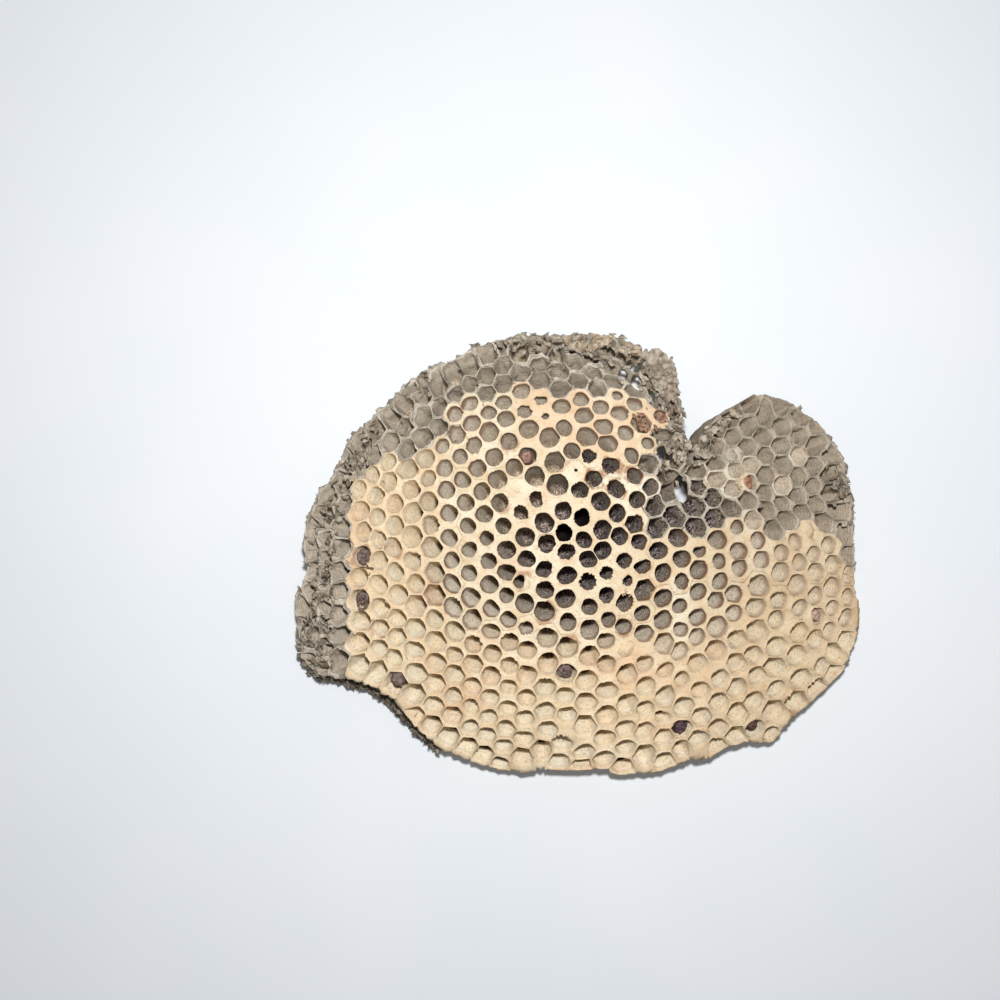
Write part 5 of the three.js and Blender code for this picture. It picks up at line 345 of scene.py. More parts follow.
    [59.41,-60.38,9.44], [65.10,-56.81,9.46], [66.97,44.01,11.77], [61.79,50.36,10.64],
    [65.78,49.48,9.57], [69.67,47.75,8.86], [66.33,37.79,14.48], [69.05,40.87,12.27],
    [66.09,31.67,16.46], [68.25,34.79,14.76], [65.94,25.35,18.00], [67.92,28.45,16.64],
    [65.54,19.04,19.23], [67.42,21.83,18.18], [66.44,13.92,19.59], [67.63,16.18,18.96],
    [68.68,7.63,19.43], [69.43,10.82,18.94], [70.62,0.80,19.09], [71.71,3.94,18.63],
    [71.11,-5.43,18.92], [72.93,-2.24,18.35], [70.99,-12.80,18.60], [72.90,-9.03,18.20],
    [71.71,-20.11,17.66], [73.40,-16.29,17.52], [71.54,-27.82,16.54], [73.92,-23.71,16.42],
    [72.41,-35.58,14.57], [74.30,-31.50,14.85], [72.05,-42.96,12.58], [74.85,-39.28,12.68],
    [71.70,-50.27,10.05], [74.62,-47.59,9.99], [73.16,40.93,10.53], [73.31,45.13,8.56],
    [75.64,43.52,8.25], [71.88,34.64,13.40], [74.05,37.69,11.42], [71.45,28.27,15.39],
    [73.24,31.34,13.86], [70.79,21.71,17.04], [72.82,25.05,15.62], [71.49,16.02,17.68],
    [72.76,18.76,16.82], [73.45,10.63,17.59], [74.32,13.57,16.96], [75.55,3.65,17.30],
    [76.54,7.14,16.73], [76.86,-2.56,16.95], [78.40,0.18,16.34], [76.93,-9.35,16.77],
    [79.06,-6.08,16.07], [77.13,-16.59,16.16], [78.75,-13.44,15.83], [77.37,-23.64,15.17],
    [78.90,-20.35,15.05], [78.48,-31.21,13.34], [79.16,-27.46,13.83], [78.75,-38.77,11.30],
    [80.49,-34.78,11.68], [76.51,-45.84,9.90], [80.25,-42.20,9.61], [80.10,39.51,7.86],
    [77.97,41.91,7.86], [79.76,39.90,7.87], [77.04,31.56,12.19], [82.41,36.67,7.85],
    [76.50,25.25,14.10], [78.93,28.69,12.18], [76.54,19.13,15.31], [78.23,22.29,14.02],
    [78.37,13.61,15.39], [79.31,16.43,14.61], [81.14,6.88,14.92], [82.10,10.40,14.19],
    [82.56,0.03,14.66], [84.32,3.23,13.77], [82.92,-6.65,14.50], [84.88,-3.27,13.69],
    [82.57,-13.64,14.28], [84.60,-10.13,13.64], [82.04,-20.48,13.78], [84.09,-16.93,13.33],
    [82.35,-27.58,12.50], [83.71,-23.89,12.57], [86.31,-35.42,8.92], [87.51,-32.53,9.09],
    [82.81,-39.99,9.21], [85.67,-37.01,8.79], [86.20,30.51,8.07], [83.42,35.11,7.92],
    [85.33,32.22,7.96], [81.94,22.60,12.31], [87.67,27.50,8.21], [88.38,16.52,10.38],
    [88.51,19.90,9.67], [87.95,10.28,11.50], [88.19,13.88,10.91], [88.44,2.97,11.88],
    [88.15,5.88,11.83], [88.52,-3.34,12.02], [88.54,-0.04,11.96], [88.30,-10.10,11.96],
    [88.53,-6.77,11.97], [89.94,-16.49,10.67], [89.29,-13.52,11.26], [90.53,-24.68,9.25],
    [90.41,-19.44,10.10], [88.02,-31.34,9.13], [89.63,-27.74,9.13],
])
CELLS = [
    [-87.87,-16.10,11.04,0,0.86,5,4,3,2,1,0], [-88.08,-23.57,9.76,0,0.89,9,0,1,8,7,6],
    [-84.48,8.40,12.20,0,0.88,15,14,13,12,11,10], [-84.39,1.45,13.14,0,0.85,19,10,11,18,17,16],
    [-84.33,-5.23,13.49,0,0.85,23,16,17,22,21,20], [-84.35,-11.95,13.29,0,0.85,25,20,21,4,5,24],
    [-84.46,-19.32,12.44,0,0.87,27,24,5,0,9,26], [-84.70,-26.82,10.87,0,0.86,30,26,9,6,29,28],
    [-85.55,-34.41,8.24,0,0.87,34,28,29,33,32,31], [-78.35,19.13,13.08,0,0.82,40,39,38,37,36,35],
    [-80.33,11.82,13.80,0,0.89,42,35,36,14,15,41], [-80.53,5.12,14.76,0,0.86,44,41,15,10,19,43],
    [-80.47,-1.78,15.33,0,0.87,46,43,19,16,23,45], [-80.47,-8.44,15.36,0,0.86,48,45,23,20,25,47],
    [-80.52,-15.16,14.88,0,0.85,50,47,25,24,27,49], [-80.66,-22.53,13.76,0,0.87,52,49,27,26,30,51],
    [-80.93,-30.06,11.92,0,0.88,54,51,30,28,34,53], [-81.55,-37.58,9.20,0,0.86,57,53,34,31,56,55],
    [-72.95,30.67,11.97,0,0.86,63,62,61,60,59,58], [-73.82,23.41,14.11,0,0.87,65,58,59,39,40,64],
    [-74.97,15.87,15.57,0,0.84,67,64,40,35,42,66], [-75.59,8.13,16.69,0,0.83,69,66,42,41,44,68],
    [-76.09,1.98,17.11,0,0.87,71,68,44,43,46,70], [-76.12,-4.92,17.34,0,0.85,73,70,46,45,48,72],
    [-76.17,-11.57,17.09,0,0.82,75,72,48,47,50,74], [-76.23,-18.30,16.38,0,0.84,77,74,50,49,52,76],
    [-76.41,-25.68,15.01,0,0.85,79,76,52,51,54,78], [-77.22,-33.74,12.54,0,0.84,81,78,54,53,57,80],
    [-68.62,34.93,12.43,0,0.83,85,84,83,62,63,82], [-69.17,27.96,14.82,0,0.86,87,82,63,58,65,86],
    [-69.48,20.91,16.80,1,0.78,89,86,65,64,67,88], [-69.22,13.86,18.44,1,0.72,91,88,67,66,69,90],
    [-67.74,7.31,19.92,1,0.70,93,90,69,68,71,92], [-68.51,-0.34,20.18,4,0.75,95,92,71,70,73,94],
    [-69.30,-6.91,19.92,1,0.75,97,94,73,72,75,96], [-69.19,-13.87,19.54,4,0.70,99,96,75,74,77,98],
    [-68.64,-20.62,18.88,1,0.70,101,98,77,76,79,100], [-69.62,-27.42,17.23,1,0.79,103,100,79,78,81,102],
    [-69.33,-34.55,15.44,1,0.72,106,102,81,80,105,104], [-64.03,39.02,12.89,0,0.84,110,109,108,84,85,107],
    [-64.46,32.29,15.39,0,0.87,112,107,85,82,87,111], [-64.70,25.60,17.47,1,0.75,114,111,87,86,89,113],
    [-63.82,18.97,19.46,1,0.79,116,113,89,88,91,115], [-63.30,12.36,20.81,1,0.67,118,115,91,90,93,117],
    [-63.01,5.22,21.68,1,0.70,120,117,93,92,95,119], [-62.66,-1.41,22.07,1,0.69,122,119,95,94,97,121],
    [-62.69,-9.21,21.90,1,0.65,124,121,97,96,99,123], [-61.84,-16.56,21.51,1,0.74,126,123,99,98,101,125],
    [-62.47,-22.69,20.45,1,0.76,128,125,101,100,103,127], [-63.21,-29.15,18.90,1,0.70,130,127,103,102,106,129],
    [-64.25,-36.62,16.50,1,0.80,133,129,106,104,132,131], [-59.21,42.91,13.38,0,0.88,137,136,135,109,110,134],
    [-59.40,36.29,16.03,0,0.87,139,134,110,107,112,138], [-59.58,29.74,18.18,1,0.76,141,138,112,111,114,140],
    [-60.31,23.36,19.68,1,0.78,143,140,114,113,116,142], [-57.70,16.26,21.94,1,0.67,145,142,116,115,118,144],
    [-58.09,9.65,22.71,1,0.77,147,144,118,117,120,146], [-58.31,2.75,23.16,1,0.77,149,146,120,119,122,148],
    [-57.18,-4.82,23.52,1,0.65,151,148,122,121,124,150], [-56.70,-12.16,23.26,1,0.75,153,150,124,123,126,152],
    [-57.16,-19.05,22.40,1,0.72,155,152,126,125,128,154], [-57.03,-25.43,21.37,1,0.77,157,154,128,127,130,156],
    [-57.97,-31.96,19.65,1,0.71,159,156,130,129,133,158], [-57.76,-39.87,17.31,4,0.75,162,158,133,131,161,160],
    [-54.33,53.24,10.44,0,0.87,168,167,166,165,164,163], [-54.32,46.66,13.80,0,0.84,170,163,164,136,137,169],
    [-54.25,40.08,16.61,0,0.87,172,169,137,134,139,171], [-54.04,33.51,18.96,0,0.86,174,171,139,138,141,173],
    [-53.35,26.86,21.03,1,0.76,176,173,141,140,143,175], [-52.34,20.79,22.62,1,0.71,178,175,143,142,145,177],
    [-51.91,13.68,23.83,1,0.79,180,177,145,144,147,179], [-52.14,6.27,24.47,1,0.77,182,179,147,146,149,181],
    [-52.07,-1.41,24.72,1,0.73,184,181,149,148,151,183], [-50.94,-8.33,24.76,1,0.77,186,183,151,150,153,185],
    [-51.20,-15.51,24.13,1,0.80,188,185,153,152,155,187], [-51.26,-22.70,23.14,1,0.82,190,187,155,154,157,189],
    [-51.06,-29.67,21.80,1,0.66,192,189,157,156,159,191], [-50.64,-36.75,20.02,1,0.78,194,191,159,158,162,193],
    [-51.44,-43.67,17.51,1,0.76,197,193,162,160,196,195], [-52.09,-50.74,14.34,1,0.73,201,195,196,200,199,198],
    [-49.56,56.79,10.59,5,0.84,205,204,203,167,168,202], [-49.46,50.28,14.09,0,0.89,207,202,168,163,170,206],
    [-49.24,43.76,17.01,0,0.83,209,206,170,169,172,208], [-48.82,37.20,19.48,0,0.87,211,208,172,171,174,210],
    [-48.15,30.60,21.56,1,0.80,213,210,174,173,176,212], [-47.28,24.02,23.25,1,0.66,215,212,176,175,178,214],
    [-46.54,17.19,24.56,1,0.72,217,214,178,177,180,216], [-46.26,9.93,25.41,1,0.67,219,216,180,179,182,218],
    [-46.10,2.46,25.82,1,0.75,221,218,182,181,184,220], [-45.66,-4.92,25.86,1,0.81,223,220,184,183,186,222],
    [-45.29,-12.15,25.51,1,0.84,225,222,186,185,188,224], [-45.20,-19.38,24.73,1,0.65,227,224,188,187,190,226],
    [-45.03,-26.52,23.58,1,0.71,229,226,190,189,192,228], [-44.85,-33.56,22.02,1,0.77,231,228,192,191,194,230],
    [-45.01,-40.48,19.96,1,0.81,233,230,194,193,197,232], [-45.60,-47.30,17.33,1,0.76,235,232,197,195,201,234],
    [-46.37,-54.13,14.05,1,0.70,238,234,201,198,237,236], [-44.62,53.79,14.20,0,0.87,241,240,205,202,207,239],
    [-44.35,47.36,17.23,0,0.86,243,239,207,206,209,242], [-43.87,40.84,19.78,0,0.86,245,242,209,208,211,244],
    [-43.15,34.19,21.93,1,0.70,247,244,211,210,213,246], [-42.25,27.42,23.70,1,0.75,249,246,213,212,215,248],
    [-41.39,20.53,25.08,1,0.75,251,248,215,214,217,250], [-40.75,13.38,26.07,1,0.73,253,250,217,216,219,252],
    [-40.33,6.01,26.64,1,0.72,255,252,219,218,221,254], [-39.94,-1.40,26.80,1,0.67,257,254,221,220,223,256],
    [-39.56,-8.73,26.59,1,0.71,259,256,223,222,225,258], [-39.32,-16.01,25.99,1,0.80,261,258,225,224,227,260],
    [-39.14,-23.26,25.02,1,0.73,263,260,227,226,229,262], [-38.98,-30.39,23.67,1,0.66,265,262,229,228,231,264],
    [-39.00,-37.35,21.91,1,0.80,267,264,231,230,233,266], [-39.37,-44.12,19.67,1,0.76,269,266,233,232,235,268],
    [-40.03,-50.77,16.91,1,0.84,271,268,235,234,238,270], [-40.85,-57.41,13.51,1,0.74,274,270,238,236,273,272],
    [-39.73,57.16,14.10,5,0.85,278,277,276,240,241,275], [-39.49,50.85,17.25,0,0.83,280,275,241,239,243,279],
    [-39.03,44.45,19.89,1,0.80,282,279,243,242,245,281], [-38.32,37.83,22.12,1,0.86,284,281,245,244,247,283],
    [-37.39,30.95,23.97,1,0.69,286,283,247,246,249,285], [-36.42,23.91,25.43,1,0.70,288,285,249,248,251,287],
    [-35.57,16.75,26.51,1,0.76,290,287,251,250,253,289], [-34.88,9.47,27.20,1,0.69,292,289,253,252,255,291],
    [-34.30,2.15,27.51,1,0.72,294,291,255,254,257,293], [-33.87,-5.17,27.43,1,0.72,296,293,257,256,259,295],
    [-33.60,-12.48,26.99,1,0.74,298,295,259,258,261,297], [-33.39,-19.77,26.20,1,0.79,300,297,261,260,263,299],
    [-33.23,-27.00,25.05,1,0.74,302,299,263,262,265,301], [-33.19,-34.10,23.52,1,0.78,304,301,265,264,267,303],
    [-33.40,-40.97,21.57,1,0.71,306,303,267,266,269,305], [-33.87,-47.61,19.19,1,0.75,308,305,269,268,271,307],
    [-34.57,-54.10,16.30,1,0.63,310,307,271,270,274,309], [-35.43,-60.59,12.78,1,0.66,313,309,274,272,312,311],
    [-34.73,60.41,13.77,5,0.88,317,316,315,277,278,314], [-34.56,54.19,17.08,0,0.85,319,314,278,275,280,318],
    [-34.19,47.98,19.80,1,0.76,321,318,280,279,282,320], [-33.55,41.54,22.10,1,0.76,323,320,282,281,284,322],
    [-32.61,34.67,24.06,1,0.80,325,322,284,283,286,324], [-31.52,27.47,25.63,1,0.78,327,324,286,285,288,326],
    [-30.54,20.21,26.78,1,0.79,329,326,288,287,290,328], [-29.69,12.95,27.56,1,0.73,331,328,290,289,292,330],
    [-28.90,5.71,27.99,1,0.70,333,330,292,291,294,332], [-28.28,-1.49,28.06,1,0.70,335,332,294,293,296,334],
    [-28.01,-8.73,27.77,1,0.71,337,334,296,295,298,336], [-27.85,-16.00,27.15,1,0.68,339,336,298,297,300,338],
    [-27.64,-23.27,26.20,1,0.71,341,338,300,299,302,340], [-27.52,-30.53,24.88,1,0.73,343,340,302,301,304,342],
    [-27.60,-37.66,23.17,1,0.75,345,342,304,303,306,344], [-27.90,-44.46,21.06,1,0.72,347,344,306,305,308,346],
    [-28.40,-51.01,18.54,1,0.64,349,346,308,307,310,348], [-29.14,-57.36,15.52,1,0.73,351,348,310,309,313,350],
    [-30.06,-63.73,11.85,1,0.75,354,350,313,311,353,352], [-29.57,63.55,13.12,5,0.88,358,357,356,316,317,355],
    [-29.46,57.36,16.67,5,0.87,360,355,317,314,319,359], [-29.19,51.28,19.53,0,0.85,362,359,319,318,321,361],
    [-28.68,45.18,21.88,1,0.70,364,361,321,320,323,363], [-27.86,38.59,23.91,1,0.84,366,363,323,322,325,365],
    [-26.67,31.26,25.66,1,0.77,368,365,325,324,327,367], [-25.49,23.85,26.92,1,0.83,370,367,327,326,329,369],
    [-24.59,16.59,27.76,1,0.84,372,369,329,328,331,371], [-23.67,9.38,28.29,1,0.69,374,371,331,330,333,373],
    [-22.89,2.32,28.48,1,0.75,376,373,333,332,335,375], [-22.19,-4.75,28.36,1,0.76,378,375,335,334,337,377],
    [-22.64,-11.88,27.88,1,0.76,380,377,337,336,339,379], [-22.12,-19.28,27.13,1,0.76,382,379,339,338,341,381],
    [-22.07,-26.37,26.07,1,0.75,384,381,341,340,343,383], [-21.79,-34.12,24.53,1,0.74,386,383,343,342,345,385],
    [-22.16,-41.08,22.67,1,0.66,388,385,345,344,347,387], [-22.35,-47.94,20.38,1,0.73,390,387,347,346,349,389],
    [-22.84,-54.41,17.69,1,0.70,392,389,349,348,351,391], [-23.71,-60.61,14.53,1,0.74,394,391,351,350,354,393],
    [-24.70,-66.94,10.66,1,0.71,397,393,354,352,396,395], [-24.24,66.66,12.04,5,0.87,401,400,399,357,358,398],
    [-24.15,60.47,15.91,5,0.88,403,398,358,355,360,402], [-23.96,54.37,19.03,0,0.87,405,402,360,359,362,404],
    [-23.53,48.40,21.52,1,0.75,407,404,362,361,364,406], [-22.95,42.71,23.46,1,0.74,409,406,364,363,366,408],
    [-22.02,35.50,25.37,1,0.71,411,408,366,365,368,410], [-20.01,27.51,26.97,1,0.73,413,410,368,367,370,412],
    [-19.38,20.50,27.84,2,0.30,415,412,370,369,372,414], [-18.59,13.30,28.42,1,0.62,417,414,372,371,374,416],
    [-17.39,6.00,28.75,1,0.74,419,416,374,373,376,418], [-17.10,-0.38,28.73,1,0.76,421,418,376,375,378,420],
    [-18.14,-7.84,28.38,1,0.55,423,420,378,377,380,422], [-17.10,-14.28,27.91,1,0.78,425,422,380,379,382,424],
    [-16.99,-21.60,27.07,1,0.70,427,424,382,381,384,426], [-16.41,-29.06,25.89,1,0.70,429,426,384,383,386,428],
    [-16.91,-37.13,24.10,1,0.73,431,428,386,385,388,430], [-16.39,-44.45,22.04,1,0.71,433,430,388,387,390,432],
    [-16.56,-51.51,19.48,1,0.75,435,432,390,389,392,434], [-17.18,-57.98,16.56,1,0.71,437,434,392,391,394,436],
    [-18.40,-63.67,13.43,1,0.68,439,436,394,393,397,438], [-18.64,63.58,14.69,5,0.84,442,441,401,398,403,440],
    [-18.45,57.53,18.10,5,0.89,444,440,403,402,405,443], [-18.21,51.42,20.89,1,0.74,446,443,405,404,407,445],
    [-17.34,45.14,23.22,1,0.68,448,445,407,406,409,447], [-16.17,39.83,24.82,1,0.74,450,447,409,408,411,449],
    [-16.48,31.09,26.66,4,0.72,452,449,411,410,413,451], [-13.97,24.93,27.69,1,0.82,454,451,413,412,415,453],
    [-13.25,17.58,28.42,1,0.55,456,453,415,414,417,455], [-11.02,10.76,28.84,1,0.76,458,455,417,416,419,457],
    [-10.64,4.26,28.96,1,0.76,460,457,419,418,421,459], [-11.16,-3.66,28.78,1,0.66,462,459,421,420,423,461],
    [-11.19,-9.84,28.44,1,0.75,464,461,423,422,425,463], [-11.11,-16.84,27.83,1,0.78,466,463,425,424,427,465],
    [-9.98,-25.29,26.76,1,0.76,468,465,427,426,429,467], [-9.94,-33.11,25.33,1,0.75,470,467,429,428,431,469],
    [-10.95,-40.71,23.44,1,0.78,472,469,431,430,433,471], [-10.59,-49.11,20.77,1,0.74,474,471,433,432,435,473],
    [-10.33,-54.36,18.71,1,0.75,476,473,435,434,437,475], [-11.45,-62.56,14.66,1,0.73,478,475,437,436,439,477],
    [-13.05,66.61,13.00,5,0.87,482,481,480,441,442,479], [-12.73,60.69,16.69,5,0.84,484,479,442,440,444,483],
    [-12.37,54.90,19.66,0,0.88,486,483,444,443,446,485], [-12.18,49.12,22.07,1,0.45,488,485,446,445,448,487],
    [-10.79,43.86,23.87,1,0.30,490,487,448,447,450,489], [-9.58,36.68,25.78,1,0.75,492,489,450,449,452,491],
    [-7.83,29.26,27.20,1,0.82,494,491,452,451,454,493], [-6.85,22.19,28.13,1,0.78,496,493,454,453,456,495],
    [-5.90,14.08,28.77,1,0.71,498,495,456,455,458,497], [-5.24,7.52,28.98,1,0.80,500,497,458,457,460,499],
    [-4.39,1.50,28.97,1,0.71,502,499,460,459,462,501], [-4.12,-5.65,28.75,1,0.73,504,501,462,461,464,503],
    [-4.60,-12.88,28.29,1,0.74,506,503,464,463,466,505], [-4.01,-20.22,27.55,1,0.62,508,505,466,465,468,507],
    [-4.19,-27.97,26.43,1,0.74,510,507,468,467,470,509], [-4.43,-36.59,24.69,4,0.70,512,509,470,469,472,511],
    [-4.38,-43.61,22.82,1,0.70,514,511,472,471,474,513], [-3.79,-49.32,20.95,1,0.66,516,513,474,473,476,515],
    [-5.52,-60.10,16.30,1,0.66,518,515,476,475,478,517], [-6.41,-65.80,13.16,1,0.69,521,517,478,477,520,519],
    [-7.08,63.59,14.94,5,0.88,524,523,482,479,484,522], [-6.52,57.93,18.15,5,0.89,526,522,484,483,486,525],
    [-5.65,52.59,20.65,0,0.86,528,525,486,485,488,527], [-5.89,46.54,22.98,1,0.79,530,527,488,487,490,529],
    [-5.00,39.67,25.02,1,0.72,532,529,490,489,492,531], [-2.51,32.55,26.56,1,0.72,534,531,492,491,494,533],
    [-1.68,26.50,27.54,2,0.12,536,533,494,493,496,535], [-0.06,20.20,28.25,1,0.76,538,535,496,495,498,537],
    [0.60,12.06,28.80,1,0.70,540,537,498,497,500,539], [1.21,5.00,28.94,1,0.75,542,539,500,499,502,541],
    [2.08,-1.06,28.86,1,0.76,544,541,502,501,504,543], [1.90,-7.99,28.59,1,0.69,546,543,504,503,506,545],
    [2.47,-15.51,28.04,1,0.66,548,545,506,505,508,547], [2.54,-22.34,27.28,1,0.72,550,547,508,507,510,549],
    [2.58,-30.84,25.94,1,0.72,552,549,510,509,512,551], [2.12,-38.40,24.31,1,0.72,554,551,512,511,514,553],
    [1.97,-45.98,22.17,1,0.78,556,553,514,513,516,555], [2.06,-52.72,19.78,1,0.82,558,555,516,515,518,557],
    [1.92,-62.42,15.34,1,0.71,560,557,518,517,521,559], [0.56,-66.78,12.88,1,0.77,563,559,521,519,562,561],
    [-1.57,66.29,12.89,5,0.88,567,566,565,523,524,564], [-0.98,60.59,16.45,5,0.87,569,564,524,522,526,568],
    [-0.26,55.03,19.32,0,0.88,571,568,526,525,528,570], [0.37,48.92,21.89,1,0.72,573,570,528,527,530,572],
    [1.18,43.89,23.60,1,0.77,575,572,530,529,532,574], [2.05,36.55,25.57,1,0.84,577,574,532,531,534,576],
    [2.72,30.79,26.74,1,0.62,579,576,534,533,536,578], [3.93,23.54,27.80,1,0.70,581,578,536,535,538,580],
    [6.14,17.16,28.37,1,0.77,583,580,538,537,540,582], [6.24,8.50,28.77,1,0.80,585,582,540,539,542,584],
    [6.63,1.91,28.79,1,0.75,587,584,542,541,544,586], [8.05,-4.99,28.59,1,0.60,589,586,544,543,546,588],
    [7.89,-11.68,28.24,1,0.65,591,588,546,545,548,590], [8.70,-19.49,27.51,1,0.67,593,590,548,547,550,592],
    [8.25,-26.05,26.66,1,0.76,595,592,550,549,552,594], [8.33,-33.52,25.34,1,0.73,597,594,552,551,554,596],
    [8.22,-41.99,23.31,1,0.68,599,596,554,553,556,598], [8.40,-50.34,20.66,1,0.80,601,598,556,555,558,600],
    [8.33,-57.96,17.55,1,0.75,603,600,558,557,560,602], [8.22,-65.01,13.98,1,0.68,605,602,560,559,563,604],
    [3.93,68.89,10.51,5,0.87,609,608,607,566,567,606], [4.42,63.06,14.54,5,0.85,611,606,567,564,569,610],
    [5.13,57.59,17.65,5,0.82,613,610,569,568,571,612], [5.87,52.27,20.17,0,0.85,615,612,571,570,573,614],
    [6.63,46.63,22.38,1,0.75,617,614,573,572,575,616], [7.44,40.09,24.42,1,0.77,619,616,575,574,577,618],
    [8.62,34.81,25.69,1,0.74,621,618,577,576,579,620], [9.77,27.80,26.99,1,0.70,623,620,579,578,581,622],
    [11.20,21.18,27.80,1,0.76,625,622,581,580,583,624], [11.53,13.29,28.39,1,0.72,627,624,583,582,585,626],
    [12.12,6.67,28.56,1,0.79,629,626,585,584,587,628], [13.58,-0.96,28.47,1,0.74,631,628,587,586,589,630],
    [14.50,-7.14,28.23,1,0.60,633,630,589,588,591,632], [13.78,-14.10,27.84,1,0.76,635,632,591,590,593,634],
    [13.82,-21.66,27.08,1,0.68,637,634,593,592,595,636], [14.10,-29.08,25.99,2,0.00,639,636,595,594,597,638],
    [14.64,-36.67,24.46,1,0.80,641,638,597,596,599,640], [15.42,-46.61,21.72,1,0.75,643,640,599,598,601,642],
    [14.88,-54.42,18.91,1,0.72,645,642,601,600,603,644], [15.35,-60.90,15.97,1,0.75,647,644,603,602,605,646],
    [14.79,-67.42,12.45,1,0.71,650,646,605,604,649,648], [9.86,65.44,12.38,5,0.87,653,652,609,606,611,651],
    [10.48,59.80,15.93,5,0.85,655,651,611,610,613,654], [11.25,54.70,18.60,0,0.87,657,654,613,612,615,656],
    [12.10,50.11,20.63,1,0.50,659,656,615,614,617,658], [12.34,44.91,22.61,1,0.80,661,658,617,616,619,660],
    [13.99,38.08,24.59,1,0.71,663,660,619,618,621,662], [15.93,31.28,26.03,1,0.66,665,662,621,620,623,664],
    [16.54,24.97,27.04,1,0.72,667,664,623,622,625,666], [17.12,18.05,27.75,1,0.72,669,666,625,624,627,668],
    [16.93,10.28,28.20,1,0.74,671,668,627,626,629,670], [18.06,4.71,28.24,1,0.68,673,670,629,628,631,672],
    [18.51,-3.23,28.14,1,0.75,675,672,631,630,633,674], [19.89,-9.98,27.77,1,0.90,677,674,633,632,635,676],
    [18.92,-17.49,27.26,1,0.67,679,676,635,634,637,678], [19.54,-24.06,26.47,1,0.75,681,678,637,636,639,680],
    [20.00,-32.89,24.98,1,0.55,683,680,639,638,641,682], [20.50,-40.86,23.13,1,0.74,685,682,641,640,643,684],
    [20.73,-48.30,20.89,1,0.64,687,684,643,642,645,686], [20.95,-54.93,18.39,1,0.68,689,686,645,644,647,688],
    [20.83,-63.76,14.22,1,0.76,691,688,647,646,650,690], [15.96,61.97,13.99,5,0.86,694,693,653,651,655,692],
    [16.75,56.45,17.16,5,0.89,696,692,655,654,657,695], [17.63,51.66,19.46,0,0.85,698,695,657,656,659,697],
    [17.11,47.49,21.28,1,0.66,700,697,659,658,661,699], [18.66,41.53,23.25,1,0.88,702,699,661,660,663,701],
    [20.59,34.96,24.89,1,0.55,704,701,663,662,665,703], [20.93,28.64,26.14,5,0.84,706,703,665,664,667,705],
    [21.72,21.18,27.10,1,0.75,708,705,667,666,669,707], [23.32,15.91,27.42,0,0.86,710,707,669,668,671,709],
    [23.68,9.23,27.73,0,0.88,712,709,671,670,673,711], [23.83,1.69,27.82,1,0.74,714,711,673,672,675,713],
    [25.25,-4.80,27.59,1,0.70,716,713,675,674,677,715], [25.35,-12.58,27.20,1,0.75,718,715,677,676,679,717],
    [25.95,-19.37,26.56,1,0.87,720,717,679,678,681,719], [26.36,-26.76,25.57,1,0.80,722,719,681,680,683,721],
    [26.32,-35.40,24.00,1,0.60,724,721,683,682,685,723], [26.85,-43.38,21.95,1,0.73,726,723,685,684,687,725],
    [26.58,-50.53,19.66,1,0.69,728,725,687,686,689,727], [26.88,-57.82,16.68,1,0.77,730,727,689,688,691,729],
    [27.03,-66.02,12.48,1,0.73,733,729,691,690,732,731], [22.41,58.57,15.29,5,0.90,736,735,694,692,696,734],
    [23.52,52.64,18.35,5,0.88,738,734,696,695,698,737], [25.90,48.06,20.13,5,0.88,740,737,698,697,700,739],
    [25.72,43.29,21.97,4,0.70,742,739,700,699,702,741], [24.90,37.01,23.96,5,0.86,744,741,702,701,704,743],
    [28.21,31.70,24.83,5,0.87,746,743,704,703,706,745], [25.89,25.78,26.13,5,0.89,748,745,706,705,708,747],
    [27.06,20.22,26.69,0,0.87,750,747,708,707,710,749], [28.85,11.32,27.15,0,0.85,752,749,710,709,712,751],
    [30.55,5.84,27.15,1,0.80,754,751,712,711,714,753], [31.21,-0.76,27.10,1,0.74,756,753,714,713,716,755],
    [31.26,-7.96,26.89,1,0.73,758,755,716,715,718,757], [31.06,-15.25,26.45,1,0.70,760,757,718,717,720,759],
    [31.42,-22.56,25.66,1,0.71,762,759,720,719,722,761], [31.31,-29.48,24.66,1,0.70,764,761,722,721,724,763],
    [32.14,-38.24,22.77,1,0.60,766,763,724,723,726,765], [32.79,-47.41,20.10,1,0.79,768,765,726,725,728,767],
    [32.57,-54.95,17.32,4,0.72,770,767,728,727,730,769], [32.86,-61.77,14.13,1,0.72,772,769,730,729,733,771],
    [28.35,61.30,12.70,5,0.88,776,775,774,735,736,773], [28.33,55.71,16.11,5,0.87,778,773,736,734,738,777],
    [28.94,50.13,18.83,5,0.87,780,777,738,737,740,779], [29.62,44.65,20.99,5,0.81,782,779,740,739,742,781],
    [29.07,39.24,22.85,5,0.86,784,781,742,741,744,783], [37.37,31.12,23.68,0,0.87,790,789,788,787,786,785],
    [36.29,26.43,24.71,0,0.89,792,785,786,745,748,791], [36.60,21.53,25.35,1,0.80,796,791,748,795,794,793],
    [35.17,15.83,26.11,0,0.89,798,793,794,749,752,797], [35.50,9.12,26.46,0,0.84,800,797,752,751,754,799],
    [37.21,1.57,26.39,1,0.50,802,799,754,753,756,801], [36.75,-4.28,26.38,1,0.76,804,801,756,755,758,803],
    [36.46,-10.68,26.15,1,0.74,806,803,758,757,760,805], [36.51,-18.75,25.50,1,0.78,808,805,760,759,762,807],
    [36.34,-25.08,24.75,1,0.73,810,807,762,761,764,809], [36.63,-33.44,23.29,1,0.75,812,809,764,763,766,811],
    [38.36,-42.08,20.99,1,0.66,814,811,766,765,768,813], [38.72,-50.50,18.23,1,0.76,816,813,768,767,770,815],
    [37.67,-57.48,15.54,1,0.71,818,815,770,769,772,817], [44.10,39.05,20.39,0,0.87,824,823,822,821,820,819],
    [42.59,33.97,22.11,0,0.87,826,819,820,789,790,825], [42.09,28.95,23.30,0,0.86,828,825,790,785,792,827],
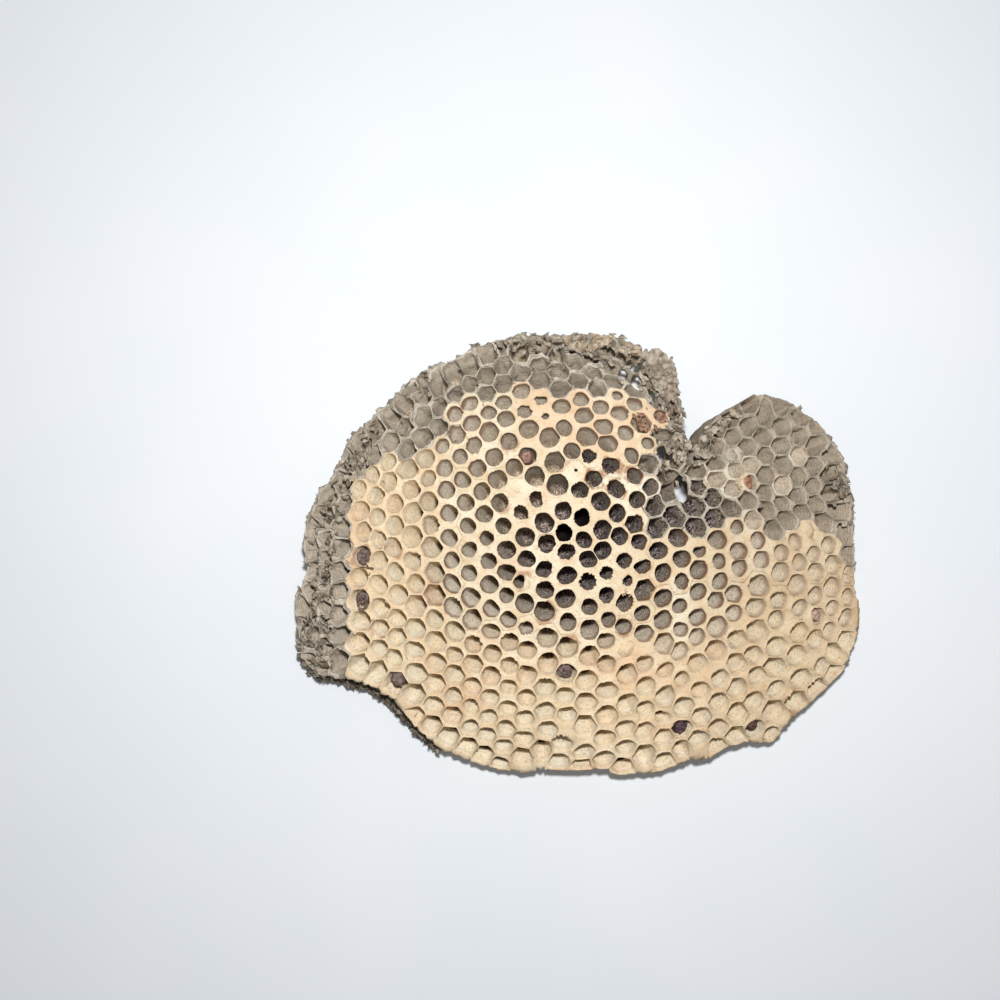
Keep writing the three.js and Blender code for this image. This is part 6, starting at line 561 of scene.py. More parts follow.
    [42.64,24.42,23.97,1,0.75,830,827,792,791,796,829], [41.05,18.41,25.00,0,0.86,832,829,796,793,798,831],
    [41.75,11.43,25.44,0,0.88,834,831,798,797,800,833], [42.46,5.38,25.58,1,0.76,836,833,800,799,802,835],
    [43.09,-1.46,25.52,1,0.71,838,835,802,801,804,837], [43.30,-7.83,25.32,1,0.71,840,837,804,803,806,839],
    [42.46,-13.75,25.11,1,0.82,842,839,806,805,808,841], [42.58,-21.86,24.30,1,0.73,844,841,808,807,810,843],
    [42.55,-29.38,23.20,1,0.78,846,843,810,809,812,845], [44.53,-38.44,20.97,1,0.66,848,845,812,811,814,847],
    [43.86,-46.25,18.87,1,0.71,850,847,814,813,816,849], [44.30,-54.99,15.53,1,0.70,852,849,816,815,818,851],
    [43.58,-61.22,12.76,1,0.74,855,851,818,817,854,853], [47.36,42.95,18.33,0,0.87,859,858,857,823,824,856],
    [48.25,37.50,19.94,0,0.87,861,856,824,819,826,860], [48.30,31.83,21.43,3,0.00,863,860,826,825,828,862],
    [48.83,26.87,22.34,1,0.60,865,862,828,827,830,864], [47.45,21.12,23.52,1,0.75,867,864,830,829,832,866],
    [46.25,14.96,24.42,0,0.89,869,866,832,831,834,868], [48.53,9.19,24.38,1,0.62,871,868,834,833,836,870],
    [49.51,1.64,24.41,1,0.76,873,870,836,835,838,872], [49.76,-3.52,24.34,1,0.71,875,872,838,837,840,874],
    [47.83,-12.26,24.32,1,0.76,877,874,840,839,842,876], [48.11,-17.73,23.82,1,0.71,879,876,842,841,844,878],
    [49.10,-26.00,22.61,1,0.75,881,878,844,843,846,880], [49.42,-33.85,21.13,1,0.81,883,880,846,845,848,882],
    [49.50,-41.25,19.31,1,0.75,885,882,848,847,850,884], [49.96,-49.97,16.40,1,0.76,887,884,850,849,852,886],
    [50.92,-57.43,13.09,1,0.75,889,886,852,851,855,888], [54.36,48.50,14.08,0,0.84,893,892,891,858,859,890],
    [54.12,40.60,17.42,0,0.87,895,890,859,856,861,894], [52.67,33.95,19.86,0,0.86,897,894,861,860,863,896],
    [53.82,28.01,20.95,1,0.72,899,896,863,862,865,898], [53.12,23.07,22.01,4,0.72,901,898,865,864,867,900],
    [52.35,17.67,22.91,0,0.86,903,900,867,866,869,902], [54.06,11.48,23.09,1,0.80,905,902,869,868,871,904],
    [55.70,4.92,23.06,1,0.73,907,904,871,870,873,906], [56.35,-0.98,23.00,1,0.71,909,906,873,872,875,908],
    [55.48,-9.85,22.95,1,0.81,911,908,875,874,877,910], [55.15,-15.62,22.62,1,0.78,913,910,877,876,879,912],
    [55.54,-22.99,21.72,1,0.80,915,912,879,878,881,914], [54.48,-31.54,20.54,1,0.77,917,914,881,880,883,916],
    [56.38,-38.10,18.63,1,0.73,919,916,883,882,885,918], [55.45,-46.07,16.52,1,0.71,921,918,885,884,887,920],
    [56.57,-55.27,12.68,4,0.62,923,920,887,886,889,922], [59.52,43.99,14.47,0,0.88,926,925,893,890,895,924],
    [58.45,37.20,17.31,0,0.86,928,924,895,894,897,927], [58.70,31.64,18.81,0,0.83,930,927,897,896,899,929],
    [58.19,24.90,20.41,0,0.86,932,929,899,898,901,931], [58.15,19.91,21.22,0,0.83,934,931,901,900,903,933],
    [58.55,14.99,21.71,0,0.86,936,933,903,902,905,935], [60.74,8.46,21.67,0,0.84,938,935,905,904,907,937],
    [62.92,1.04,21.36,1,0.67,940,937,907,906,909,939], [62.97,-4.98,21.32,1,0.74,942,939,909,908,911,941],
    [62.41,-13.92,21.02,1,0.73,944,941,911,910,913,943], [61.68,-20.25,20.59,1,0.65,946,943,913,912,915,945],
    [62.11,-28.03,19.33,1,0.77,948,945,915,914,917,947], [61.86,-35.02,17.97,1,0.84,950,947,917,916,919,949],
    [62.50,-42.11,15.91,1,0.66,952,949,919,918,921,951], [62.04,-49.63,13.48,1,0.83,954,951,921,920,923,953],
    [61.64,-57.55,10.20,1,0.70,957,953,923,922,956,955], [64.56,47.62,11.01,0,0.85,961,960,959,925,926,958],
    [64.50,40.53,14.14,0,0.86,963,958,926,924,928,962], [63.78,34.65,16.39,0,0.83,965,962,928,927,930,964],
    [64.30,28.83,17.77,0,0.89,967,964,930,929,932,966], [64.27,22.23,19.12,1,0.72,969,966,932,931,934,968],
    [63.61,16.63,20.14,0,0.84,971,968,934,933,936,970], [65.19,11.48,20.20,0,0.85,973,970,936,935,938,972],
    [68.29,4.07,19.73,1,0.66,975,972,938,937,940,974], [69.34,-2.12,19.52,1,0.72,977,974,940,939,942,976],
    [68.82,-9.17,19.50,1,0.78,979,976,942,941,944,978], [69.47,-16.36,18.79,1,0.65,981,978,944,943,946,980],
    [69.69,-24.38,17.72,1,0.71,983,980,946,945,948,982], [68.91,-31.94,16.58,1,0.74,985,982,948,947,950,984],
    [70.42,-39.39,14.23,1,0.79,987,984,950,949,952,986], [69.62,-46.49,12.23,1,0.80,989,986,952,951,954,988],
    [71.97,43.93,9.73,0,0.85,992,991,961,958,963,990], [70.80,38.20,12.60,0,0.85,994,990,963,962,965,993],
    [70.25,31.54,14.98,1,0.72,996,993,965,964,967,995], [69.28,25.01,16.93,0,0.85,998,995,967,966,969,997],
    [68.77,18.26,18.30,0,0.85,1000,997,969,968,971,999], [70.55,13.65,18.29,0,0.88,1002,999,971,970,973,1001],
    [72.60,7.33,18.15,2,0.00,1004,1001,973,972,975,1003], [74.27,0.42,17.86,1,0.75,1006,1003,975,974,977,1005],
    [75.21,-5.03,17.53,1,0.73,1008,1005,977,976,979,1007], [74.74,-12.91,17.34,1,0.76,1010,1007,979,978,981,1009],
    [76.04,-19.62,16.22,4,0.70,1012,1009,981,980,983,1011], [76.09,-27.16,15.06,1,0.73,1014,1011,983,982,985,1013],
    [78.03,-35.46,12.50,1,0.68,1016,1013,985,984,987,1015], [76.20,-43.04,10.99,1,0.85,1018,1015,987,986,989,1017],
    [76.79,40.68,8.98,0,0.87,1021,1020,992,990,994,1019], [74.65,34.22,12.39,0,0.86,1023,1019,994,993,996,1022],
    [74.87,28.28,14.03,0,0.86,1025,1022,996,995,998,1024], [74.38,21.87,15.67,0,0.81,1027,1024,998,997,1000,1026],
    [75.21,16.15,16.29,0,0.87,1029,1026,1000,999,1002,1028], [77.25,10.91,16.14,0,0.89,1031,1028,1002,1001,1004,1030],
    [79.84,3.19,15.67,1,0.70,1033,1030,1004,1003,1006,1032], [81.15,-3.08,15.28,1,0.77,1035,1032,1006,1005,1008,1034],
    [80.90,-10.14,15.19,1,0.77,1037,1034,1008,1007,1010,1036], [80.68,-17.28,14.71,1,0.66,1039,1036,1010,1009,1012,1038],
    [80.04,-24.18,14.05,1,0.78,1041,1038,1012,1011,1014,1040], [81.40,-31.06,12.18,1,0.80,1043,1040,1014,1013,1016,1042],
    [82.10,-37.85,10.16,1,0.75,1045,1042,1016,1015,1018,1044], [81.70,32.21,9.81,0,0.86,1048,1047,1023,1022,1025,1046],
    [80.32,25.62,12.35,0,0.88,1050,1046,1025,1024,1027,1049], [80.08,19.38,13.79,0,0.83,1052,1049,1027,1026,1029,1051],
    [82.73,13.76,13.51,0,0.86,1054,1051,1029,1028,1031,1053], [86.44,6.53,12.59,0,0.88,1056,1053,1031,1030,1033,1055],
    [86.78,-0.02,12.79,0,0.84,1058,1055,1033,1032,1035,1057], [86.78,-6.73,12.80,1,0.78,1060,1057,1035,1034,1037,1059],
    [86.20,-13.52,12.71,1,0.71,1062,1059,1037,1036,1039,1061], [85.47,-20.00,12.36,1,0.63,1064,1061,1039,1038,1041,1063],
    [85.69,-27.53,11.04,1,0.73,1066,1063,1041,1040,1043,1065],
]
rows = np.array([list(r) for r in CELLS], float)
C = rows[:, :3]
kind = rows[:, 3].astype(int)
hole = rows[:, 4]
ids = rows[:, 5:].astype(int)
NC = len(C)


def unit(v):
    return v / np.maximum(np.linalg.norm(v, axis=-1, keepdims=True), 1e-9)


def axis_at(p):
    return unit(p - CENTRE)


# ---------------------------------------------------------------- seeded noise
def _hash(ix, iy, iz, seed):
    h = (ix.astype(np.int64) * 73856093) ^ (iy.astype(np.int64) * 19349663) ^ (iz.astype(np.int64) * 83492791) ^ (seed * 2654435761)
    h = (h & 0xFFFFFFFF).astype(np.uint64)
    h = ((h ^ (h >> np.uint64(16))) * np.uint64(0x45D9F3B)) & np.uint64(0xFFFFFFFF)
    h = ((h ^ (h >> np.uint64(16))) * np.uint64(0x45D9F3B)) & np.uint64(0xFFFFFFFF)
    h = h ^ (h >> np.uint64(16))
    return h.astype(np.float64) / 4294967295.0


def noise(p, freq, seed):
    """Smooth value noise from -1 to 1 at points p (..., 3)."""
    q = p * freq
    i = np.floor(q).astype(np.int64)
    f = q - i
    f = f * f * (3 - 2 * f)
    out = 0.0
    for dx in (0, 1):
        wx = f[..., 0] if dx else 1 - f[..., 0]
        for dy in (0, 1):
            wy = f[..., 1] if dy else 1 - f[..., 1]
            for dz in (0, 1):
                wz = f[..., 2] if dz else 1 - f[..., 2]
                out = out + wx * wy * wz * _hash(i[..., 0] + dx, i[..., 1] + dy, i[..., 2] + dz, seed)
    return out * 2 - 1


def noise_vec(p, freq, seed):
    return np.stack([noise(p, freq, seed), noise(p, freq, seed + 11), noise(p, freq, seed + 23)], -1)


rng = np.random.default_rng(7)


def smooth(a, b, x):
    t = np.clip((x - a) / (b - a), 0, 1)
    return t * t * (3 - 2 * t)


# ---------------------------------------------------------------- what each cell is like
silk = ((kind == 1) | (kind == 2) | ((kind == 4) & (hole < 0.8))).astype(float)
# where the silk lining reaches down the walls: the lower field and the left field
lined = np.clip(smooth(-10, -42, C[:, 1] + 0.08 * (C[:, 0] - 10)) + smooth(-36, -54, C[:, 0]) + 0.6 * smooth(44, 68, C[:, 0] - 0.5 * C[:, 1]), 0, 1) * silk
crumpled = ((kind == 5) | ((kind == 0) & (C[:, 0] < -35))).astype(float)
# thin, nearly merged walls in the left field and along the foot of the comb
thin = np.clip(0.5 * smooth(-34, -48, C[:, 0]) + 0.5 * smooth(-36, -58, C[:, 1]), 0, 1) * ((kind == 1) | (kind == 4))
hole = np.where(hole > 0.5, hole + (0.86 - hole) * 0.5 * thin, hole)
# how dark the cells' ends are: darkest round the dome's top
murk = np.clip(1.18 - np.hypot((C[:, 0] - 8) / 52, (C[:, 1] - 3) / 41), 0, 1)
murk = np.maximum(murk, 0.95 * smooth(17, 6, np.hypot(C[:, 0] - 36, (C[:, 1] - 14) * 1.2)))
tone = rng.random(NC)
ragged = np.where(silk > 0, 0.016 + 0.03 * rng.random(NC) ** 2, 0.02)
ragged = np.where((silk > 0) & (rng.random(NC) < 0.16), 0.075, ragged)
PX_F = 1400.0


def to_view(p):
    """Millimetre point to the picture's own frame of 1000 by 1000, for placing things."""
    s = PX_F / (459.0 - p[..., 2])
    return np.stack([500 + s * (p[..., 0] + 24.82), 499 - s * (p[..., 1] - 17.77)], -1)


VIEW = to_view(C)


def cell_at(u, v):
    return int(np.argmin(np.hypot(VIEW[:, 0] - u, VIEW[:, 1] - v)))


# mouths that are torn, half closed or bitten: place, size, raggedness, side of the bite, depth of the bite
bite = np.zeros((NC, 3))
for u, v, h_, r_, bx, by, b_ in (
    (536, 501, 0.72, 0.09, 1, 0.1, 0.42), (518, 514, 0.64, 0.11, 0, 0, 0), (583, 517, 0.70, 0.11, 0, 0, 0),
    (564, 532, 0.76, 0.08, 0, 0, 0), (591, 456, 0.70, 0.13, 0.5, -0.8, 0.3), (521, 581, 0.62, 0.13, 1, 0, 0.45),
    (606, 571, 0.62, 0.08, 0, 0, 0), (628, 580, 0.55, 0.11, -0.7, 0.7, 0.45), (614, 468, 0.76, 0.10, 0, 0, 0),
    (638, 521, 0.80, 0.06, 0, 0, 0), (644, 565, 0.74, 0.05, -0.5, 0.85, 0.5), (541, 396, 0.60, 0.10, 0, 1, 0.55),
    (546, 412, 0.36, 0.17, 0, 0, 0), (701, 551, 0.62, 0.06, 0, 1, 0.6), (647, 660, 0.72, 0.04, 0, 1, 0.5),
    (661, 672, 0.66, 0.05, -0.6, 0.7, 0.5), (600, 640, 0.70, 0.05, 0.2, 1, 0.3), (531, 632, 0.66, 0.09, 0, 1, 0.3),
    (573, 476, 0.15, 0.10, 0, 0, 0), (663, 716, 0.62, 0.05, 0.4, 0.8, 0.35), (707, 735, 0.66, 0.04, 0.1, 1, 0.35),
):
    c_ = cell_at(u, v)
    if kind[c_] in (1, 2, 3, 4):
        kind[c_], hole[c_], ragged[c_] = 1, h_, r_
        bite[c_] = (bx, by, b_)
for u, v, m_ in ((583, 517, 1.5), (564, 532, 1.5), (591, 456, 1.12), (614, 465, 1.0)):
    murk[cell_at(u, v)] = m_
for u, v in ((697, 485), (686, 490)):
    kind[cell_at(u, v)] = 0
in_lobe = (VIEW[:, 0] > 690) & (VIEW[:, 1] < 515) & (kind == 1)
hole = np.where(in_lobe, 0.90, hole)
silk = ((kind == 1) | (kind == 2) | ((kind == 4) & (hole < 0.8))).astype(float)


def near(x, y, r=4.0):
    """Number of the cell whose mouth lies nearest to this spot."""
    d = np.hypot(C[:, 0] - x, C[:, 1] - y)
    return int(np.argmin(d))


# ---------------------------------------------------------------- cell borders, shared by neighbours
edge_of = {}
for c in range(NC):
    for k in range(6):
        a, b = ids[c, k], ids[c, (k + 1) % 6]
        edge_of.setdefault((min(a, b), max(a, b)), []).append((c, k))
at_rim = {e for e, o in edge_of.items() if len(o) == 1}
rim_corner = np.zeros(len(CORNERS), bool)
for a, b in at_rim:
    rim_corner[a] = rim_corner[b] = True

border_pos = [p for p in CORNERS]
border_rim = [bool(v) for v in rim_corner]
border_key = {}
border = np.zeros((NC, NA), int)
for c in range(NC):
    for k in range(6):
        a, b = ids[c, k], ids[c, (k + 1) % 6]
        border[c, k * SUB] = a
        lo, hi = min(a, b), max(a, b)
        for j in range(1, SUB):
            jj = j if a < b else SUB - j
            key = (lo, hi, jj)
            if key not in border_key:
                border_key[key] = len(border_pos)
                border_pos.append(CORNERS[lo] + (CORNERS[hi] - CORNERS[lo]) * (jj / SUB))
                border_rim.append((lo, hi) in at_rim)
            border[c, k * SUB + j] = border_key[key]
border_pos = np.array(border_pos)
border_rim = np.array(border_rim)
NB = len(border_pos)
count = np.zeros(NB)
border_silk = np.zeros(NB)
border_crumpled = np.zeros(NB)
border_lined = np.zeros(NB)
for arr, val in ((border_silk, silk), (border_crumpled, crumpled), (border_lined, lined)):
    np.add.at(arr, border.ravel(), np.repeat(val, NA))
np.add.at(count, border.ravel(), 1)
border_silk /= count
border_crumpled /= count
border_lined /= count


def warp(p, silky):
    """The comb's uneven growth: one displacement field for every surface, so walls keep their thickness."""
    grey = 1 - silky[..., None]
    d = 0.30 * noise_vec(p, 0.11, 3) + (0.12 + 0.30 * grey) * noise_vec(p, 0.30, 5)
    d = d + (0.05 + 0.17 * grey) * noise_vec(p, 0.8, 9) + (0.02 + 0.05 * grey) * noise_vec(p, 2.1, 13)
    return p + d


def sink(p, depth, lowest=0.9, full=TUBE):
    """A point at this depth along the cell axes; near the rim the depth shrinks so that nothing passes the floor."""
    a = axis_at(p)
    most = np.maximum((p[..., 2] - lowest) / a[..., 2], 0.5)
    share = np.minimum(1.0, most / full)
    return p - a * (depth * share)[..., None]


# ---------------------------------------------------------------- rings of every cell
A = axis_at(C)
B = border_pos[border]  # cells x NA x 3
D = B - C[:, None, :]
D = D - (D * A[:, None, :]).sum(-1, keepdims=True) * A[:, None, :]
R = np.linalg.norm(D, axis=-1)
U = D / R[..., None]
corner_r = R[:, ::SUB].mean(1)
roundness = np.where(silk > 0, 0.86, 0.30)[:, None]
theta = np.linspace(0, 2 * np.pi, NA, endpoint=False)[None, :]

lobes = np.zeros((NC, NA))
for h in range(2, 5):
    lobes += (0.042 / (h - 1)) * rng.standard_normal((NC, 1)) * np.cos(h * theta + 6.283 * rng.random((NC, 1)))
fine = np.zeros((NC, NA))
for h in range(5, 16):
    fine += rng.standard_normal((NC, 1)) * np.cos(h * theta + 6.283 * rng.random((NC, 1)))
fine /= 3.2
# the side of each mouth that faces away from the dome's top
away = np.stack([C[:, 0] - DOME_X, C[:, 1] - DOME_Y, 0 * C[:, 0]], -1)
slope = np.clip(np.linalg.norm(away, axis=1) / 45.0, 0, 1)
outward = (U * unit(away)[:, None, :]).sum(-1)
gain = np.where(silk > 0, 1.065 + 0.045 * lined + 0.03 * smooth(38, 60, C[:, 0]), 1.0) * np.where((silk > 0) & (hole > 0.66), 1 + 0.045 * rng.standard_normal(NC), 1.0)
width = np.where(silk > 0, 0.905 + 0.055 * np.clip(1.6 * lined, 0, 1), 1.0)
M = (hole * gain)[:, None] * ((1 - roundness) * R * 1.07 + roundness * (corner_r * width)[:, None])
M = M * (1 + lobes * np.where(silk > 0, 1.0, 0.6)[:, None]) * (1 - ragged[:, None] * np.abs(fine) * 1.6)
M = M * (1 - bite[:, 2:] * np.clip((U[..., :2] * bite[:, None, :2]).sum(-1), 0, 1) ** 2)
M = np.minimum(M, R * np.where(silk > 0, 0.925 + 0.015 * lined, 0.955)[:, None])
# a closed cell with no mouth of its own still carries a cap of ordinary size
M = np.where(((kind == 2) | (kind == 3))[:, None] & (M < 0.05), 0.62 * R, M)
off = rng.standard_normal((NC, 2)) * (0.20 * silk + 0.30 * crumpled)[:, None]

H = R * 0.955 - 0.03
H = 0.72 * H + 0.28 * H.min(1, keepdims=True) * 1.03
H = np.minimum(H, R * 0.96)
funnel = (silk * (0.15 + 0.85 * lined))[:, None] * np.clip(0.5 + 0.9 * outward, 0, 1)
under = np.where(silk > 0, 0.85 - 0.35 * lined, 1.0)[:, None] * (1 - 0.9 * funnel)
T = M + (np.maximum(H, M) - M) * under
T = T * (1 - 0.03 * funnel)

# ring table: share of the way from border to lip, then lip, then wall; depth in millimetres
# the brown paint of the lower and left cells: painted shadow under each upper lip, partly also brown staining deep in
# the cells; it reaches nearer to the mouth where a cell leans further over
lean = A[:, 2] / np.sqrt(np.maximum(1 - A[:, 2] ** 2, 1e-4))
deep = np.clip(0.76 * 2 * M.mean(1) * lean / 16.4 + 0.05 * (tone - 0.5), 0.20, 0.55)
downward = smooth(0.45, 0.9, -away[:, 1] / np.maximum(np.hypot(away[:, 0], away[:, 1]), 1e-6))
leftward = smooth(0.6, 0.95, -away[:, 0] / np.maximum(np.hypot(away[:, 0], away[:, 1]), 1e-6))
deep = np.where(leftward > 0.3, deep * 1.12, deep)
downward = np.maximum(downward, 0.9 * leftward)
deep = deep * downward + 0.62 * (1 - downward)
pale = ((VIEW[:, 0] > 690) & (VIEW[:, 1] < 520)) | ((VIEW[:, 0] > 640) & (VIEW[:, 0] < 690) & (VIEW[:, 1] > 470) & (VIEW[:, 1] < 505))
pale = pale.astype(float)
DEPTHS = [0.0, -0.02, -0.09, -0.12, 0.03, 0.30, 0.85, 1.6, 2.6, 3.8, 5.0, 6.4, 8.0, 10.0, 12.4, 14.6, 15.8, 16.3]
NR = len(DEPTHS)


def build_rings():
    P = np.zeros((NR, NC, NA, 3))
    W = np.zeros((NR, NC, NA))
    s = silk[:, None]
    Cc = C[:, None, :]
    k_ = 1 + 0.9 * crumpled[:, None]
    lift = (0.18 * noise(B, 0.30, 31) + 0.07 * noise(B, 0.8, 32)) * s + (1 - s) * k_ * (0.34 * noise(B, 0.42, 33) + 0.22 * noise(B, 1.1, 35))
    lift_c = 0.35 * (tone[:, None] - 0.5) * s
    for r in range(NR):
        t = DEPTHS[r]
        if r <= 3:
            f = [0.0, 0.40, 0.76, 0.96][r]
            rad = R + (M - R) * f
            if r == 3:
                rad = M + 0.05 + 0.10 * funnel
            depth = np.where(s > 0, t * (1 - funnel) + [0, 0.0, 0.03, 0.30][r] * funnel, 0.0 if r < 3 else -0.02) * np.ones((NC, NA))
        elif r == 4:
            rad, depth = M, np.where(s > 0, t + 0.65 * funnel, 0.06) * np.ones((NC, NA))
        elif r == 5:
            rad, depth = M + 0.02 * (T - M), np.where(s > 0, t + 1.0 * funnel, 0.25) * np.ones((NC, NA))
        elif r == 6:
            rad, depth = M + 0.45 * (T - M), (t + 1.3 * funnel) * np.ones((NC, NA))
        elif r <= 14:
            rad, depth = T * (1 - 0.006 * t), (t + max(0.0, 1.3 - 0.3 * (t - 0.85)) * funnel) * np.ones((NC, NA))
        else:
            rad = T * [0.80, 0.52, 0.22][r - 15]
            depth = t * np.ones((NC, NA))
        base = Cc + U * rad[..., None]
        # follow the dome between centre and border
        if r > 0:
            share = np.clip(rad / R, 0, 1)[..., None]
            height = ((B - Cc) * A[:, None, :]).sum(-1, keepdims=True)
            base = base + A[:, None, :] * height * share ** 2
        k = min(1.0, r / 4.0)
        side = np.stack([off[:, 0], off[:, 1], 0 * off[:, 0]], -1)[:, None, :]
        base = base + side * k
        up = lift * (1 if r < 6 else max(0.0, 1 - (r - 5) / 4)) + lift_c * min(1.0, r / 3.0) * (1 if r < 6 else 0)
        depth = depth - up
        P[r] = sink(base, depth)
        W[r] = depth
    return P, W


P, W = build_rings()

# ring 0 is shared by neighbours, so it comes from the border points alone
grey_b = 1 - border_silk
border_axis = axis_at(border_pos)
border_lift = (0.18 * noise(border_pos, 0.30, 31) + 0.07 * noise(border_pos, 0.8, 32) - 0.10) * border_silk
border_lift += grey_b * (1 + 0.9 * border_crumpled) * (0.34 * noise(border_pos, 0.42, 33) + 0.22 * noise(border_pos, 1.1, 35))
border_lift += border_rim * (0.25 * noise(border_pos, 0.9, 37) - 0.15)
border_out = np.zeros((NB, 3))
border_bulge = np.zeros(NB)
for (a, b) in at_rim:
    c, k = edge_of[(a, b)][0]
    mid = (CORNERS[a] + CORNERS[b]) / 2 - C[c]
    mid[2] = 0
    for j in range(SUB + 1):
        v = border[c, (k * SUB + j) % NA]
        border_out[v] += unit(mid)
        border_bulge[v] = math.sin(math.pi * j / SUB) if 0 < j < SUB else border_bulge[v]
border_out = unit(border_out) * (np.linalg.norm(border_out, axis=1, keepdims=True) > 0)
rag = (0.40 * noise(border_pos, 1.3, 39) + 0.35 * noise(border_pos, 0.45, 43)) * border_rim
top_border = border_pos + border_axis * border_lift[:, None] + border_out * (rag + 0.55 * border_bulge - 0.15)[:, None]
low_border = sink(border_pos, BACK - 0.5 + 0.4 * noise(border_pos, 0.5, 41), 0.0, BACK)
low_border = low_border - border_out * 0.3
P[0] = top_border[border]
W[0] = 0

# ---------------------------------------------------------------- caps, filled cells and odd mouths
F_IN = [None, None, None, None, 1.0, 0.95, 0.88, 0.8, 0.7, 0.6, 0.5, 0.41, 0.33, 0.26, 0.19, 0.13, 0.08, 0.04]
CENTRE_PT = sink(C, np.full(NC, 16.4))
centre_depth = np.full(NC, 16.4)


def close_cell(c, height, mark=None):
    """Closes a mouth with a skin; height(x, y) is in millimetres over the mouth, x and y from -1 to 1 across it."""
    x_dir, y_dir = U[c, 0], np.cross(A[c], U[c, 0])
    for r in range(4, NR):
        v = U[c] * (M[c] * F_IN[r])[:, None]
        x, y = (v @ x_dir) / M[c].mean(), (v @ y_dir) / M[c].mean()
        h = height(x, y)
        P[r, c] = C[c] + v + A[c] * (h + 0.05)[:, None]
        W[r, c] = -0.05 if mark is None else mark(x, y)
    CENTRE_PT[c] = C[c] + A[c] * (float(height(np.zeros(1), np.zeros(1))[0]) + 0.05)
    centre_depth[c] = -0.05


for c in range(NC):
    if kind[c] == 2:
        ph = rng.random() * 6.28
        close_cell(c, lambda x, y, ph=ph: 0.70 * (1 - x * x - y * y) + 0.13 * np.sin(5 * x + ph) * np.cos(4 * y + ph)
                   + 0.07 * np.sin(11 * x + 3 * y + ph) * np.cos(9 * y - 2 * x))
    elif kind[c] == 3:
        close_cell(c, lambda x, y: -0.35 + 0.06 * np.sin(7 * x) * np.cos(6 * y))



def quad_strip(o, i):
    """Faces between two rings of vertex numbers (n each); o is the outer ring, both counter-clockwise."""
    o2, i2 = np.roll(o, -1, -1), np.roll(i, -1, -1)
    return np.stack([o, o2, i2, i], -1).reshape(-1, 4)


def add_mesh(name, verts, quads, tris, colours, material):
    """A mesh object from millimetre points, kept inside the comb's box, with point colours for its material."""
    verts = np.clip(verts, LOW + 0.02, HIGH - 0.02)
    me = bpy.data.meshes.new(name)
    nq, nt = len(quads), len(tris)
    me.vertices.add(len(verts))
    me.vertices.foreach_set("co", (verts * MM).astype(np.float32).ravel())
    loops = np.concatenate([np.asarray(quads, int).ravel(), np.asarray(tris, int).ravel()]).astype(np.int32)
    me.loops.add(len(loops))
    me.loops.foreach_set("vertex_index", loops)
    starts = np.concatenate([np.arange(nq) * 4, nq * 4 + np.arange(nt) * 3]).astype(np.int32)
    me.polygons.add(nq + nt)
    me.polygons.foreach_set("loop_start", starts)
    me.polygons.foreach_set("use_smooth", np.ones(nq + nt, bool))
    me.update(calc_edges=True)
    me.validate()
    for key, val in colours.items():
        at = me.color_attributes.new(key, "FLOAT_COLOR", "POINT")
        at.data.foreach_set("color", np.asarray(val, np.float32).ravel())
    me.materials.append(material)
    ob = bpy.data.objects.new(name, me)
    bpy.context.scene.collection.objects.link(ob)
    return ob

ROWS = [0.10, 0.26, 0.44, 0.63, 0.82]


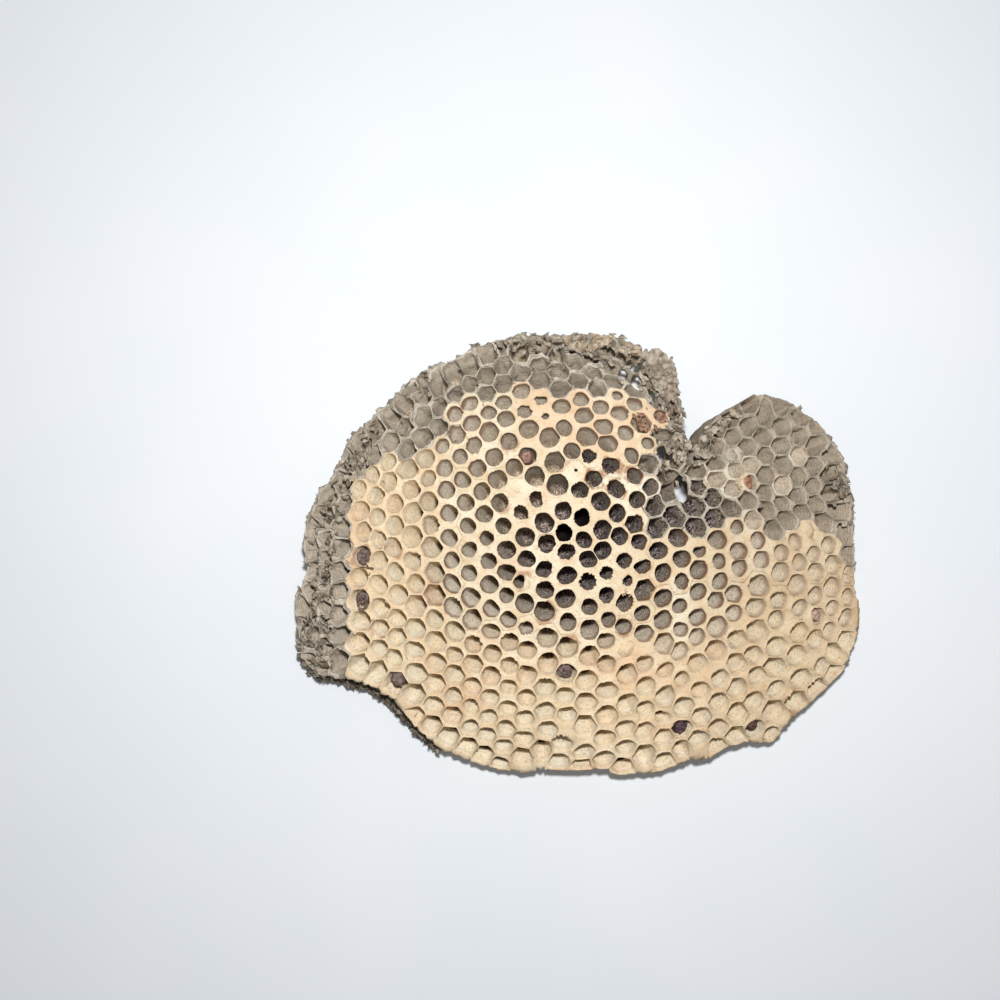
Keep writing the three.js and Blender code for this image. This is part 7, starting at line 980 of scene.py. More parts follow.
def comb_piece(name, cells, material):
    cells = np.array(sorted(cells))
    n = len(cells)
    inside = np.zeros(NC, bool)
    inside[cells] = True
    used, inv = np.unique(border[cells], return_inverse=True)
    inv = inv.reshape(n, NA)
    nb = len(used)
    s_c, l_c, t_c, k_c, d_c = silk[cells], lined[cells], tone[cells], crumpled[cells], deep[cells]
    verts, ca, cb, cc = [], [], [], []

    border_pale = np.zeros(NB)
    np.maximum.at(border_pale, border.ravel(), np.repeat(pale * silk, NA))

    def put(p, s, depth, t, lip, lin, cru, dk, stain, back=0.0, paint_to=0.5, white=0.0):
        # painted shade: a factor that rises towards the right of the comb, a little less at its foot; the material
        # darkens the colour and cuts the peach tint there, where the light falls off
        painted_shade = smooth(12, 62, np.asarray(p, float).reshape(-1, 3)[:, 0]) * (0.75 + 0.25 * smooth(-30, 0, np.asarray(p, float).reshape(-1, 3)[:, 1]))
        p = np.asarray(p, float).reshape(-1, 3)
        m = len(p)
        full = lambda v: np.broadcast_to(np.asarray(v, float).reshape(-1) if np.ndim(v) else v, (m,))
        start = sum(len(v) for v in verts)
        verts.append(warp(p, full(s) - 0.8 * full(cru)))
        ca.append(np.stack([full(s), np.clip(full(depth) / 16.4, 0, 1), full(t), full(lip)], -1))
        cb.append(np.stack([full(lin), full(paint_to), full(dk), full(stain)], -1))
        cc.append(np.stack([full(back), full(white), painted_shade, full(1.0)], -1))
        return start

    b0 = put(top_border[used], border_silk[used], 0.0, 0.5, 0.35, border_lined[used], border_crumpled[used], 0.0, 0.0, 0.0, 0.5, border_pale[used])
    ring_start = []
    for r in range(1, NR):
        rep = lambda v: np.repeat(v, NA)
        lip = {3: 0.8, 4: 1.0, 5: 0.9, 2: 0.4}.get(r, 0.0)
        ring_start.append(put(P[r][cells], rep(s_c), W[r][cells].ravel(), rep(t_c), lip, rep(l_c), rep(k_c), rep(murk[cells]), rep(stain[cells]), 0.0, rep(d_c), rep(pale[cells])))
    mid = put(CENTRE_PT[cells], s_c, centre_depth[cells], t_c, 0.0, l_c, k_c, murk[cells], stain[cells], 0.0, d_c)
    lb = put(low_border[used], border_silk[used], 0.0, 0.5, 0.0, border_lined[used], border_crumpled[used], 0.0, 0.0, 1.0)
    # the back: a low bump under each cell
    half = np.arange(0, NA, 2)
    backs = []
    for f, extra in ((0.80, 0.35), (0.42, 0.75)):
        p = C[cells][:, None, :] + (U * R[..., None])[cells][:, half] * f
        p = p + A[cells][:, None, :] * (((B - C[:, None, :]) * A[:, None, :]).sum(-1, keepdims=True)[cells][:, half] * f * f)
        q = sink(p, np.full(p.shape[:2], BACK - 0.5 + extra), 0.0, BACK)
        backs.append(put(q, np.repeat(s_c, len(half)), 0.0, np.repeat(t_c, len(half)), 0.0, 0.0, np.repeat(k_c, len(half)), 0.0, 0.0, 1.0))
    bc = put(sink(C[cells], np.full(n, BACK + 0.35), 0.0, BACK), s_c, 0.0, t_c, 0.0, 0.0, k_c, 0.0, 0.0, 1.0)

    quads, tris = [], []
    prev = b0 + inv
    for start in ring_start:
        cur = start + np.arange(n * NA).reshape(n, NA)
        quads.append(quad_strip(prev, cur))
        prev = cur
    nxt = np.roll(prev, -1, 1)
    tris.append(np.stack([prev, nxt, np.broadcast_to((mid + np.arange(n))[:, None], prev.shape)], -1).reshape(-1, 3))
    low = lb + inv
    h1 = backs[0] + np.arange(n * len(half)).reshape(n, -1)
    h2 = backs[1] + np.arange(n * len(half)).reshape(n, -1)
    o0, o1, o2 = low[:, 0::2], low[:, 1::2], np.roll(low[:, 0::2], -1, 1)
    i0, i1 = h1, np.roll(h1, -1, 1)
    tris.append(np.stack([o1, o0, i0], -1).reshape(-1, 3))
    tris.append(np.stack([o2, o1, i1], -1).reshape(-1, 3))
    tris.append(np.stack([i1, o1, i0], -1).reshape(-1, 3))
    quads.append(quad_strip(h1, h2)[:, ::-1])
    tris.append(np.stack([np.roll(h2, -1, 1), h2, np.broadcast_to((bc + np.arange(n))[:, None], h2.shape)], -1).reshape(-1, 3))

    # sides: outer walls of the comb, and the plain seams where one piece meets the next inside a shared wall
    edges, outer_v = [], {}
    for i, c in enumerate(cells):
        for k in range(6):
            a, b = ids[c, k], ids[c, (k + 1) % 6]
            owners = edge_of[(min(a, b), max(a, b))]
            if len(owners) == 2 and inside[owners[0][0]] and inside[owners[1][0]]:
                continue
            for j in range(SUB):
                va, vb = inv[i, k * SUB + j], inv[i, (k * SUB + j + 1) % NA]
                edges.append((va, vb))
                for v in (va, vb):
                    outer_v[v] = outer_v.get(v, False) or len(owners) == 1
    if edges:
        vs = np.array(sorted(outer_v))
        where = {v: i for i, v in enumerate(vs)}
        real = np.array([outer_v[v] for v in vs])[:, None]
        g = used[vs]
        cols = []
        for f in ROWS:
            p = top_border[g] * (1 - f) + low_border[g] * f
            swell = border_out[g] * (0.95 * border_bulge[g] * math.sin(math.pi * min(1, f * 1.15)) - 0.05)[:, None]
            swell = swell + border_out[g] * (0.30 * noise(p, 0.7, 51) + 0.16 * noise(p, 1.9, 53))[:, None]
            cols.append(put(p + swell * real, border_silk[g] * 0.75, 0.0, 0.5, 0.0, 0.0, border_crumpled[g], 0.0, 0.0, 0.55))
        e = np.array(edges)
        ia = np.array([where[v] for v in e[:, 0]])
        ib = np.array([where[v] for v in e[:, 1]])
        stack = [(b0 + e[:, 0], b0 + e[:, 1])] + [(s + ia, s + ib) for s in cols] + [(lb + e[:, 0], lb + e[:, 1])]
        for (ta, tb), (da, db) in zip(stack, stack[1:]):
            quads.append(np.stack([ta, da, db, tb], -1))
    return add_mesh(name, np.concatenate(verts), np.concatenate(quads), np.concatenate(tris),
                    {"pa": np.concatenate(ca), "pb": np.concatenate(cb), "pc": np.concatenate(cc)}, material)

# ---------------------------------------------------------------- materials
def lin(*rgb):
    out = []
    for v in rgb:
        v = v / 255.0
        out.append(v / 12.92 if v <= 0.04045 else ((v + 0.055) / 1.055) ** 2.4)
    return tuple(out) + (1.0,)


class Nodes:
    """Small helper that adds and links shader nodes."""

    def __init__(self, name):
        self.mat = bpy.data.materials.new(name)
        self.mat.use_nodes = True
        self.tree = self.mat.node_tree
        self.bsdf = self.tree.nodes["Principled BSDF"]

    def node(self, kind, **props):
        n = self.tree.nodes.new(kind)
        for k, v in props.items():
            setattr(n, k, v)
        return n

    def link(self, a, b):
        self.tree.links.new(a, b)

    def feed(self, sock, v):
        if isinstance(v, bpy.types.NodeSocket):
            self.link(v, sock)
        else:
            sock.default_value = v

    def attr(self, name):
        n = self.node("ShaderNodeAttribute", attribute_name=name)
        s = self.node("ShaderNodeSeparateColor")
        self.link(n.outputs["Color"], s.inputs[0])
        return s.outputs[0], s.outputs[1], s.outputs[2], n.outputs["Alpha"]

    def math(self, op, a, b=0.0, c=0.0, clamp=False):
        n = self.node("ShaderNodeMath", operation=op, use_clamp=clamp)
        self.feed(n.inputs[0], a)
        self.feed(n.inputs[1], b)
        self.feed(n.inputs[2], c)
        return n.outputs[0]

    def ramp(self, v, a, b, lo=0.0, hi=1.0):
        n = self.node("ShaderNodeMapRange", interpolation_type="SMOOTHSTEP")
        self.feed(n.inputs["Value"], v)
        self.feed(n.inputs["From Min"], a)
        self.feed(n.inputs["From Max"], b)
        self.feed(n.inputs["To Min"], lo)
        self.feed(n.inputs["To Max"], hi)
        return n.outputs["Result"]

    def mix(self, f, a, b, blend="MIX"):
        n = self.node("ShaderNodeMix", data_type="RGBA", blend_type=blend)
        self.feed(n.inputs[0], f)
        self.feed(n.inputs[6], a)
        self.feed(n.inputs[7], b)
        return n.outputs[2]

    def coords(self):
        return self.node("ShaderNodeTexCoord").outputs["Object"]

    def noise(self, vec, scale, detail=3.0, rough=0.55, distortion=0.0):
        n = self.node("ShaderNodeTexNoise")
        self.link(vec, n.inputs["Vector"])
        n.inputs["Scale"].default_value = scale
        n.inputs["Detail"].default_value = detail
        n.inputs["Roughness"].default_value = rough
        n.inputs["Distortion"].default_value = distortion
        return n.outputs[0]

    def voronoi(self, vec, scale, feature="F1"):
        n = self.node("ShaderNodeTexVoronoi", feature=feature)
        self.link(vec, n.inputs["Vector"])
        n.inputs["Scale"].default_value = scale
        return n.outputs["Distance"]

    def stretch(self, vec, x, y, z):
        n = self.node("ShaderNodeMapping")
        self.link(vec, n.inputs["Vector"])
        n.inputs["Scale"].default_value = (x, y, z)
        return n.outputs[0]

    def bump(self, height, strength, dist, normal=None):
        n = self.node("ShaderNodeBump")
        n.inputs["Strength"].default_value = strength
        n.inputs["Distance"].default_value = dist
        self.link(height, n.inputs["Height"])
        if normal is not None:
            self.link(normal, n.inputs["Normal"])
        return n.outputs[0]


def comb_material():
    m = Nodes("nest_paper_and_silk")
    vec = m.coords()
    silk_a, depth, tone_a, lip = m.attr("pa")
    lined_a, painted_shadow_start, murk_a, stain_a = m.attr("pb")
    back, white, painted_shade, _ = m.attr("pc")
    big = m.noise(vec, 60, 2.0)
    wide = m.noise(vec, 34, 3.0, 0.6)
    mid = m.noise(vec, 260, 3.0)
    fine = m.noise(vec, 1300, 4.0, 0.65)
    grit = m.noise(vec, 1700, 3.0, 0.75)
    # silk plate between the mouths
    silk_up = m.mix(m.ramp(big, 0.35, 0.65), lin(234, 214, 180), lin(246, 233, 206))
    silk_low = m.mix(m.ramp(big, 0.35, 0.65), lin(238, 212, 174), lin(247, 227, 193))
    silk_c = m.mix(lined_a, silk_up, silk_low)
    silk_c = m.mix(m.math("MULTIPLY", white, 0.9), silk_c, lin(232, 227, 211))
    silk_c = m.mix(m.math("MULTIPLY", m.ramp(wide, 0.52, 0.66, 0.0, 0.50), m.math("MULTIPLY_ADD", painted_shade, -0.75, 1.0)), silk_c, lin(236, 192, 152))
    silk_c = m.mix(m.ramp(mid, 0.48, 0.68, 0.0, 0.52), silk_c, lin(226, 194, 152))
    silk_c = m.mix(m.ramp(fine, 0.50, 0.68, 0.0, 0.60), silk_c, lin(202, 176, 138))
    silk_c = m.mix(m.math("MULTIPLY", lip, m.ramp(mid, 0.40, 0.62, 0.05, 0.45)), silk_c, lin(216, 174, 134))
    # bare paper on rims
    grey_c = m.mix(m.ramp(mid, 0.35, 0.65), lin(158, 146, 129), lin(208, 197, 179))
    grey_c = m.mix(m.ramp(fine, 0.48, 0.68, 0.0, 0.75), grey_c, lin(106, 94, 80))
    # grey paper rims made paler at the lip: a painted highlight along their lit edges
    grey_c = m.mix(m.math("MULTIPLY", lip, 0.7), grey_c, lin(228, 219, 202))
    edge_n = m.math("ADD", silk_a, m.math("MULTIPLY", m.math("SUBTRACT", mid, 0.5), 0.5))
    plate = m.mix(m.ramp(edge_n, 0.42, 0.58), grey_c, silk_c)
    # walls inside the cells: growth bands along the depth
    wob = m.math("MULTIPLY", m.math("SUBTRACT", mid, 0.5), 0.16)
    band = m.math("SINE", m.math("MULTIPLY", m.math("ADD", depth, wob), 16.4 * 6.283 / 0.85))
    patchy = m.ramp(m.noise(vec, 150, 2.0), 0.38, 0.62, 0.25, 1.0)
    band01 = m.math("MULTIPLY_ADD", m.math("MULTIPLY", band, patchy), 0.5, 0.5)
    wall_g = m.mix(band01, lin(180, 167, 149), lin(210, 198, 180))
    murk2 = m.ramp(murk_a, 0.25, 0.9)
    wall_u = m.mix(band01, lin(226, 210, 187), lin(255, 248, 232))
    wall_g = m.mix(m.math("MULTIPLY", silk_a, m.math("SUBTRACT", 1.0, murk2)), wall_g, wall_u)
    wall_g = m.mix(m.ramp(fine, 0.47, 0.66, 0.0, 0.55), wall_g, lin(144, 126, 105))
    wall_g = m.mix(m.math("MULTIPLY", murk2, m.ramp(grit, 0.44, 0.56)), wall_g, lin(66, 50, 40))
    wall_s = m.mix(band01, lin(250, 231, 197), lin(254, 243, 216))
    wall_s = m.mix(m.math("MULTIPLY", m.ramp(wide, 0.50, 0.64, 0.0, 0.5), m.math("MULTIPLY_ADD", painted_shade, -0.7, 1.0)), wall_s, lin(240, 204, 162))
    wall_s = m.mix(m.ramp(mid, 0.47, 0.60, 0.0, 0.60), wall_s, lin(236, 228, 210))
    wall_s = m.mix(m.ramp(fine, 0.49, 0.66, 0.0, 0.68), wall_s, lin(202, 176, 136))
    wall_s = m.mix(m.ramp(tone_a, 0.62, 0.86, 0.0, 0.24), wall_s, lin(230, 222, 202))
    wall_s = m.mix(m.ramp(tone_a, 0.34, 0.14, 0.0, 0.15), wall_s, lin(240, 198, 160))
    lin_n = m.math("ADD", lined_a, m.math("MULTIPLY", m.math("SUBTRACT", mid, 0.5), 0.35))
    wall = m.mix(m.math("MULTIPLY", m.ramp(lin_n, 0.2, 0.8), silk_a), wall_g, wall_s)
    coarse = m.noise(vec, 800, 2.0)
    dark_a = m.mix(m.ramp(grit, 0.47, 0.56), lin(52, 36, 36), lin(226, 208, 200))
    dark_a = m.mix(m.ramp(coarse, 0.52, 0.64), dark_a, lin(30, 19, 14))
    dark_a = m.mix(m.ramp(depth, 0.84, 0.97, 0.0, 0.45), dark_a, lin(78, 62, 54))
    dark_b = m.mix(m.ramp(grit, 0.44, 0.57), lin(168, 146, 119), lin(250, 236, 213))
    # brown of the lined cells' deep walls: painted shadow under the upper lips, partly brown staining
    brown_stain_and_painted_shadow = m.mix(m.ramp(grit, 0.45, 0.62), lin(70, 48, 30), lin(132, 102, 70))
    dark_b = m.mix(lined_a, dark_b, brown_stain_and_painted_shadow)
    dark = m.mix(murk2, dark_b, dark_a)
    start = m.math("MULTIPLY_ADD", murk2, -0.32, 0.48)
    start = m.math("ADD", start, m.math("MULTIPLY", m.math("SUBTRACT", tone_a, 0.5), 0.14))
    # lined cells start the brown at their own painted shadow depth
    start = m.math("ADD", m.math("MULTIPLY", start, m.math("SUBTRACT", 1.0, lined_a)), m.math("MULTIPLY", painted_shadow_start, lined_a))
    stop = m.math("ADD", start, m.math("MULTIPLY_ADD", lined_a, -0.24, 0.32))
    dn = m.math("ADD", depth, m.math("MULTIPLY", m.math("SUBTRACT", mid, 0.5), m.math("MULTIPLY_ADD", lined_a, -0.04, 0.22)))
    wall = m.mix(m.ramp(dn, start, stop), wall, dark)
    # tan ring just inside the mouth: partly the tan silk lining, partly painted shade under the collar lip
    tan_lining_and_lip_shade = m.mix(m.math("MULTIPLY", m.math("MULTIPLY", silk_a, m.math("MULTIPLY_ADD", white, -0.8, 1.0)), m.ramp(lined_a, 0.0, 1.0, 0.80, 0.15)), wall, lin(146, 106, 74))
    wall = m.mix(m.ramp(m.math("ADD", depth, m.math("MULTIPLY", m.math("SUBTRACT", mid, 0.5), 0.08)), 0.08, m.math("MULTIPLY_ADD", lined_a, -0.12, 0.27)), tan_lining_and_lip_shade, wall)
    inside_f = m.ramp(depth, 0.012, 0.04)
    wall = m.mix(m.math("MULTIPLY", m.ramp(murk_a, 1.05, 1.4), m.ramp(depth, 0.05, 0.14)), wall, lin(24, 15, 13))
    colour = m.mix(inside_f, plate, wall)
    # painted shade: the colour is multiplied darker towards the right of the comb
    colour = m.mix(painted_shade, colour, lin(236, 232, 227), "MULTIPLY")
    # back and sides
    back_c = m.mix(m.ramp(m.noise(m.stretch(vec, 1, 1, 2.2), 420, 3.0, 0.6), 0.35, 0.65), lin(128, 116, 102), lin(172, 160, 142))
    back_c = m.mix(m.math("MULTIPLY", silk_a, 0.55), back_c, lin(214, 192, 156))
    colour = m.mix(m.ramp(back, 0.3, 0.6), colour, back_c)
    colour = m.mix(m.math("MULTIPLY", m.math("MULTIPLY", stain_a, m.ramp(mid, 0.40, 0.6)), m.ramp(depth, 0.0, 0.2, 1.0, 0.1)), colour, lin(164, 110, 78))
    m.link(colour, m.bsdf.inputs["Base Color"])
    rough = m.ramp(fine, 0.2, 0.8, 0.72, 0.95)
    m.link(rough, m.bsdf.inputs["Roughness"])
    m.bsdf.inputs["Specular IOR Level"].default_value = 0.25
    h1 = m.bump(m.math("ADD", fine, m.math("MULTIPLY", grit, 0.5)), 0.55, 0.00022)
    h2 = m.bump(mid, 0.7, 0.0008, h1)
    h3 = m.bump(m.math("MULTIPLY", band, m.ramp(depth, 0.02, 0.08)), 0.30, 0.00012, h2)
    m.link(h3, m.bsdf.inputs["Normal"])
    return m.mat


def floor_material():
    m = Nodes("pale_floor")
    vec = m.coords()
    n = m.noise(vec, 9, 2.0)
    m.link(m.mix(m.ramp(n, 0.3, 0.7), lin(239, 243, 247), lin(243, 246, 249)), m.bsdf.inputs["Base Color"])
    m.bsdf.inputs["Roughness"].default_value = 0.8
    return m.mat

# ---------------------------------------------------------------- loose paper, torn sheets and the dried brood
def view_point(u, v, z):
    s = (459.0 - z) / PX_F
    return np.array([(u - 500) * s - 24.82, -(v - 499) * s + 17.77, z])


def dome_z(x, y):
    d = np.hypot(C[:, 0] - x, C[:, 1] - y)
    i = np.argsort(d)[:4]
    w = 1 / (d[i] + 0.5) ** 2
    return float((C[i, 2] * w).sum() / w.sum())


def on_comb(u, v, lift=0.0):
    z = 20.0
    for _ in range(4):
        p = view_point(u, v, z)
        z = dome_z(p[0], p[1]) + lift
    return view_point(u, v, z)


def slab(front, thick):
    """A closed thin sheet from a grid of points (m, n, 3)."""
    m, n = front.shape[:2]
    gu = np.gradient(front, axis=0)
    gv = np.gradient(front, axis=1)
    nrm = unit(np.cross(gu, gv))
    back = front - nrm * thick
    verts = np.concatenate([front.reshape(-1, 3), back.reshape(-1, 3)])
    idx = np.arange(m * n).reshape(m, n)
    a, b, c, d = idx[:-1, :-1], idx[1:, :-1], idx[1:, 1:], idx[:-1, 1:]
    q = [np.stack([a, b, c, d], -1).reshape(-1, 4), np.stack([d, c, b, a], -1).reshape(-1, 4) + m * n]
    loop = np.concatenate([idx[0, :-1], idx[:-1, -1], idx[-1, :0:-1], idx[:0:-1, 0]])
    nxt = np.roll(loop, -1)
    q.append(np.stack([loop, nxt, nxt + m * n, loop + m * n], -1))
    return verts, np.concatenate(q)


class Bits:
    """Collects many small closed sheets and threads into one mesh."""

    def __init__(self):
        self.v, self.q, self.a, self.n = [], [], [], 0

    def add(self, verts, quads, a):
        self.v.append(verts)
        self.q.append(quads + self.n)
        self.a.append(np.broadcast_to(np.asarray(a, float), (len(verts), 4)))
        self.n += len(verts)

    def make(self, name, material):
        return add_mesh(name, np.concatenate(self.v), np.concatenate(self.q), np.zeros((0, 3), int),
                        {"pa": np.concatenate(self.a)}, material)


def flake(at, normal, size, along=None, curl=0.5, lengthen=1.4, flat=0.0):
    """A small torn, curled bit of paper standing on the comb."""
    m, n = 6, 4
    if along is None:
        along = rng.standard_normal(3)
    normal = unit(normal)
    t = unit(along - normal * float(along @ normal))
    b = np.cross(normal, t)
    u = np.linspace(-0.5, 0.5, m)[:, None] * np.ones((1, n))
    v = np.linspace(0, 1, n)[None, :] * np.ones((m, 1))
    u = u * (1 - 0.35 * v * rng.random()) + 0.09 * rng.standard_normal((m, n))
    v = v + 0.10 * rng.standard_normal((m, n)) * (v > 0)
    lean = rng.uniform(-0.9, 0.9) if flat == 0 else rng.choice([-1, 1]) * rng.uniform(1.0, 1.5)
    h = v * math.cos(lean)
    o = v * math.sin(lean) + curl * rng.uniform(-0.6, 0.6) * v * v + 0.35 * rng.uniform(-1, 1) * u * u * 2
    p = at + size * (t * u[..., None] * lengthen + normal * h[..., None] * 0.8 + b * o[..., None])
    return slab(p, 0.10)


def sheet_from(top, bottom, lift_a, lift_b, m, n, seed, rough=0.35, fray=0.5):
    """A torn sheet of paper between two edges given where they are seen, lying on the comb."""
    top, bottom = np.array(top, float), np.array(bottom, float)

    def resample(e, k):
        s = np.concatenate([[0], np.cumsum(np.hypot(*np.diff(e, axis=0).T))])
        t = np.linspace(0, s[-1], k)
        return np.stack([np.interp(t, s, e[:, 0]), np.interp(t, s, e[:, 1])], -1)

    A1, B1 = resample(top, m), resample(bottom, m)
    g = np.zeros((m, n, 3))
    for i in range(m):
        for j in range(n):
            f = j / (n - 1)
            u, v = A1[i] * (1 - f) + B1[i] * f
            g[i, j] = on_comb(u, v, lift_a * (1 - f) + lift_b * f)
    g = g + rough * noise_vec(g, 0.28, seed) + 0.4 * rough * noise_vec(g, 0.9, seed + 3)
    edge = np.zeros((m, n))
    edge[:, -1] = 1
    edge[0] = edge[-1] = 0.6
    g = g + (fray * edge * 1.0)[..., None] * noise_vec(g, 1.7, seed + 5)
    return g


def paper_bits_material():
    m = Nodes("loose_paper")
    vec = m.coords()
    r, g, b, al = m.attr("pa")
    fine = m.noise(vec, 1500, 4.0, 0.65)
    mid = m.noise(vec, 420, 3.0)
    grey = m.mix(m.ramp(mid, 0.35, 0.65), lin(140, 128, 112), lin(202, 190, 171))
    cream = m.mix(m.ramp(mid, 0.35, 0.65), lin(214, 186, 150), lin(238, 220, 186))
    c = m.mix(r, grey, cream)
    # the second channel darkens: darker scraps at random, the dried purple scraps, and painted shade on the
    # downward-facing underside flakes and in the torn sheets' cracks
    c = m.mix(m.math("MULTIPLY", g, 0.85), c, lin(58, 46, 38))
    c = m.mix(m.math("MULTIPLY", b, 0.75), c, lin(168, 118, 92))
    c = m.mix(m.ramp(fine, 0.52, 0.75, 0.0, 0.6), c, lin(104, 92, 80))
    m.link(c, m.bsdf.inputs["Base Color"])
    m.link(m.ramp(fine, 0.2, 0.8, 0.75, 0.95), m.bsdf.inputs["Roughness"])
    m.bsdf.inputs["Specular IOR Level"].default_value = 0.2
    h = m.bump(fine, 0.6, 0.0002)
    m.link(m.bump(mid, 0.4, 0.0005, h), m.bsdf.inputs["Normal"])
    return m.mat


def inside_poly(poly, u, v):
    poly = np.asarray(poly, float)
    x, y = poly[:, 0], poly[:, 1]
    x2, y2 = np.roll(x, -1), np.roll(y, -1)
    hit = ((y > v) != (y2 > v)) & (u < (x2 - x) * (v - y) / np.where(y2 == y, 1e-9, y2 - y) + x)
    return bool(hit.sum() % 2)


def litter(poly, n, size, lift, kinds, flat_share=0.6):
    """Crumpled scraps of paper lying over one patch of the comb."""
    poly = np.asarray(poly, float)
    lo, hi = poly.min(0), poly.max(0)
    made = 0
    while made < n:
        u, v = rng.uniform(lo[0], hi[0]), rng.uniform(lo[1], hi[1])
        if not inside_poly(poly, u, v) or any(inside_poly(t, u, v) for t in TORN):
            continue
        made += 1
        p = on_comb(u, v, lift + 0.3 * rng.standard_normal())
        nrm = unit(axis_at(p) + 0.45 * rng.standard_normal(3))
        vv, q = flake(p, nrm, size * rng.uniform(0.5, 1.3), lengthen=1.6, flat=float(rng.random() < flat_share))
        bits.add(vv, q, kinds())


def brood_material(name, dark, light, tint, gloss):
    m = Nodes(name)
    vec = m.coords()
    big = m.noise(vec, 500, 3.0, 0.6)
    fine = m.noise(vec, 1900, 4.0, 0.65)
    c = m.mix(m.ramp(big, 0.38, 0.62), lin(*dark), lin(*light))
    c = m.mix(m.ramp(fine, 0.52, 0.72, 0.0, 0.7), c, lin(*tint))
    m.link(c, m.bsdf.inputs["Base Color"])
    m.link(m.ramp(fine, 0.3, 0.7, gloss, min(0.95, gloss + 0.25)), m.bsdf.inputs["Roughness"])
    h = m.bump(fine, 0.7, 0.00022)
    m.link(m.bump(big, 0.6, 0.0006, h), m.bsdf.inputs["Normal"])
    return m.mat


def brood(name, node, cell, across, length, depth, seed, material, fold=0.25, rings=0.0, squash=(1.0, 1.0)):
    """A shrivelled larva or pupa in its cell, its middle this deep under the mouth."""
    nt, npn = 56, 34
    a = A[cell]
    x = U[cell, 0]
    y = np.cross(a, x)
    th = np.linspace(0, 2 * np.pi, nt, endpoint=False)
    ph = np.linspace(0, np.pi, npn + 2)[1:-1]
    d = np.stack([np.sin(ph)[:, None] * np.cos(th), np.sin(ph)[:, None] * np.sin(th), np.cos(ph)[:, None] * np.ones(nt)], -1)
    box = np.sign(d) * np.abs(d) ** 0.85
    r = 1 + fold * noise(d * 1.0, 2.1, seed) + fold * 0.6 * noise(d, 4.7, seed + 1) + 0.06 * noise(d, 11.0, seed + 2)
    r = r - 0.22 * np.abs(noise(d, 3.1, seed + 4)) ** 2
    r = r * (1 + rings * np.sin(d[..., 2] * 9.0 + noise(d, 1.5, seed + 6)))
    p = box * r[..., None] * np.array([across / 2 * squash[0], across / 2 * squash[1], length / 2])
    pole = [p[0].mean(0) + [0, 0, 0.05], p[-1].mean(0) - [0, 0, 0.05]]
    p = np.concatenate([p.reshape(-1, 3), np.array(pole)])
    # nothing passes the cell's own wall
    wall = T[cell].min() * 0.97
    rad = np.hypot(p[:, 0], p[:, 1])
    p[:, :2] *= np.minimum(1, wall / np.maximum(rad, 1e-6))[:, None]
    w = C[cell] - a * depth + p[:, :1] * x + p[:, 1:2] * y + p[:, 2:] * a
    w = warp(w, np.full(len(w), silk[cell]))
    idx = np.arange(nt * npn).reshape(npn, nt)
    q = quad_strip(idx[:-1], idx[1:])
    q = q[:, ::-1]
    top = np.stack([idx[0], np.roll(idx[0], -1), np.full(nt, nt * npn)], -1)
    bot = np.stack([np.roll(idx[-1], -1), idx[-1], np.full(nt, nt * npn + 1)], -1)
    o = add_mesh(name, w, q[:, ::-1], np.concatenate([top, bot])[:, [0, 1, 2]], {}, material)
    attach(o, "root")
    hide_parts(node)
    return o


TORN = [
    [(631, 366), (634, 364), (638, 364.5), (639.5, 368), (639, 373), (635, 372.5), (631, 371)],
    [(618.5, 372), (621, 368.5), (625, 370), (627.5, 375), (626.5, 380), (623, 379), (620, 377)],
    [(631, 379), (633, 375.5), (638, 375), (641.5, 380), (643.5, 389), (641, 391.5), (637, 389.5), (633, 387), (631, 384)],
    [(647.5, 390), (650, 388.5), (653.5, 391), (655, 397), (654.6, 402), (653, 404.5), (650.5, 402), (649, 396)],
    [(657, 449), (661, 447), (664.5, 452), (664.5, 460), (661, 461), (658, 456)],
    [(667, 453), (670, 452), (672, 458), (671, 465), (668.5, 464)],
    [(674, 480), (678, 475.5), (683, 477), (686.5, 483), (688, 492), (686.5, 500), (683, 503), (678, 501), (675, 494), (673.5, 487)],
]


def cutter():
    """Ragged prisms for the torn openings, joined in one closed mesh."""
    verts, quads, tris, n0 = [], [], [], 0
    for k, poly in enumerate(TORN):
        poly = np.array(poly)
        pts = []
        for i in range(len(poly)):
            a, b = poly[i], poly[(i + 1) % len(poly)]
            for f in (0, 0.33, 0.66):
                p = a * (1 - f) + b * f
                pts.append(p + rng.uniform(-0.35, 0.35, 2))
        pts = np.array(pts)
        # counter-clockwise seen from above: the picture's y runs down
        area = np.sum(pts[:, 0] * np.roll(pts[:, 1], -1) - np.roll(pts[:, 0], -1) * pts[:, 1])
        if area > 0:
            pts = pts[::-1]
        n = len(pts)
        zs = (-3.0, 33.0)
        for z in zs:
            mid = pts.mean(0)
            verts += [view_point(u, v, z) for u, v in pts] + [view_point(mid[0], mid[1], z)]
        lo, hi = n0, n0 + n + 1
        for i in range(n):
            j = (i + 1) % n
            quads.append((lo + i, lo + j, hi + j, hi + i))
            tris.append((hi + i, hi + j, hi + n))
            tris.append((lo + j, lo + i, lo + n))
        n0 += 2 * (n + 1)
    me = bpy.data.meshes.new("cutter")
    me.from_pydata([tuple(v * MM) for v in verts], [], quads + tris)
    o = bpy.data.objects.new("cutter", me)
    bpy.context.scene.collection.objects.link(o)
    return o


def cut(ob, tool):
    """Takes the torn openings out of a piece, for good."""
    mod = ob.modifiers.new("torn", "BOOLEAN")
    mod.operation = "DIFFERENCE"
    mod.object = tool
    mod.solver = "MANIFOLD"
    before = len(ob.data.vertices)
    dg = bpy.context.evaluated_depsgraph_get()
    new = bpy.data.meshes.new_from_object(ob.evaluated_get(dg), preserve_all_data_layers=True, depsgraph=dg)
    ob.modifiers.clear()
    if len(new.vertices) > before * 0.8:
        old = ob.data
        ob.data = new
        bpy.data.meshes.remove(old)
    return ob

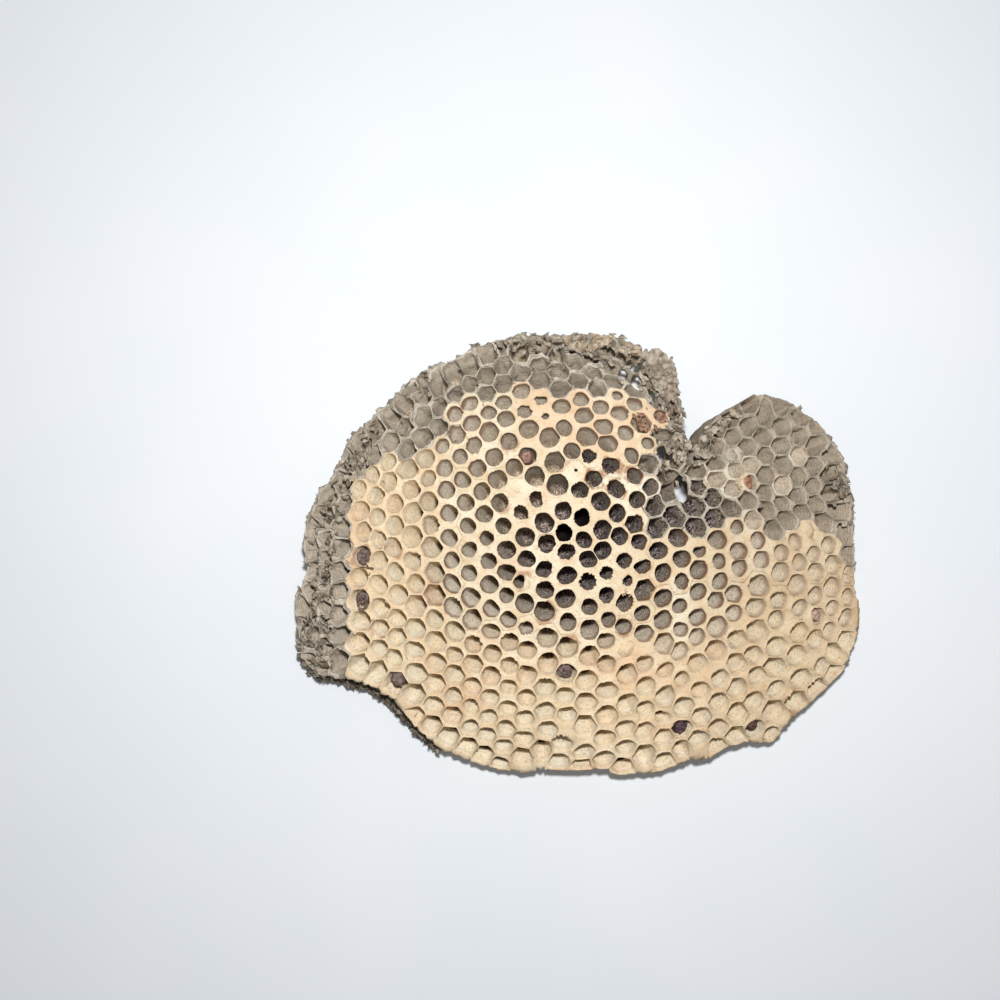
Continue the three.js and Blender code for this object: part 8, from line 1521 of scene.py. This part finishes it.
# ---------------------------------------------------------------- put it together
stain = np.zeros(NC)
stain[rng.random(NC) < 0.05] = 0.6
stain *= silk
# the reddish spots left of the notch
for u, v in ((614, 465), (617, 491), (596, 480), (636, 470)):
    stain[cell_at(u, v)] = 0.9
comb_mat = comb_material()

regions = {}
for c in range(NC):
    u, v = VIEW[c]
    if u < 455:
        name = "comb_left"
    elif v < 470 and u < 692:
        name = "comb_upper"
    elif u >= 655 and v < 585:
        name = "comb_right_lobe"
    elif v < 625 and u < 655:
        name = "comb_centre"
    else:
        name = "comb_lower"
    regions.setdefault(name, []).append(c)

parts = {}
for name, cells in regions.items():
    o = comb_piece(name, cells, comb_mat)
    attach(o, "root")
    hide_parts("comb")
    parts[name] = o

tool = cutter()
for name in ("comb_upper", "comb_right_lobe", "comb_centre"):
    cut(parts[name], tool)
bpy.data.objects.remove(tool, do_unlink=True)

bits_mat = paper_bits_material()
bits = Bits()


def scatter(cells, per, size, kinds, height=1.0):
    """Torn, curled strips along the tops of these cells' walls."""
    for c in cells:
        for _ in range(rng.poisson(per)):
            j = rng.integers(NA)
            b, b2 = border[c, j], border[c, (j + 2) % NA]
            p = warp(top_border[b][None], np.array([border_silk[b] - 0.8 * border_crumpled[b]]))[0]
            along = border_pos[b2] - border_pos[b] + 0.25 * rng.standard_normal(3)
            nrm = unit(border_axis[b] + 0.35 * rng.standard_normal(3))
            s_ = size * rng.uniform(0.5, 1.3)
            v, q = flake(p - border_axis[b] * (0.25 * s_), nrm, s_ * height, along, lengthen=1.7 / height,
                         flat=float(rng.random() < 0.3))
            bits.add(v, q, kinds())


def grey_kind():
    return (0.0 if rng.random() < 0.88 else 0.4, 0.45 * rng.random() ** 2, 0.35 * (rng.random() < 0.07), 1)


def cream_kind():
    return (1.0, 0.12 * rng.random(), 0.35 * rng.random(), 1)


def brown_kind():
    return (0.1, 0.3 * rng.random(), 0.7 * (rng.random() < 0.25), 1)


grey_cells = [c for c in range(NC) if silk[c] == 0]
rim_cells = [c for c in range(NC) if border_rim[border[c]].any()]
scatter([c for c in grey_cells if VIEW[c, 0] < 400], 3.2, 1.25, grey_kind)
scatter([c for c in grey_cells if VIEW[c, 0] >= 400 and VIEW[c, 0] < 695], 1.6, 1.2, grey_kind)
scatter([c for c in grey_cells if VIEW[c, 0] >= 695], 0.7, 1.0, grey_kind)
scatter([c for c in rim_cells if silk[c] == 0], 1.6, 1.3, grey_kind)
scatter([c for c in range(NC) if silk[c] == 1 and VIEW[c, 0] < 400], 0.9, 1.0, cream_kind)
scatter([c for c in range(NC) if silk[c] == 1 and VIEW[c, 0] >= 400], 0.15, 0.7, cream_kind)
# the torn, trodden band along the upper edge and down to the notch
litter([(500, 338), (566, 336), (610, 338), (640, 350), (640, 366), (600, 360), (566, 352), (500, 356)], 90, 1.7, 0.6, grey_kind)
litter([(664, 394), (676, 390), (680, 400), (684, 424), (688, 455), (676, 470), (664, 455), (668, 425), (660, 402)], 80, 1.6, 0.5, grey_kind)
litter([(643, 352), (650, 350), (656, 380), (664, 398), (656, 398), (645, 372)], 22, 1.3, 0.5, grey_kind)
litter([(640, 392), (656, 400), (664, 425), (656, 432), (644, 408)], 5, 1.1, 0.2, brown_kind)
litter([(650, 440), (668, 440), (676, 470), (672, 486), (656, 470)], 16, 1.3, 0.4, grey_kind)
litter([(693, 452), (700, 435), (716, 418), (736, 408), (740, 414), (722, 428), (706, 450), (698, 464)], 46, 1.6, 0.4, grey_kind)
litter([(296, 640), (312, 600), (318, 560), (322, 520), (340, 470), (372, 420), (384, 410), (362, 470), (340, 520), (334, 570), (330, 640), (322, 668)], 150, 1.7, 0.3, grey_kind)
# orange-brown collar below the reddish cocoon
litter([(632, 414), (640, 411), (648, 424), (659, 427), (661, 418), (664, 426), (656, 434), (644, 431), (634, 423)], 20, 1.15, 0.3,
       lambda: (0.35, 0.15 + 0.3 * rng.random(), 1.0, 1))
# dried purple scraps between the left cells
litter([(362, 551), (372, 551), (373, 575), (366, 578), (362, 566)], 12, 1.2, 0.4, lambda: (0.0, 0.8, 0.35, 1))
litter([(356, 590), (366, 592), (368, 610), (360, 612)], 10, 1.2, 0.4, lambda: (0.0, 0.7, 0.3, 1))
# white silk fluff
litter([(736, 476), (743, 478), (744, 490), (738, 490)], 16, 0.8, 0.3, lambda: (1.0, 0.0, 0.0, 1))
litter([(622, 588), (630, 588), (630, 596), (622, 596)], 10, 0.7, 0.2, lambda: (1.0, 0.0, 0.0, 1))
# loose paper that closes the dent in the lobe's right edge
litter([(834, 472), (844, 474), (850, 484), (849, 496), (838, 494), (832, 486)], 34, 1.9, 0.0, grey_kind)

# torn sheets of the envelope that still stick to the upper edge
for top, bottom, la, lb, m, n, seed, kind_v, rough_v in (
    ([(562, 338), (571.4, 336.8), (583, 334.5), (606, 333.2), (615, 337), (627.6, 342), (641, 347.5)],
     [(566, 343), (574, 348.5), (583, 349), (590, 352.5), (598, 348), (607, 345), (614, 347), (621, 352), (631, 354.5), (642, 357)],
     0.2, 1.3, 80, 22, 301, (0.42, 0.0, 0.06, 1), 0.4),
    ([(646, 354), (654, 348), (661, 350.5), (671, 360), (677, 373), (678.5, 391)],
     [(645, 358), (647, 368), (650, 377), (656, 388), (661, 397), (668, 402)],
     0.7, 1.2, 70, 44, 341, (0.0, 0.10, 0.10, 1), 0.75),
):
    g = sheet_from(top, bottom, la, lb, m, n, seed, rough_v)
    crack = 1 - smooth(0.0, 0.22, np.abs(noise(g, 0.45, seed + 9) + 0.3 * noise(g, 1.3, seed + 10)))
    g = g - axis_at(g) * (0.55 * crack)[..., None] + axis_at(g) * (0.35 * noise(g, 0.9, seed + 12))[..., None]
    v, q = slab(g[:, ::-1], 0.22)
    attrs = np.tile(np.array(kind_v, float), (len(v), 1))
    ck = crack[:, ::-1].reshape(-1)
    # the cracks are also painted darker: painted shade in the cracks
    attrs[:, 1] = np.concatenate([ck, ck]) * 0.8
    bits.add(v, q, attrs)

# the frayed grey underside that shows below the lower left edge, painted dark as painted shade where it faces down
edge_px = np.array([(300, 652), (306.6, 662), (321.4, 676), (343.6, 677), (369.5, 686), (391.7, 699), (402.8, 712), (415.8, 726.8), (428.7, 738), (441.7, 749)], float)
seg = np.concatenate([[0], np.cumsum(np.hypot(*np.diff(edge_px, axis=0).T))])
for t in np.arange(0, seg[-1], 0.55):
    u = np.interp(t, seg, edge_px[:, 0]) + rng.uniform(-2.5, 1.0)
    v = np.interp(t, seg, edge_px[:, 1]) + rng.uniform(-1.0, 3.0)
    z = rng.uniform(1.2, 7.0)
    p = view_point(u, v, z)
    nrm = unit(np.array([-0.55, -0.8, 0.25]) + 0.5 * rng.standard_normal(3))
    vv, q = flake(p, nrm, rng.uniform(0.9, 2.0))
    bits.add(vv, q, (0.0, rng.uniform(0.2, 1.0), 0.0, 1))
loose = bits.make("paper_flakes", bits_mat)
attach(loose, "root")
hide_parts("comb")

# dried brood
dark_m = brood_material("dried_pupa_dark", (52, 34, 38), (98, 70, 76), (134, 104, 104), 0.42)
brown_m = brood_material("dried_pupa_brown", (70, 46, 38), (116, 84, 70), (150, 118, 98), 0.45)
pink_m = brood_material("dried_larva_pink", (150, 112, 98), (186, 150, 134), (120, 84, 74), 0.5)
red_m = brood_material("cocoon_reddish", (148, 106, 90), (190, 150, 132), (108, 70, 56), 0.6)
orange_m = brood_material("dried_larva_orange", (156, 108, 86), (194, 148, 122), (118, 78, 60), 0.5)
left_m = brood_material("dried_larva_purple", (88, 70, 68), (140, 120, 112), (176, 156, 140), 0.6)
pale_m = brood_material("dried_larva_pale", (176, 142, 122), (212, 184, 162), (150, 112, 98), 0.5)
brood("pupa_dark_lower_dried", "pupa_dark_lower", 225, 4.2, 4.6, 2.2, 401, left_m, 0.30)
brood("pupa_dark_edge_dried", "pupa_dark_edge", 348, 4.6, 4.2, 1.9, 403, dark_m, 0.20)
brood("pupa_brown_corner_dried", "pupa_brown_corner", 416, 3.7, 4.0, 2.2, 405, brown_m, 0.22)
brood("larva_pink_upper_dried", "larva_pink_upper", 196, 3.8, 5.0, 2.4, 407, pink_m, 0.18, 0.05)
brood("cocoon_reddish_dried", "cocoon_reddish", 334, 4.4, 4.0, 1.7, 409, red_m, 0.12)
brood("larva_orange_lobe_dried", "larva_orange_lobe", 405, 4.4, 4.0, 2.0, 411, orange_m, 0.2, 0.04)
brood("larva_dried_left_1_dried", "larva_dried_left_1", 33, 4.2, 4.2, 2.2, 413, left_m, 0.35)
brood("larva_dried_left_2_dried", "larva_dried_left_2", 35, 3.8, 4.0, 2.3, 415, left_m, 0.35)
brood("larva_dried_left_3_dried", "larva_dried_left_3", 63, 4.4, 4.2, 1.9, 417, left_m, 0.30)
brood("larva_pale_right_dried", "larva_pale_right", 458, 4.2, 4.0, 2.2, 419, pale_m, 0.2, 0.05)

# floor
bpy.ops.mesh.primitive_grid_add(x_subdivisions=8, y_subdivisions=8, size=6.0, location=(0, 0, -0.0001))
floor = bpy.context.active_object
floor.name = "floor"
floor.data.materials.append(floor_material())
